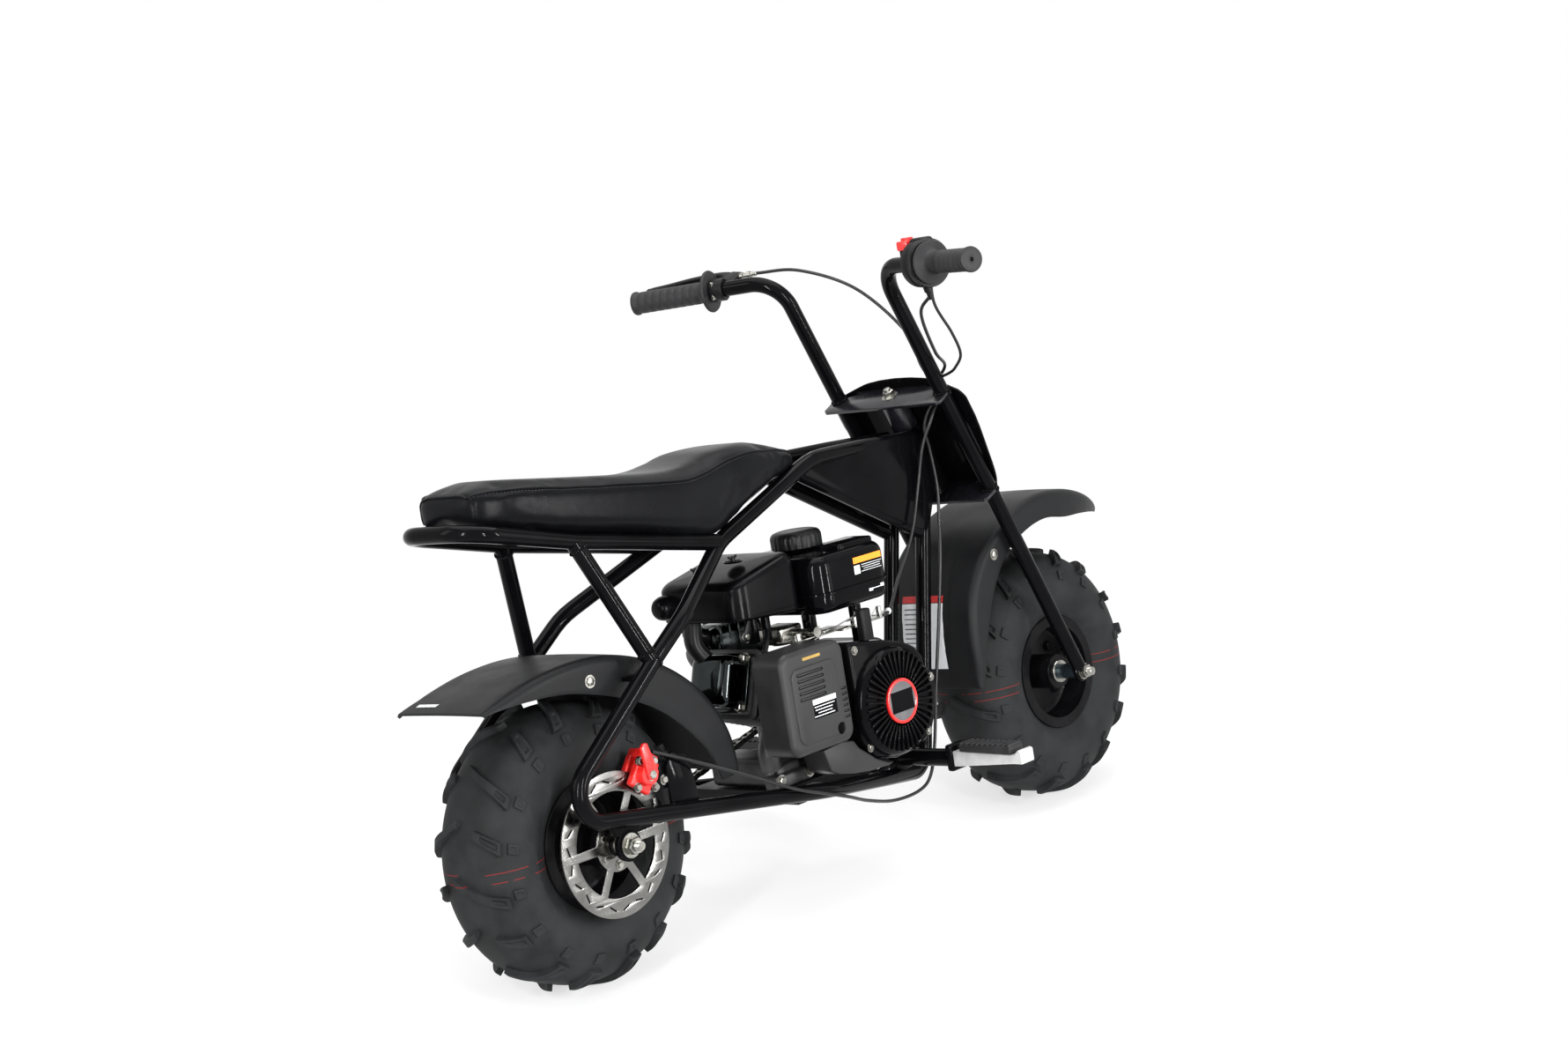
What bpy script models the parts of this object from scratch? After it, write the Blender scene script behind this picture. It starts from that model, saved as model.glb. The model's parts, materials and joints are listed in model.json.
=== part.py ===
"""A small off-road minibike on its side stand, one object for each sub-part.

Everything is laid out upright first: X forward, Y to the rider's left, Z up, metres, with the rear
axle over x = 0. A root empty then leans the whole bike onto its stand.
"""
import math

import bmesh
import bpy
from mathutils import Matrix, Vector

for old in list(bpy.data.objects):
    bpy.data.objects.remove(old, do_unlink=True)

# Driving dimensions
LEAN = math.radians(12.5)
WHEELBASE = 0.977
# Both axles are drawn at this height, and the floor is where the tyres end
AXLE_Z = 0.190
TYRE_R = 0.190
TYRE_HALF = 0.068
LUG = 0.009
LUG_PITCHES = 16
RIM_R = 0.0775
TUBE_R = 0.0111
GAP = 0.0003
RAKE = math.radians(25.6)
HEAD_Z = 0.648
HEAD_X = WHEELBASE - math.tan(RAKE) * (HEAD_Z - AXLE_Z)
LEG_Y = 0.0985
RAIL_Y = 0.117
DISC_Y = -0.0926
CHAIN_Y = 0.0945
CHAIN_PITCH = 0.0127
REAR_TEETH, CLUTCH_TEETH = 40, 10
CRANK_X, CRANK_Z = 0.515, 0.254
STAND_PIVOT = Vector((0.330, 0.142, 0.128))
STAND_FOOT_X, STAND_FOOT_Y = 0.365, 0.262

PALETTE = {
    "gloss": ((0.006, 0.006, 0.007), 0.0, 0.18, 0.6),
    "satin": ((0.012, 0.012, 0.013), 0.0, 0.45, 0.0),
    "rubber": ((0.016, 0.016, 0.017), 0.0, 0.75, 0.0),
    "vinyl": ((0.010, 0.010, 0.011), 0.0, 0.5, 0.0),
    "plastic": ((0.020, 0.020, 0.022), 0.0, 0.5, 0.0),
    "steel": ((0.55, 0.55, 0.54), 1.0, 0.3, 0.0),
    "zinc": ((0.62, 0.62, 0.60), 1.0, 0.35, 0.0),
    "cast": ((0.20, 0.20, 0.20), 0.8, 0.5, 0.0),
    "chrome": ((0.12, 0.13, 0.14), 1.0, 0.14, 0.0),
    "red": ((0.55, 0.015, 0.012), 0.2, 0.35, 0.3),
    "silver": ((0.70, 0.70, 0.69), 0.6, 0.4, 0.0),
}

AXIS = Vector((math.sin(RAKE), 0, -math.cos(RAKE)))
AHEAD = Vector((math.cos(RAKE), 0, math.sin(RAKE)))
HEAD = Vector((HEAD_X, 0, HEAD_Z))


def empty(name, place, parent=None, turn=None):
    found = bpy.data.objects.new(name, None)
    bpy.context.scene.collection.objects.link(found)
    found.location = place
    if turn is not None:
        found.rotation_euler = turn
    found.parent = parent
    return found


ROOT = empty("minibike", (0, 0, 0))
PIVOTS = {"frame": (Vector((0, 0, 0)), ROOT)}


def add_pivot(name, place):
    PIVOTS[name] = (Vector(place), empty(name + "_axis", place, ROOT))


add_pivot("steering", HEAD)
add_pivot("front_wheel", (WHEELBASE, 0, AXLE_Z))
add_pivot("rear_wheel", (0, 0, AXLE_Z))
add_pivot("side_stand", STAND_PIVOT)
# The front wheel turns with the fork.
PIVOTS["front_wheel"][1].parent = PIVOTS["steering"][1]
PIVOTS["front_wheel"][1].location = Vector((WHEELBASE, 0, AXLE_Z)) - HEAD


def rounded(path, radii, steps=4):
    """The path with each inner corner replaced by a bend of that radius."""
    points = [Vector(p) for p in path]
    out = [points[0]]
    for i in range(1, len(points) - 1):
        here, radius = points[i], radii[i - 1]
        back = (points[i - 1] - here).normalized()
        on = (points[i + 1] - here).normalized()
        angle = back.angle(on)
        if radius <= 0 or angle > math.pi - 0.02:
            out.append(here)
            continue
        reach = radius / math.tan(angle / 2)
        reach = min(reach, 0.48 * (points[i - 1] - here).length, 0.48 * (points[i + 1] - here).length)
        middle = here + (back + on).normalized() * reach / math.cos(angle / 2)
        first, last = here + back * reach - middle, here + on * reach - middle
        sweep = math.pi - angle
        count = max(2, round(steps * sweep / 1.2))
        for k in range(count + 1):
            part = k / count
            mixed = first * math.sin((1 - part) * sweep) + last * math.sin(part * sweep)
            out.append(middle + mixed / math.sin(sweep))
    out.append(points[-1])
    return out


def tube(path, radius, sides=10, ends=True):
    """A round bar along the path, with flat ends."""
    points = [Vector(p) for p in path]
    radii = radius if isinstance(radius, (list, tuple)) else [radius] * len(points)
    tangents = []
    for i in range(len(points)):
        a, b = points[max(i - 1, 0)], points[min(i + 1, len(points) - 1)]
        before = (points[i] - a).normalized() if i else None
        after = (b - points[i]).normalized() if i < len(points) - 1 else None
        if before is None:
            tangents.append(after)
        elif after is None:
            tangents.append(before)
        else:
            tangents.append((before + after).normalized())
    side = tangents[0].orthogonal().normalized()
    verts, faces = [], []
    for i, (p, t) in enumerate(zip(points, tangents)):
        side = (side - t * side.dot(t)).normalized()
        other = t.cross(side)
        for k in range(sides):
            a = 2 * math.pi * (k + 0.5) / sides
            verts.append(p + (side * math.cos(a) + other * math.sin(a)) * radii[i])
        if i:
            for k in range(sides):
                n = (k + 1) % sides
                faces.append(((i - 1) * sides + k, (i - 1) * sides + n, i * sides + n, i * sides + k))
    if ends:
        faces.append(tuple(reversed(range(sides))))
        faces.append(tuple(range(len(verts) - sides, len(verts))))
    return verts, faces


def lathe(profile, sides=24, axis="Y", place=(0, 0, 0), loop=False, start=0.0):
    """A turned shape. The profile holds (distance along the axis, radius)."""
    verts, rings = [], []
    for along, radius in profile:
        if radius <= 1e-9:
            rings.append([len(verts)])
            verts.append((along, 0, 0))
            continue
        rings.append(list(range(len(verts), len(verts) + sides)))
        for k in range(sides):
            a = start + 2 * math.pi * k / sides
            verts.append((along, radius * math.cos(a), radius * math.sin(a)))
    faces = []
    pairs = list(zip(rings, rings[1:] + rings[:1])) if loop else list(zip(rings, rings[1:]))
    for low, high in pairs:
        for k in range(sides):
            n = (k + 1) % sides
            quad = [low[k % len(low)], high[k % len(high)], high[n % len(high)], low[n % len(low)]]
            quad = [v for j, v in enumerate(quad) if v not in quad[:j]]
            if len(quad) > 2:
                faces.append(tuple(quad))
    if not loop:
        for ring, flip in ((rings[0], False), (rings[-1], True)):
            if len(ring) > 1:
                faces.append(tuple(reversed(ring)) if flip else tuple(ring))
    place = Vector(place)
    turned = []
    for a, u, v in verts:
        point = {"Y": Vector((v, a, u)), "X": Vector((a, u, v)), "Z": Vector((u, v, a))}[axis]
        turned.append(place + point)
    return turned, faces


def lathe_on(profile, origin, direction, sides=16):
    """A turned shape along any direction."""
    verts, faces = lathe(profile, sides, "Z")
    turn = Vector((0, 0, 1)).rotation_difference(Vector(direction).normalized())
    return [Vector(origin) + turn @ v for v in verts], faces


def box(middle, size, bevel=0.0, turn=None, steps=1):
    """A block with its edges broken by the bevel."""
    bm = bmesh.new()
    bmesh.ops.create_cube(bm, size=1.0)
    bmesh.ops.scale(bm, vec=Vector(size), verts=bm.verts)
    if bevel > 0:
        bmesh.ops.bevel(
            bm, geom=list(bm.edges), offset=bevel, offset_type="OFFSET", segments=steps, profile=0.5,
            affect="EDGES",
        )
    turn = turn if turn is not None else Matrix.Identity(3)
    bm.verts.index_update()
    verts = [Vector(middle) + turn @ v.co for v in bm.verts]
    faces = [tuple(v.index for v in f.verts) for f in bm.faces]
    bm.free()
    return verts, faces


def prism(outline, low, high, plane="XZ"):
    """An outline pulled from one side to the other across its plane."""
    put = {
        "XZ": lambda u, v, w: Vector((u, w, v)),
        "XY": lambda u, v, w: Vector((u, v, w)),
        "YZ": lambda u, v, w: Vector((w, u, v)),
    }[plane]
    n = len(outline)
    verts = [put(u, v, low) for u, v in outline] + [put(u, v, high) for u, v in outline]
    faces = [tuple(range(n)), tuple(range(2 * n - 1, n - 1, -1))]
    for k in range(n):
        m = (k + 1) % n
        faces.append((k, k + n, m + n, m))
    return verts, faces


def plate(outlines, thick, matrix):
    """A flat plate with holes: the first outline is its edge and the others are holes."""
    curve = bpy.data.curves.new("outline", "CURVE")
    curve.dimensions = "2D"
    curve.fill_mode = "BOTH"
    curve.extrude = thick / 2
    for outline in outlines:
        line = curve.splines.new("POLY")
        line.points.add(len(outline) - 1)
        for point, (u, v) in zip(line.points, outline):
            point.co = (u, v, 0, 1)
        line.use_cyclic_u = True
    holder = bpy.data.objects.new("outline", curve)
    bpy.context.scene.collection.objects.link(holder)
    graph = bpy.context.evaluated_depsgraph_get()
    mesh = bpy.data.meshes.new_from_object(holder.evaluated_get(graph))
    bm = bmesh.new()
    bm.from_mesh(mesh)
    bmesh.ops.remove_doubles(bm, verts=bm.verts, dist=1e-6)
    bm.verts.index_update()
    verts = [matrix @ v.co for v in bm.verts]
    faces = [tuple(v.index for v in f.verts) for f in bm.faces]
    bm.free()
    bpy.context.scene.collection.objects.unlink(holder)
    return verts, faces


def ring_points(radius, count, cu=0.0, cv=0.0, start=0.0, sweep=2 * math.pi):
    whole = abs(sweep - 2 * math.pi) < 1e-6
    steps = count if whole else count - 1
    return [
        (cu + radius * math.cos(start + sweep * k / steps), cv + radius * math.sin(start + sweep * k / steps))
        for k in range(count)
    ]


def loft(rings):
    """A skin over rings of the same count, closed with a flat end at each side."""
    n = len(rings[0])
    verts = [Vector(p) for ring in rings for p in ring]
    faces = []
    for i in range(1, len(rings)):
        for k in range(n):
            m = (k + 1) % n
            faces.append(((i - 1) * n + k, (i - 1) * n + m, i * n + m, i * n + k))
    faces.append(tuple(reversed(range(n))))
    faces.append(tuple(range(len(verts) - n, len(verts))))
    return verts, faces


def mesh_object(name, shape):
    verts, faces = shape
    mesh = bpy.data.meshes.new(name)
    mesh.from_pydata([tuple(v) for v in verts], [], faces)
    bm = bmesh.new()
    bm.from_mesh(mesh)
    bmesh.ops.recalc_face_normals(bm, faces=bm.faces)
    if bm.calc_volume(signed=True) < 0:
        bmesh.ops.reverse_faces(bm, faces=bm.faces)
    bm.to_mesh(mesh)
    bm.free()
    found = bpy.data.objects.new(name, mesh)
    bpy.context.scene.collection.objects.link(found)
    return found


KIND_OF = {}


def node(name, kind, shapes, body="frame", cuts=()):
    """One sub-part: its shapes are welded into one body and the cuts are taken away."""
    target = mesh_object(name, shapes[0])
    helpers = []
    for operation, group in (("UNION", shapes[1:]), ("DIFFERENCE", cuts)):
        for shape in group:
            helper = mesh_object("helper", shape)
            helper.hide_render = True
            helpers.append(helper)
            step = target.modifiers.new("join", "BOOLEAN")
            step.operation = operation
            step.solver = "EXACT"
            step.object = helper
    KIND_OF[name] = kind
    place, parent = PIVOTS[body]
    if helpers:
        bpy.context.view_layer.update()
        graph = bpy.context.evaluated_depsgraph_get()
        mesh = bpy.data.meshes.new_from_object(target.evaluated_get(graph))
        target.modifiers.clear()
        target.data = mesh
        mesh.name = name
        for helper in helpers:
            bpy.context.scene.collection.objects.unlink(helper)
    target.data.transform(Matrix.Translation(-place))
    target.parent = parent
    if parent is ROOT:
        target.location = place
    colour, metal, rough, coat = PALETTE[kind]
    material = bpy.data.materials.new(name)
    material.use_nodes = True
    shader = material.node_tree.nodes["Principled BSDF"]
    shader.inputs["Base Color"].default_value = (*colour, 1)
    shader.inputs["Metallic"].default_value = metal
    shader.inputs["Roughness"].default_value = rough
    shader.inputs["Coat Weight"].default_value = coat
    material.diffuse_color = (*colour, 1)
    target.data.materials.clear()
    target.data.materials.append(material)
    return target


def flip(points):
    """The same points on the other side of the bike."""
    return [(p[0], -p[1], p[2]) for p in points]


def bolt(place, direction, radius=0.006, tall=0.005, sides=6):
    """A hexagon head standing on a surface, sunk a little so that it joins it."""
    start = Vector(place) - Vector(direction).normalized() * 0.0015
    return lathe_on([(0, radius), (tall + 0.0015, radius)], start, direction, sides)


# Frame tubes, right side. Each is mirrored for the left.
UPPER = rounded(
    [
        (WHEELBASE - 0.207, -0.030, 0.586),
        (WHEELBASE - 0.337, -0.031, 0.593),
        (0.520, -0.044, 0.596),
        (0.303, -0.0594, 0.5215),
        (0.161, -0.117, 0.452),
        (0.092, -0.117, 0.405),
    ],
    [0.25, 0.16, 0.12, 0.10],
)
LOWER = rounded(
    [
        (0.0915, -RAIL_Y, 0.4046),
        (-0.124, -RAIL_Y, 0.2440),
        (0.370, -RAIL_Y, 0.1645),
        (0.560, -0.0630, 0.1325),
    ],
    [0.038, 0.15],
    6,
)
DOWN = rounded(
    [(0.5605, -0.0629, 0.1325), (WHEELBASE - 0.308, -0.032, 0.1145), (WHEELBASE - 0.209, -0.030, 0.535)],
    [0.040],
)
HOOP_R = rounded(
    [(0.292, -0.068, 0.5225), (0.039, -0.068, 0.5735), (-0.131, -0.068, 0.6165), (-0.131, 0.068, 0.6165),
     (0.039, 0.068, 0.5735), (0.292, 0.068, 0.5225)],
    [0.3, 0.045, 0.045, 0.3],
)
STRUT = [(0.037, -0.068, 0.5726), (0.0915, -0.1165, 0.4050)]
BACKBONE = [(WHEELBASE - 0.477, -0.026, 0.580), (WHEELBASE - 0.239, -0.026, 0.452)]


# The stand's hinge pin stands square to the plane in which the leg swings
STAND_ALONG = (Vector((STAND_FOOT_X, STAND_FOOT_Y, 0.055)) - STAND_PIVOT).normalized()
STAND_AXIS = STAND_ALONG.cross(Vector((-1, 0.05, 0))).normalized()
STAND_BACK = STAND_AXIS.cross(STAND_ALONG).normalized()


def hinge(along, back, out):
    """A point of the stand's hinge, by its distances from the pin."""
    return STAND_PIVOT + STAND_ALONG * along + STAND_BACK * back + STAND_AXIS * out


def tab(outline, half):
    """A bent plate at the hinge, as (along, out) points."""
    verts, faces = prism(outline, -half, half)
    return [hinge(v.x, v.y, v.z) for v in verts], faces


def stand_lug():
    """The lug below the left rail, with the hinge pin and the pin's head."""
    return [tab([(0.0110, 0.0050), (-0.0270, 0.0050), (-0.0430, 0.0150), (-0.0430, 0.0215), (-0.0290, 0.0100),
                 (0.0110, 0.0100)], 0.0125),
            lathe_on([(0.0, 0.0050), (0.0185, 0.0050)], hinge(0, 0, -0.0095), STAND_AXIS, 12),
            lathe_on([(0.0, 0.0090), (0.0040, 0.0090)], hinge(0, 0, -0.0095), STAND_AXIS, 6)]


def rail_fitting(side):
    """The caliper plate on the right rail."""
    if side == "right":
        return prism([(0.091, 0.208), (0.091, 0.268), (0.104, 0.284), (0.128, 0.276), (0.138, 0.240),
                      (0.140, 0.202)],
                     -0.1115, -0.1065)
    return None


for side, mirror in (("right", lambda p: p), ("left", flip)):
    upper, lower = mirror(UPPER), mirror(LOWER)
    node("main_tube_" + side, "gloss", [tube(upper, TUBE_R)])
    w = -1 if side == "right" else 1
    y0, y1 = w * 0.1130, w * 0.1190
    lug = [lathe([(y0, 0.0205), (y1, 0.0205)], 24, "Y", (0, 0, AXLE_Z)),
           prism([(-0.019, 0.192), (-0.028, 0.2275), (0.028, 0.2195), (0.019, 0.192)], y0, y1)]
    lug += [rail_fitting(side)] if side == "right" else stand_lug()
    node("lower_rail_" + side, "gloss", [tube(lower, TUBE_R)] + lug,
         cuts=[tube(upper, TUBE_R + GAP),
               lathe([(y0 - w * 0.01, 0.0073), (y1 + w * 0.01, 0.0073)], 12, "Y", (0, 0, AXLE_Z))])
    node("down_tube_" + side, "gloss", [tube(mirror(DOWN), TUBE_R)],
         cuts=[tube(lower, TUBE_R + GAP), tube(upper, TUBE_R + GAP)])
    node("strut_" + side, "gloss", [tube(mirror(STRUT), TUBE_R)],
         cuts=[tube(upper, TUBE_R + GAP), tube(lower, TUBE_R + GAP), tube(HOOP_R, TUBE_R + GAP)])
node("seat_hoop", "gloss", [tube(HOOP_R, TUBE_R)],
     cuts=[tube(UPPER, TUBE_R + GAP), tube(flip(UPPER), TUBE_R + GAP)])

HEAD_TOP = HEAD + AXIS * 0.054
frame_tubes = [tube(path, TUBE_R + GAP) for path in (UPPER, flip(UPPER), DOWN, flip(DOWN))]
head = [lathe_on([(0, 0.0205), (0.108, 0.0205)], HEAD_TOP, AXIS, 20)]
SHELL = [
    # distance behind the front axle, z
    (0.475, 0.586), (0.417, 0.596), (0.317, 0.597), (0.197, 0.589), (0.189, 0.560), (0.196, 0.522),
    (0.220, 0.470), (0.233, 0.452), (0.263, 0.463), (0.468, 0.572),
]
FACE = [
    # the same, for the plate across the front
    (0.198, 0.588), (0.190, 0.560), (0.197, 0.522), (0.2205, 0.4755), (0.2240, 0.4775), (0.2005, 0.5235),
    (0.1935, 0.561), (0.2020, 0.588),
]
for w in (1, -1):
    head.append(prism([(WHEELBASE - u, z) for u, z in SHELL], w * 0.0395, w * 0.0425))
    head.append(tube([(x, w * 0.0318, z) for x, y, z in BACKBONE], 0.0095))
head.append(prism([(WHEELBASE - u, z) for u, z in FACE], -0.0410, 0.0410))
node("head_tube", "gloss", head,
     cuts=[lathe_on([(-0.01, 0.0140), (0.12, 0.0140)], HEAD_TOP, AXIS, 20)] + frame_tubes)

# Engine bed, footpeg bar and pegs
rail_tubes = [tube(path, TUBE_R + GAP) for path in (LOWER, flip(LOWER), DOWN, flip(DOWN))]
node("engine_plate", "satin",
     [prism([(0.315, -0.085), (0.440, -0.085), (0.520, -0.065), (0.520, 0.065), (0.440, 0.085),
             (0.315, 0.085)],
            0.1725, 0.1765, "XY"),
      box((0.330, 0, 0.1655), (0.020, 0.221, 0.018), 0.002),
      box((0.500, 0, 0.1565), (0.020, 0.150, 0.033), 0.002)],
     cuts=rail_tubes)
PEG_Z = 0.1535
node("footpeg_bar", "gloss",
     [tube([(0.596, -0.160, PEG_Z), (0.596, 0.160, PEG_Z)], 0.0125, 12)]
     + [box((0.596, w * 0.052, PEG_Z - 0.014), (0.030, 0.016, 0.014), 0.002) for w in (-1, 1)]
     + [box((0.598, w * 0.158, PEG_Z + 0.002), (0.034, 0.012, 0.038), 0.003) for w in (-1, 1)],
     cuts=rail_tubes)
for side, w in (("right", -1), ("left", 1)):
    outline = [(w * (0.164 + GAP), -0.0120), (w * (0.164 + GAP), 0.0100), (w * 0.272, 0.0060),
               (w * 0.281, 0.0130),
               (w * 0.286, 0.0110), (w * 0.286, -0.0070), (w * 0.270, -0.0065)]
    outline = [(y, PEG_Z + 0.002 + z) for y, z in outline]
    node("footpeg_" + side, "silver", [prism(outline, 0.583, 0.611, "YZ")])
    pad = [(w * 0.178, 0.0098), (w * 0.178, 0.0200), (w * 0.268, 0.0180), (w * 0.268, 0.0064)]
    node("peg_pad_" + side, "rubber",
         [prism([(y, PEG_Z + 0.002 + z) for y, z in pad], 0.582, 0.612, "YZ")]
         + [box((0.597, w * (0.183 + 0.0115 * k), PEG_Z + 0.023 - 0.0002 * k), (0.030, 0.0045, 0.006), 0.0)
            for k in range(8)])

node("rear_axle", "zinc",
     [lathe([(-0.141, 0.007), (0.141, 0.007)], 12, "Y", (0, 0, AXLE_Z))]
     + [lathe([(w * low, r), (w * high, r)], count, "Y", (0, 0, AXLE_Z)) for w in (-1, 1)
        for low, high, r, count in ((0.1195, 0.1225, 0.016, 16), (0.122, 0.133, 0.0115, 6),
                                    (0.1125, 0.1010, 0.012, 12))])
TILT = Matrix.Rotation(math.radians(38), 3, "Y")
node("brake_caliper", "red",
     [box((0.057, -0.10225, 0.267), (0.036, 0.0108, 0.044), 0.003, TILT),
      box((0.057, -0.08335, 0.267), (0.034, 0.0100, 0.042), 0.003, TILT),
      box((0.0705, -0.0930, 0.2865), (0.030, 0.0280, 0.012), 0.003, TILT),
      lathe([(-0.104, 0.015), (-0.1180, 0.013)], 16, "Y", (0.057, 0, 0.267)),
      prism([(0.050, 0.262), (0.044, 0.304), (0.056, 0.308), (0.068, 0.268)], -0.1215, -0.1165),
      prism([(0.060, 0.284), (0.068, 0.247), (0.106, 0.240), (0.111, 0.256), (0.096, 0.276)], -0.1061,
            -0.0985),
      lathe([(-0.112, 0.006), (-0.1235, 0.006)], 8, "Y", (0.057, 0, 0.267)),
      lathe([(-0.104, 0.007), (-0.1140, 0.006)], 8, "Y", (0.040, 0, 0.254)),
      lathe([(-0.104, 0.007), (-0.1140, 0.006)], 8, "Y", (0.070, 0, 0.254))])


def tyre(name, body, middle):
    """Round balloon tyre. Each side's bars are half a pitch apart and swept back from the middle."""
    rows = [
        # y share, radius share, sweep back, lug height share
        (0.00, 1.000, 0.00, 0.0), (0.09, 0.999, 0.02, 1.0), (0.45, 0.982, 0.17, 1.0),
        (0.80, 0.880, 0.46, 1.0), (0.84, 0.862, 0.50, 0.0), (0.965, 0.765, 0.60, 0.0),
        (1.00, 0.660, 0.60, 0.0), (0.76, (RIM_R + 0.008) / TYRE_R, 0.60, 0.0),
    ]
    profile = [(-y, r, s, h, 1) for y, r, s, h in reversed(rows[1:])]
    profile += [(0.0, 1.0, 0.0, 0.0, 0)] + [(y, r, s, h, 0) for y, r, s, h in rows[1:]]
    starts = (0.0, 0.10, 0.50, 0.60)
    columns = 4 * LUG_PITCHES
    verts, faces = [], []
    for share, radius, sweep, high, shift in profile:
        for c in range(columns):
            pitch, slot = divmod(c, 4)
            raised = slot in ((1, 2) if shift else (3, 0))
            angle = 2 * math.pi * (pitch + starts[slot] + sweep) / LUG_PITCHES
            r = TYRE_R * radius - LUG * (1 - (high if raised else 0)) * (1 if radius > 0.78 else 0.6)
            if radius < 0.74:
                r = TYRE_R * radius
            y = share * TYRE_HALF
            if radius < 0.9 and high > 0 and raised:
                y += math.copysign(0.003, share)
            verts.append(Vector((r * math.sin(angle), y, r * math.cos(angle))) + Vector(middle))
    rings = len(profile)
    inner = []
    for y in (TYRE_HALF * 0.76, -TYRE_HALF * 0.76):
        inner.append(len(verts))
        for c in range(columns):
            pitch, slot = divmod(c, 4)
            angle = 2 * math.pi * (pitch + starts[slot] + 0.60) / LUG_PITCHES
            verts.append(Vector((RIM_R * math.sin(angle), y, RIM_R * math.cos(angle))) + Vector(middle))
    starts_of = [i * columns for i in range(rings)] + inner
    for i in range(len(starts_of)):
        a, b = starts_of[i], starts_of[(i + 1) % len(starts_of)]
        for c in range(columns):
            n = (c + 1) % columns
            faces.append((a + c, a + n, b + n, b + c))
    return node(name, "rubber", [(verts, faces)], body)


tyre("rear_tyre", "rear_wheel", (0, 0, AXLE_Z))
tyre("front_tyre", "front_wheel", (WHEELBASE, 0, AXLE_Z))

# Rims: a barrel with flanges, a dished centre and the hub. Distances run along the axle
FLANGE_R, BARREL_R, DISH_R = RIM_R + 0.0075, RIM_R - 0.0075, RIM_R - 0.0115
BARREL = [(-0.0535, FLANGE_R), (-0.0560, FLANGE_R), (-0.0560, BARREL_R), (-0.0180, DISH_R), (-0.0150, 0.0240),
          (0.0150, 0.0240), (0.0180, DISH_R), (0.0560, BARREL_R), (0.0560, FLANGE_R), (0.0535, FLANGE_R),
          (0.0525, RIM_R - GAP), (-0.0525, RIM_R - GAP)]


def hub(low, high, bore, radius):
    return [(low, bore), (high, bore), (high, radius), (low, radius)]


node("front_rim", "satin",
     [lathe(BARREL, 26, "Y", (WHEELBASE, 0, AXLE_Z), True),
      lathe(hub(-0.0575, 0.0575, 0.0063 + GAP, 0.026), 18, "Y", (WHEELBASE, 0, AXLE_Z), True)], "front_wheel")
node("rear_rim", "satin",
     [lathe(BARREL, 26, "Y", (0, 0, AXLE_Z), True),
      lathe(hub(DISC_Y + 0.0021, CHAIN_Y - 0.0018, 0.007 + GAP, 0.028), 18, "Y", (0, 0, AXLE_Z), True)],
      "rear_wheel")


def upright(y, x=0.0, z=AXLE_Z):
    """Puts a flat outline (u along X, v along Z) on the plane of that y."""
    return Matrix.Translation((x, y, z)) @ Matrix.Rotation(math.radians(90), 4, "X")


def windows(inner, outer, spokes, web, count):
    """The openings between straight spokes, as outlines."""
    found = []
    for k in range(spokes):
        a0, a1 = 2 * math.pi * k / spokes, 2 * math.pi * (k + 1) / spokes
        lo0, lo1 = a0 + math.asin(web / inner), a1 - math.asin(web / inner)
        hi0, hi1 = a0 + math.asin(web / outer), a1 - math.asin(web / outer)
        outline = ring_points(outer, count, 0, 0, hi0, hi1 - hi0)
        outline += list(reversed(ring_points(inner, 4, 0, 0, lo0, lo1 - lo0)))
        found.append(outline)
    return found


slots = []
for k in range(12):
    a = 2 * math.pi * (k + 0.5) / 12
    slots.append([(0.0825 * math.cos(a + u) + v * math.cos(a), 0.0825 * math.sin(a + u) + v * math.sin(a))
                  for u, v in ((-0.07, -0.0015), (0.05, -0.0015), (0.07, 0.0025), (-0.05, 0.0025))])
node("brake_disc", "steel",
     [plate([ring_points(0.093, 36)] + windows(0.034, 0.068, 6, 0.0055, 7) + slots
            + [ring_points(0.0142, 16)],
            0.0035, upright(DISC_Y))]
     + [bolt((0.026 * math.cos(a), DISC_Y - 0.0017, AXLE_Z + 0.026 * math.sin(a)), (0, -1, 0), 0.0042, 0.004)
        for a in [math.radians(30 + 60 * k) for k in range(6)]], "rear_wheel")


def toothed(teeth, radius, tooth):
    outline = []
    for k in range(teeth):
        for share, r in ((-0.30, radius - tooth), (-0.14, radius + tooth * 0.5), (0.14, radius + tooth * 0.5),
                         (0.30, radius - tooth)):
            a = 2 * math.pi * (k + share) / teeth
            outline.append((r * math.cos(a), r * math.sin(a)))
    return outline


REAR_PITCH_R = CHAIN_PITCH / (2 * math.sin(math.pi / REAR_TEETH))
CLUTCH_PITCH_R = CHAIN_PITCH / (2 * math.sin(math.pi / CLUTCH_TEETH))
node("rear_sprocket", "steel",
     [plate([toothed(REAR_TEETH, REAR_PITCH_R, 0.0040)] + windows(0.036, 0.060, 5, 0.007, 5)
            + [ring_points(0.0142, 16)], 0.0030, upright(CHAIN_Y))], "rear_wheel")


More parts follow.
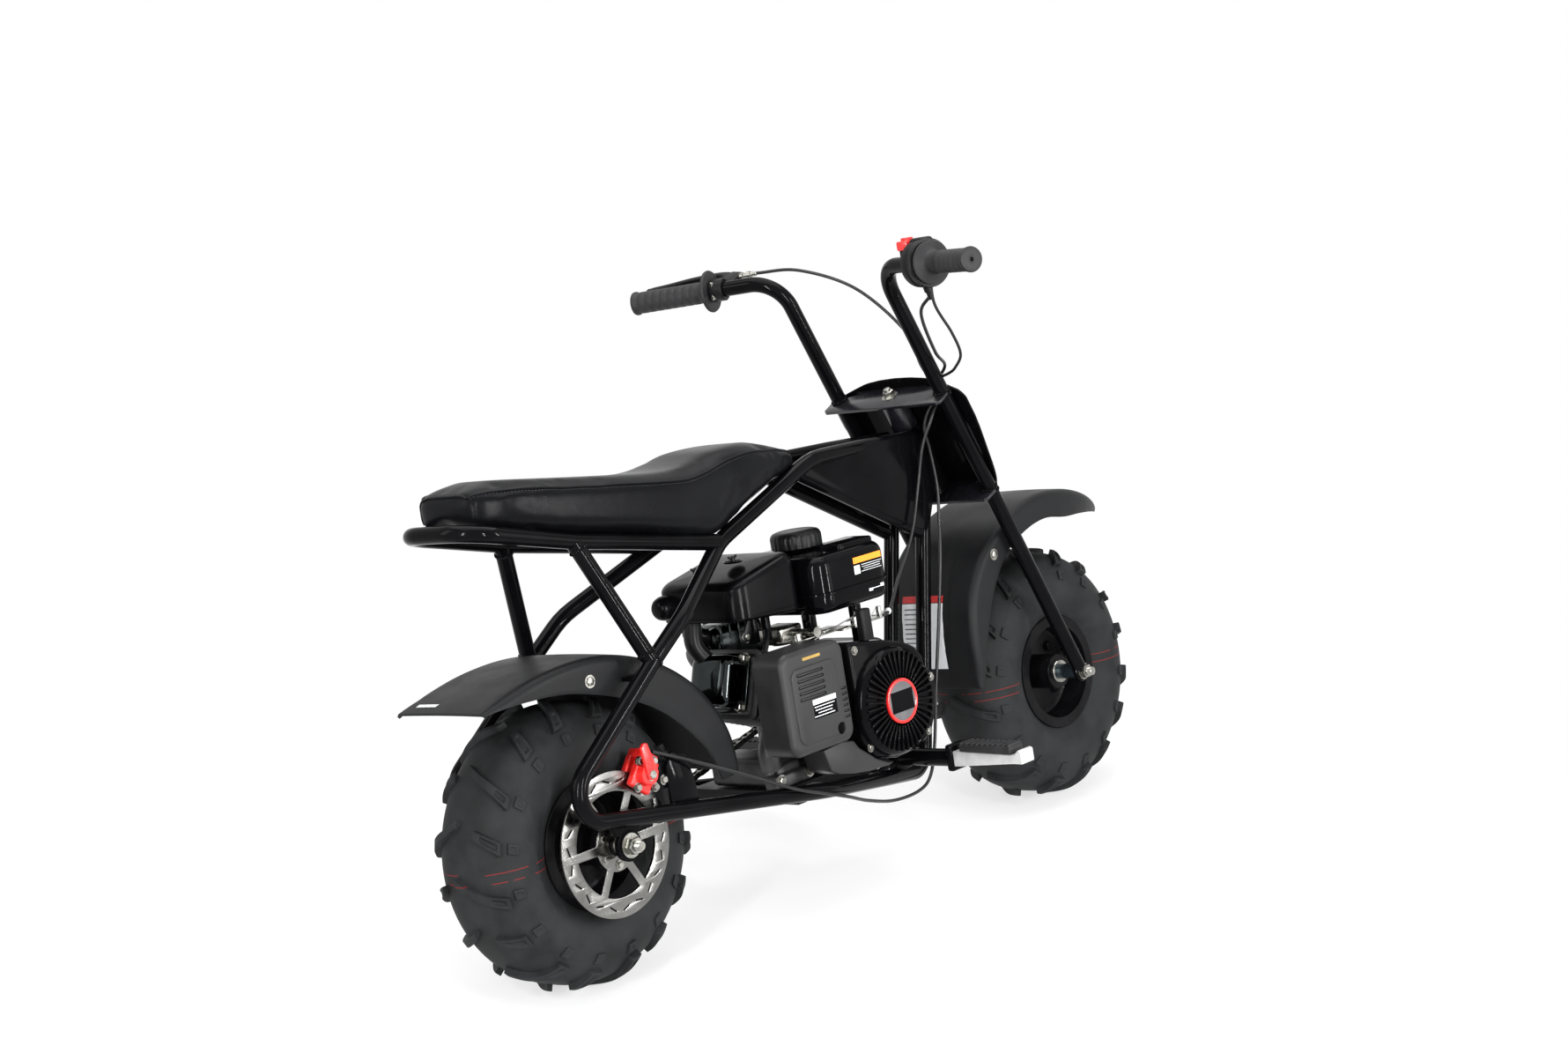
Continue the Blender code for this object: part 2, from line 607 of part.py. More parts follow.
def chain_path():
    """Points at even steps round both sprockets, with the rear axle and the crank as centres."""
    span = math.hypot(CRANK_X, CRANK_Z - AXLE_Z)
    tilt = math.atan2(CRANK_Z - AXLE_Z, CRANK_X)
    lean = math.asin((REAR_PITCH_R - CLUTCH_PITCH_R) / span)
    run = span * math.cos(lean)
    wrap_rear = (math.pi + 2 * lean) * REAR_PITCH_R
    wrap_front = (math.pi - 2 * lean) * CLUTCH_PITCH_R
    stops = [0.0, run, run + wrap_front, 2 * run + wrap_front]
    stops += [run + wrap_front * k / 8 for k in range(1, 8)]
    stops += [2 * run + wrap_front + wrap_rear * k / 20 for k in range(1, 20)]
    top = tilt + math.pi / 2 - lean
    low = tilt - math.pi / 2 + lean

    def rear(a):
        return Vector((REAR_PITCH_R * math.cos(a), 0, AXLE_Z + REAR_PITCH_R * math.sin(a)))

    def front(a):
        return Vector((CRANK_X + CLUTCH_PITCH_R * math.cos(a), 0, CRANK_Z + CLUTCH_PITCH_R * math.sin(a)))

    points = []
    for s in sorted(stops):
        if s < run:
            points.append(rear(top).lerp(front(top), s / run))
        elif s < run + wrap_front:
            points.append(front(top - (s - run) / CLUTCH_PITCH_R))
        elif s < 2 * run + wrap_front:
            points.append(front(low).lerp(rear(low), (s - run - wrap_front) / run))
        else:
            points.append(rear(low - (s - 2 * run - wrap_front) / REAR_PITCH_R))
    return points


def chain():
    """A closed band as wide as the links, open on the side of the teeth."""
    points = chain_path()
    n = len(points)
    verts, faces = [], []
    for i, p in enumerate(points):
        along = ((points[(i + 1) % n] - p).normalized() + (p - points[i - 1]).normalized()).normalized()
        out = Vector((-along.z, 0, along.x))
        half = 0.0062
        section = ((-half, -0.0044), (-half, 0.0048), (half, 0.0048), (half, -0.0044), (0.0026, -0.0044),
                   (0.0026, 0.0028), (-0.0026, 0.0028), (-0.0026, -0.0044))
        for y, h in section:
            verts.append(p + out * h + Vector((0, CHAIN_Y + y, 0)))
    for i in range(n):
        m = (i + 1) % n
        for k in range(8):
            q = (k + 1) % 8
            faces.append((i * 8 + k, i * 8 + q, m * 8 + q, m * 8 + k))
    return verts, faces


node("drive_chain", "steel", [chain()])
node("clutch", "steel",
     [lathe([(0.0620, 0.010), (0.0800, 0.010), (0.0800, 0.0150), (0.0875, 0.0150), (0.0875, 0.0100),
             (0.1014, 0.0100), (0.1014, 0.0420), (0.1270, 0.0420), (0.1310, 0.0340), (0.1310, 0.0)],
            20, "Y", (CRANK_X, 0, CRANK_Z)),
      plate([toothed(CLUTCH_TEETH, CLUTCH_PITCH_R, 0.0040)], 0.0030,
            upright(CHAIN_Y, CRANK_X, CRANK_Z))])

# Engine. The crank lies across the bike, the starter is on the right and the head points back
CYL = math.radians(20)
CYL_DIR = Vector((-math.cos(CYL), 0, math.sin(CYL)))
CRANK = Vector((CRANK_X, 0, CRANK_Z))
CYL_TURN = Matrix.Rotation(CYL, 3, "Y")


def on_cylinder(distance, up=0.0, y=0.0):
    across = Vector((math.sin(CYL), 0, math.cos(CYL)))
    return CRANK + CYL_DIR * distance + across * up + Vector((0, y, 0))


HEAD_END = 0.1985
case = [
    box((0.508, -0.010, 0.255), (0.176, 0.130, 0.152), 0.016),
    box(on_cylinder(HEAD_END / 2 + 0.03), (HEAD_END - 0.06, 0.092, 0.078), 0.006, CYL_TURN),
    box((0.430, -0.006, 0.193), (0.190, 0.125, 0.026), 0.004),
    box((0.350, -0.0700, 0.186), (0.070, 0.024, 0.018), 0.002),
    box((0.352, -0.006, 0.198), (0.060, 0.110, 0.040), 0.006),
    lathe([(0.050, 0.045), (0.061, 0.036)], 24, "Y", (CRANK_X, 0, CRANK_Z)),
    tube([(0.355, 0.030, 0.335), (0.350, 0.062, 0.345), (0.364, 0.086, 0.357), (0.3797, 0.086, 0.357)],
         0.011, 10),
]
for k in range(7):
    case.append(box(on_cylinder(0.100 + 0.0140 * k), (0.0045, 0.108, 0.096), 0, CYL_TURN))
for x in (0.3240, 0.3810):
    case.append(bolt((x, -0.0820, 0.1885), (0, -1, 0), 0.0060, 0.005))
node("engine_case", "cast", case)
ROCKER_Y = -0.006
rocker = [box(on_cylinder(HEAD_END + GAP + 0.0235, 0, ROCKER_Y), (0.0390, 0.074, 0.072), 0.012, CYL_TURN, 2),
          box(on_cylinder(HEAD_END + GAP + 0.0025, 0, ROCKER_Y), (0.0050, 0.084, 0.082), 0.002, CYL_TURN)]
for up, y in ((-0.033, -0.034), (0.033, -0.034)):
    rocker.append(lathe_on([(0, 0.0065), (0.012, 0.0065), (0.012, 0.0048), (0.017, 0.0048)],
                           on_cylinder(HEAD_END + GAP + 0.002, up, ROCKER_Y + y), CYL_DIR, 8))
node("rocker_cover", "chrome", rocker)

housing = [(0.4445, 0.2120), (0.4425, 0.3490), (0.4550, 0.3500), (0.5160, 0.3398), (0.5550, 0.3296),
           (0.5800, 0.3164), (0.5927, 0.3013), (0.5950, 0.2857), (0.6080, 0.2763), (0.6125, 0.2596),
           (0.6085, 0.2392), (0.5990, 0.2100), (0.5862, 0.1890), (0.5509, 0.1763), (0.5087, 0.1747),
           (0.4655, 0.1856)]
starter = [prism(housing, -0.1300, -0.0760),
           lathe([(-0.128, 0.074), (-0.142, 0.070), (-0.1465, 0.060), (-0.1465, 0.0)], 36, "Y",
                 (CRANK_X, 0, CRANK_Z))]
for k in range(32):
    a = 2 * math.pi * k / 32
    turn = Matrix.Rotation(a, 3, "Y")
    starter.append(box(CRANK + Vector((0, -0.1450, 0)) + turn @ Vector((0.0505, 0, 0)),
                       (0.0330, 0.0080, 0.0028), 0,
                       turn))
node("starter_housing", "gloss", starter)
node("starter_badge", "red",
     [lathe([(-0.1468, 0.031), (-0.1500, 0.031), (-0.1500, 0.027), (-0.1490, 0.0265), (-0.1490, 0.0)], 28,
            "Y",
            (CRANK_X, 0, CRANK_Z))])
clear = [(CRANK_X + (x - CRANK_X) * 1.0045, CRANK_Z + (z - CRANK_Z) * 1.0045) for x, z in housing]
node("starter_grip", "plastic", [box((0.492, -0.122, 0.3660), (0.020, 0.014, 0.0450), 0.004)],
     cuts=[prism(clear, -0.1300 - GAP, -0.0760)])

COVER = [
    # y, shift inwards of the outline
    (-0.0950, 0.000), (-0.1420, 0.000), (-0.1480, 0.003), (-0.1500, 0.008),
]
EDGE = [(0.290, 0.240), (0.296, 0.352), (0.312, 0.362), (0.398, 0.366), (0.412, 0.352), (0.414, 0.242),
        (0.402, 0.228), (0.306, 0.226)]
rings = []
for y, inset in COVER:
    rings.append([Vector((0.352 + (x - 0.352) * (1 - inset / 0.062), y,
                          0.296 + (z - 0.296) * (1 - inset / 0.070)))
                  for x, z in EDGE])
node("side_cover", "plastic",
     [loft(rings)]
     + [box((0.334, -0.1500, 0.343 - 0.0115 * k), (0.052, 0.004, 0.0050)) for k in range(6)]
     + [box((0.396, -0.1490, 0.310 - 0.0105 * k), (0.016, 0.006, 0.0045)) for k in range(6)]
     + [lathe([(-0.0960, 0.006), (-0.0540 - GAP, 0.006)], 8, "Y",
              (on_cylinder(0.156, up).x, 0, on_cylinder(0.156, up).z))
        for up in (-0.028, 0.028)])
node("lower_cover", "plastic",
     [prism([(0.372, 0.1905), (0.362, 0.2215), (0.402, 0.2255), (0.424, 0.2200), (0.433, 0.2080),
             (0.455, 0.1920), (0.486, 0.1790), (0.500, 0.1730), (0.486, 0.1700), (0.453, 0.1715),
             (0.418, 0.1760), (0.388, 0.1825)],
            -0.1320, -0.0880)],
     cuts=rail_tubes + [prism(clear, -0.1300 - GAP, -0.0760), prism(EDGE, -0.16, -0.0947)])
AIR = [
    # x, underside, top, half width at the sides
    (0.2900, 0.4190, 0.4620, 0.070), (0.2960, 0.4128, 0.4690, 0.0765), (0.3400, 0.4080, 0.4790, 0.0775),
    (0.4130, 0.3995, 0.4890, 0.0775), (0.4195, 0.4010, 0.4870, 0.0765), (0.4220, 0.4060, 0.4810, 0.072),
]
rings = []
for x, low, high, half in AIR:
    ring = []
    for u, v in ((-1, 0.10), (-0.97, 0.03), (-0.88, 0.0), (0.88, 0.0), (0.97, 0.03), (1, 0.10), (1, 0.80),
                 (0.95, 0.93), (0.82, 1.0), (-0.82, 1.0), (-0.95, 0.93), (-1, 0.80)):
        ring.append(Vector((x, -0.0085 + half * u, low + (high - low) * v)))
    rings.append(ring)
node("air_cleaner", "gloss",
     [loft(rings),
      lathe([(0.268, 0.0), (0.268, 0.0125), (0.273, 0.0160), (0.295, 0.0170)], 16, "X", (0, 0.045, 0.437)),
      tube([(0.312, 0.030, 0.420), (0.312, 0.030, 0.395), (0.330, 0.024, 0.3845)], 0.014, 10),
      box((0.358, -0.040, 0.388), (0.010, 0.016, 0.052), 0.001),
      box((0.377, -0.048, 0.382), (0.010, 0.010, 0.048), 0.001)]
     + [lathe([(0.468, 0.004), (z, 0.004), (z, 0.0)], 8, "Z", (x, y, 0)) for x, y, z in
        ((0.320, 0.012, 0.486), (0.352, -0.030, 0.492))],
     cuts=[box(on_cylinder(0.142), (0.12, 0.12, 2 * (0.048 + GAP)), 0, CYL_TURN)])
TANK = Vector((0.503, -0.020, 0.432))
node("fuel_tank", "gloss",
     [box(TANK, (0.150, 0.180, 0.080), 0.014, None, 2),
      box((0.503, -0.020, 0.4206), (0.156, 0.186, 0.006), 0.002),
      box((0.530, -0.070, 0.4735), (0.070, 0.046, 0.009), 0.003),
      lathe([(0.468, 0.026), (0.4757, 0.026), (0.4757, 0.0)], 20, "Z", (0.500, -0.012, 0)),
      box((0.450, -0.060, 0.3799), (0.012, 0.014, 0.0322), 0.001),
      box((0.545, 0.030, 0.3645), (0.014, 0.016, 0.066), 0.001),
      box((0.545, -0.060, 0.3645), (0.012, 0.014, 0.066), 0.001)])
cap = []
for k in range(18):
    a = 2 * math.pi * k / 18
    for share, r in ((0.0, 0.0365), (0.5, 0.0350)):
        b = a + share * 2 * math.pi / 18
        cap.append((0.500 + r * math.cos(b), -0.012 + r * math.sin(b)))
node("fuel_cap", "plastic",
     [prism(cap, 0.4760, 0.4975, "XY"), lathe([(0.4970, 0.029), (0.5020, 0.026), (0.5020, 0.0)], 20, "Z",
                                              (0.500, -0.012, 0))],
     cuts=[box((0.530, -0.070, 0.4735), (0.070 + 2 * GAP, 0.046 + 2 * GAP, 0.009 + 2 * GAP))])
node("carburettor", "zinc",
     [box((0.4200, -0.030, 0.3700), (0.044, 0.046, 0.024), 0.004),
      box((0.410, -0.046, 0.3580), (0.030, 0.026, 0.010), 0.001),
      box((0.4500, -0.060, 0.3620), (0.110, 0.040, 0.0030), 0.0),
      lathe([(-0.100, 0.005), (-0.050, 0.005)], 8, "Y", (0.420, 0, 0.3720)),
      box((0.530, -0.0760, 0.3600), (0.090, 0.012, 0.0025), 0.0),
      box((0.400, -0.0780, 0.3580), (0.018, 0.0025, 0.026), 0.0)])
node("muffler", "chrome",
     [box((0.4350, 0.0860, 0.3580), (0.1100, 0.050, 0.062), 0.012, None, 2),
      lathe([(0.480, 0.009), (0.502, 0.009)], 12, "X", (0, 0.098, 0.340))])

# Fork. Both legs run straight on as the handlebar halves
def on_leg(distance):
    """The point at that distance up the leg line from the front axle, on the middle plane."""
    return Vector((WHEELBASE, 0, AXLE_Z)) - AXIS * distance


def off_axis(s, ahead, y=0.0):
    """A point by its distance down the steering axis from the upper plate and ahead of it."""
    return HEAD + AXIS * s + AHEAD * ahead + Vector((0, y, 0))


BAR_TOP = on_leg(0.722)
BAR_END = Vector((WHEELBASE - 0.383, 0.3205, 0.8375))
LEG = rounded(
    [on_leg(0.0) + Vector((0, -LEG_Y, 0)), BAR_TOP + Vector((0, -LEG_Y, 0)),
     Vector((BAR_END.x, -BAR_END.y, BAR_END.z))],
    [0.050], 6)
PLATE_T = 0.0045


def fork_plate(s, half, back, front):
    """A cross plate that the legs pass beside, in half-round notches."""
    turn = Matrix((AHEAD, Vector((0, 1, 0)), -AXIS)).transposed().to_4x4()
    matrix = Matrix.Translation(off_axis(s, 0)) @ turn
    outline = [(back, -half), (0.0, -half), (front, -0.052), (front, 0.052), (0.0, half), (back, half)]
    return plate([outline], PLATE_T, matrix)


legs_cut = [tube(LEG, TUBE_R + GAP, 16), tube(flip(LEG), TUBE_R + GAP, 16)]
node("fork_leg_right", "gloss", [tube(LEG, TUBE_R, 12),
                                 lathe([(-0.0955, 0.015), (-0.1015, 0.015)], 20, "Y",
                                       (WHEELBASE, 0, AXLE_Z))],
     "steering", cuts=[lathe([(-0.08, 0.0066), (-0.12, 0.0066)], 12, "Y", (WHEELBASE, 0, AXLE_Z)),
                       box((WHEELBASE, -0.1115, AXLE_Z), (0.05, 0.020, 0.05)),
                       box((WHEELBASE, -0.0855, AXLE_Z), (0.05, 0.020, 0.05))])
node("fork_leg_left", "gloss", [tube(flip(LEG), TUBE_R, 12),
                                lathe([(0.0955, 0.015), (0.1015, 0.015)], 20, "Y", (WHEELBASE, 0, AXLE_Z))],
     "steering", cuts=[lathe([(0.08, 0.0066), (0.12, 0.0066)], 12, "Y", (WHEELBASE, 0, AXLE_Z)),
                       box((WHEELBASE, 0.1115, AXLE_Z), (0.05, 0.020, 0.05)),
                       box((WHEELBASE, 0.0855, AXLE_Z), (0.05, 0.020, 0.05))])
node("fork_stem", "gloss",
     [fork_plate(0.0, 0.1115, -0.030, 0.0225), fork_plate(0.1700, 0.1115, -0.030, 0.0225),
      lathe_on([(-0.002, 0.0110), (0.172, 0.0110)], HEAD, AXIS, 16),
      lathe_on([(0.0, 0.0190), (0.0530, 0.0190)], HEAD, AXIS, 20),
      bolt(HEAD - AXIS * 0.0015, -AXIS, 0.0110, 0.0120),
      bolt(HEAD + AXIS * 0.1715, AXIS, 0.0110, 0.0180)],
     "steering", cuts=legs_cut)
BOARD = [
    # distance from the middle, top edge, bottom edge
    (0.1260, -0.018, -0.050), (0.1230, -0.0125, -0.074), (0.1170, -0.0060, -0.108), (0.1100, -0.0030, -0.145),
    (0.1030, -0.0005, -0.166), (0.0950, 0.0024, -0.1740), (0.0600, 0.0110, -0.1880),
    (0.0380, 0.0142, -0.1960), (0.0270, 0.0154, -0.1900), (0.0, 0.0165, -0.1880),
]
rings = []
for w, rows in ((1, BOARD), (-1, list(reversed(BOARD[:-1])))):
    for v, high, low in rows:
        back = 0.0228 - 0.20 * max(0.0, v - 0.060)
        rings.append([off_axis(-u, ahead, w * v) for u, ahead in
                      ((high, back), (high, back + 0.003), (low, back + 0.003), (low, back))])
node("number_board", "satin", [loft(rings)], "steering")


def grip(name, w, length, flange):
    """A rubber sleeve over the end of the bar, with ribs, a closed end and a hand flange."""
    end = Vector((BAR_END.x, w * BAR_END.y, BAR_END.z))
    inward = (BAR_TOP + Vector((0, w * LEG_Y, 0)) - end).normalized()
    bore = TUBE_R + GAP
    profile = [(-0.0035, 0.0), (-0.0035, 0.0135), (-0.0020, 0.0175), (0.0030, 0.0175), (0.0050, 0.0152)]
    for k in range(3):
        at = 0.012 + k * (length - 0.030) / 3
        profile += [(at, 0.0152), (at + 0.002, 0.0160), (at + 0.0200, 0.0160), (at + 0.0230, 0.0152)]
    profile += [(length - 0.008, 0.0155), (length - 0.005, flange), (length, flange), (length, bore),
                (-0.0006, bore), (-0.0006, 0.0)]
    return node(name, "rubber", [lathe_on(profile, end, inward, 12)], "steering")


grip("grip_left", 1, 0.1260, 0.0310)
grip("grip_right", -1, 0.1000, 0.0250)


def along_bar(w, distance, up=0.0, ahead=0.0):
    end = Vector((BAR_END.x, w * BAR_END.y, BAR_END.z))
    inward = (BAR_TOP + Vector((0, w * LEG_Y, 0)) - end).normalized()
    return end + inward * distance + Vector((ahead, 0, up)), inward


spot, inward = along_bar(-1, 0.1003)
node("throttle_housing", "plastic",
     [lathe_on([(0, 0.0325), (0.008, 0.0335), (0.026, 0.0330), (0.030, 0.0280)],
               spot, inward, 20),
      box(spot + inward * 0.015 + Vector((0.004, 0, 0.032)), (0.022, 0.024, 0.018), 0.003)],
     "steering", cuts=[lathe_on([(-0.01, TUBE_R + GAP), (0.05, TUBE_R + GAP)], spot, inward, 20)])
node("kill_switch", "red",
     [box(spot + inward * 0.043 + Vector((0.0, 0, 0.020)), (0.030, 0.012, 0.026), 0.003)], "steering",
     cuts=[lathe_on([(0.01, TUBE_R + GAP), (0.07, TUBE_R + GAP)], spot, inward, 20)])
spot, inward = along_bar(1, 0.1275)
LEVER = [(0.030, 0.010), (0.044, 0.006), (0.050, -0.020), (0.046, -0.060), (0.036, -0.100), (0.030, -0.128),
         (0.022, -0.126), (0.028, -0.098), (0.037, -0.060), (0.040, -0.020), (0.034, -0.006), (0.018, 0.000)]
lever_turn = Matrix((Vector((0.97, 0.24, 0)).normalized(), -inward, Vector((0, 0, 1)))).transposed()
node("brake_lever", "plastic",
     [lathe_on([(0, 0.0165), (0.020, 0.0165)], spot, inward, 20),
      box(spot + inward * 0.013 + Vector((0.022, -0.004, 0.001)), (0.034, 0.016, 0.014), 0.003),
      plate([[(u, -v) for u, v in LEVER]], 0.009,
            Matrix.Translation(spot + inward * 0.010 + Vector((0, 0, 0.001))) @ lever_turn.to_4x4()),
      lathe_on([(0, 0.005), (0.028, 0.0045), (0.036, 0.003)],
               spot + inward * 0.008 + Vector((0.030, 0, 0.001)),
               inward + Vector((0.05, 0, 0.04)), 10)],
     "steering", cuts=[lathe_on([(-0.01, TUBE_R + GAP), (0.03, TUBE_R + GAP)], spot, inward, 20)])


def fender(name, body, middle, arc, half, thick, extra=(), cuts=()):
    """A moulded guard along an arc, with rounded shoulders and side walls of a changing depth."""
    outer = []
    for degrees, over, share, wall in arc:
        radius = TYRE_R + over
        a = math.radians(degrees)
        out = Vector((math.cos(a), 0, math.sin(a)))
        section = [(-1.0, wall), (-1.0, min(0.014, wall * 0.6)), (-0.93, 0.0055), (-0.78, 0.0015),
                   (-0.4, 0.0), (0.4, 0.0), (0.78, 0.0015), (0.93, 0.0055), (1.0, min(0.014, wall * 0.6)),
                   (1.0, wall)]
        ring = [Vector(middle) + out * (radius - drop) + Vector((0, y * half * share, 0))
                for y, drop in section]
        for y, drop in reversed(section):
            y_in = math.copysign(max(abs(y * half * share) - (thick if abs(y) > 0.5 else 0), 0.0), y)
            down = drop if drop == wall else drop + thick
            ring.append(Vector(middle) + out * (radius - down) + Vector((0, y_in, 0)))
        outer.append(ring)
    return node(name, "satin", [loft(outer)] + list(extra), body, cuts)


FRONT_ARC = [
    # angle, crown's height over the tyre, width share, depth of the side walls
    (174, 0.0270, 0.96, 0.008), (165, 0.0360, 1.0, 0.020), (153, 0.0530, 1.0, 0.036),
    (142, 0.0700, 1.0, 0.046), (130, 0.0800, 1.0, 0.046), (118, 0.0830, 1.0, 0.040),
    (106, 0.0840, 1.0, 0.038), (93, 0.0865, 0.98, 0.040), (80, 0.0890, 0.94, 0.044),
    (68, 0.0930, 0.84, 0.036), (58, 0.0990, 0.66, 0.026), (50, 0.1055, 0.40, 0.016),
    (46, 0.1100, 0.16, 0.010),
]
REAR_ARC = [
    (7, 0.0700, 0.94, 0.040), (20, 0.0720, 1.0, 0.052), (36, 0.0680, 1.0, 0.062), (52, 0.0600, 1.0, 0.062),
    (68, 0.0530, 1.0, 0.058), (84, 0.0500, 1.0, 0.050), (98, 0.0510, 1.0, 0.038), (111, 0.0580, 1.0, 0.027),
    (121, 0.0680, 1.0, 0.016), (129, 0.0800, 0.97, 0.006),
]
fender("front_fender", "steering", (WHEELBASE, 0, AXLE_Z), FRONT_ARC, 0.085, 0.0032,
       extra=[box(on_leg((TYRE_R + 0.018) / math.cos(RAKE)) + Vector((-0.021343, w * 0.0865, 0)),
                  (0.040, 0.0080, 0.024), 0.001) for w in (-1, 1)], cuts=legs_cut)
fender("rear_fender", "frame", (0, 0, AXLE_Z), REAR_ARC, 0.085, 0.0032,
       extra=[box((0.078, w * 0.0965, AXLE_Z + TYRE_R + 0.008), (0.028, 0.026, 0.005), 0.001)
              for w in (-1, 1)],
       cuts=[tube(path, TUBE_R + GAP) for path in (UPPER, flip(UPPER), LOWER, flip(LOWER))])

# Seat cushion, one loft of rounded sections
SEAT = [
    # x, half width, underside, top
    (-0.1080, 0.034, 0.6290, 0.6550), (-0.1040, 0.050, 0.6220, 0.6640), (-0.0920, 0.062, 0.6165, 0.6690),
    (-0.0650, 0.075, 0.6090, 0.6680), (-0.0200, 0.085, 0.5980, 0.6620), (0.0600, 0.092, 0.5790, 0.6500),
    (0.1400, 0.094, 0.5625, 0.6385), (0.2000, 0.093, 0.5480, 0.6310), (0.2500, 0.091, 0.5370, 0.6275),
    (0.2900, 0.088, 0.5320, 0.6320), (0.3300, 0.084, 0.5440, 0.6385), (0.3800, 0.078, 0.5630, 0.6390),
    (0.4250, 0.070, 0.5780, 0.6345), (0.4600, 0.061, 0.5880, 0.6280), (0.4850, 0.050, 0.5960, 0.6200),
    (0.4980, 0.038, 0.6000, 0.6120),
]
rings = []
for x, half, low, high in SEAT:
    ring = []
    middle, tall = (low + high) / 2, (high - low) / 2
    for k in range(20):
        a = 2 * math.pi * (k + 0.5) / 20
        c, s = math.cos(a), math.sin(a)
        ring.append(Vector((x, half * math.copysign(abs(c) ** 0.45, c),
                            middle + tall * math.copysign(abs(s) ** 0.6, s))))
    rings.append(ring)
node("seat", "vinyl", [loft(rings)], cuts=[tube(UPPER, TUBE_R + GAP, 12), tube(flip(UPPER), TUBE_R + GAP, 12),
                                          tube(HOOP_R, TUBE_R + GAP, 12)])

node("front_axle", "zinc",
     [lathe([(-0.122, 0.0063), (0.122, 0.0063)], 12, "Y", (WHEELBASE, 0, AXLE_Z))]
     + [lathe([(w * low, r), (w * high, r)], count, "Y", (WHEELBASE, 0, AXLE_Z)) for w in (-1, 1)
        for low, high, r, count in ((0.1018, 0.1045, 0.013, 16), (0.1040, 0.1130, 0.0105, 6),
                                    (0.0952, 0.0580, 0.011, 12))],
     "steering")

CABLE_R = 0.0024


def smooth(points, count):
    """Points at even shares of a curve that passes through all of the given ones."""
    points = [Vector(p) for p in points]
    ends = [points[0] * 2 - points[1]] + points + [points[-1] * 2 - points[-2]]
    fine = []
    for i in range(1, len(ends) - 2):
        a, b, c, d = ends[i - 1:i + 3]
        for k in range(24):
            t = k / 24
            fine.append((b * 2 + (c - a) * t + (a * 2 - b * 5 + c * 4 - d) * t * t
                         + (b * 3 - a - c * 3 + d) * t ** 3) / 2)
    fine.append(points[-1])
    along = [0.0]
    for a, b in zip(fine, fine[1:]):
        along.append(along[-1] + (b - a).length)
    found = []
    for k in range(count):
        at = along[-1] * k / (count - 1)
        i = max(j for j in range(len(fine) - 1) if along[j] <= at + 1e-12)
        share = (at - along[i]) / max(along[i + 1] - along[i], 1e-9)
        found.append(fine[i].lerp(fine[i + 1], min(share, 1.0)))
    return found


def cable(name, points, count, body="frame"):
    """A cord held at both ends: a curve with a round bevel and filled caps."""
    place, parent = PIVOTS[body]
    curve = bpy.data.curves.new(name, "CURVE")
    curve.dimensions = "3D"
    curve.bevel_depth = CABLE_R
    curve.bevel_resolution = 2
    curve.use_fill_caps = True
    line = curve.splines.new("POLY")
    line.points.add(count - 1)
    for point, p in zip(line.points, smooth(points, count)):
        point.co = (*(p - place), 1)
    found = bpy.data.objects.new(name, curve)
    bpy.context.scene.collection.objects.link(found)
    found.parent = parent
    material = bpy.data.materials.new(name)
    material.use_nodes = True
    shader = material.node_tree.nodes["Principled BSDF"]
    shader.inputs["Base Color"].default_value = (0.015, 0.015, 0.016, 1)
    shader.inputs["Roughness"].default_value = 0.55
    curve.materials.append(material)
    KIND_OF[name] = "rubber"
    return found


# Both cables pass between the upper plate and the board, then change from the fork to the frame
lever_spot, lever_in = along_bar(1, 0.1275)
throttle_spot, throttle_in = along_bar(-1, 0.1003)
BRAKE_UP = [lever_spot + lever_in * 0.0445 + Vector((0.0320, 0, 0.0026)), (0.704, 0.090, 0.842),
            (0.741, 0.020, 0.812), (0.765, -0.040, 0.742), off_axis(-0.040, 0.0162, -0.0690),
            off_axis(-0.012, 0.0163, -0.0740),
            off_axis(0.009, 0.0165, -0.0740), off_axis(0.0165, 0.0060, -0.0700),
            off_axis(0.0240, -0.0060, -0.0640),
            off_axis(0.0350, -0.0150, -0.0580)]
BRAKE_LOW = [off_axis(0.0360, -0.0158, -0.0575), off_axis(0.050, -0.0235, -0.0540),
             off_axis(0.0755, -0.0280, -0.0520),
             off_axis(0.130, -0.0480, -0.0510),
             (0.7610, -0.0520, 0.4600), (0.7470, -0.0560, 0.4100), (0.7270, -0.0530, 0.3256),
             (0.7020, -0.0490, 0.2283), (0.6800, -0.0490, 0.1500), (0.6520, -0.0560, 0.1100),
             (0.6130, -0.0640, 0.0985), (0.5460, -0.0760, 0.1030), (0.4680, -0.1000, 0.1240),
             (0.4000, -0.1280, 0.1480), (0.3496, -0.1320, 0.1663), (0.2959, -0.1315, 0.1863),
             (0.2187, -0.1290, 0.2242), (0.1435, -0.1230, 0.2599), (0.0640, -0.1190, 0.2950)]
THROTTLE_UP = [throttle_spot + throttle_in * 0.0180 + Vector((0, 0, -0.0352)), (0.6480, -0.1750, 0.7700),
               (0.7120, -0.1350, 0.7120), off_axis(-0.032, 0.0220, -0.1060),
               off_axis(-0.012, 0.0150, -0.0865),
               off_axis(0.007, 0.0145, -0.0815), off_axis(0.0170, 0.0020, -0.0795),
               off_axis(0.0235, -0.0120, -0.0770), off_axis(0.0330, -0.0240, -0.0740)]
THROTTLE_LOW = [off_axis(0.0340, -0.0253, -0.0737), off_axis(0.060, -0.0480, -0.0600),
                (0.7300, -0.0500, 0.5200), (0.7000, -0.0500, 0.4550), (0.6500, -0.0560, 0.4000),
                (0.6000, -0.0760, 0.3660), (0.5760, -0.0780, 0.3605)]
cable("brake_cable_upper", BRAKE_UP, 26, "steering")
cable("brake_cable_lower", BRAKE_LOW, 46)
cable("throttle_cable_upper", THROTTLE_UP, 22, "steering")
cable("throttle_cable_lower", THROTTLE_LOW, 16)

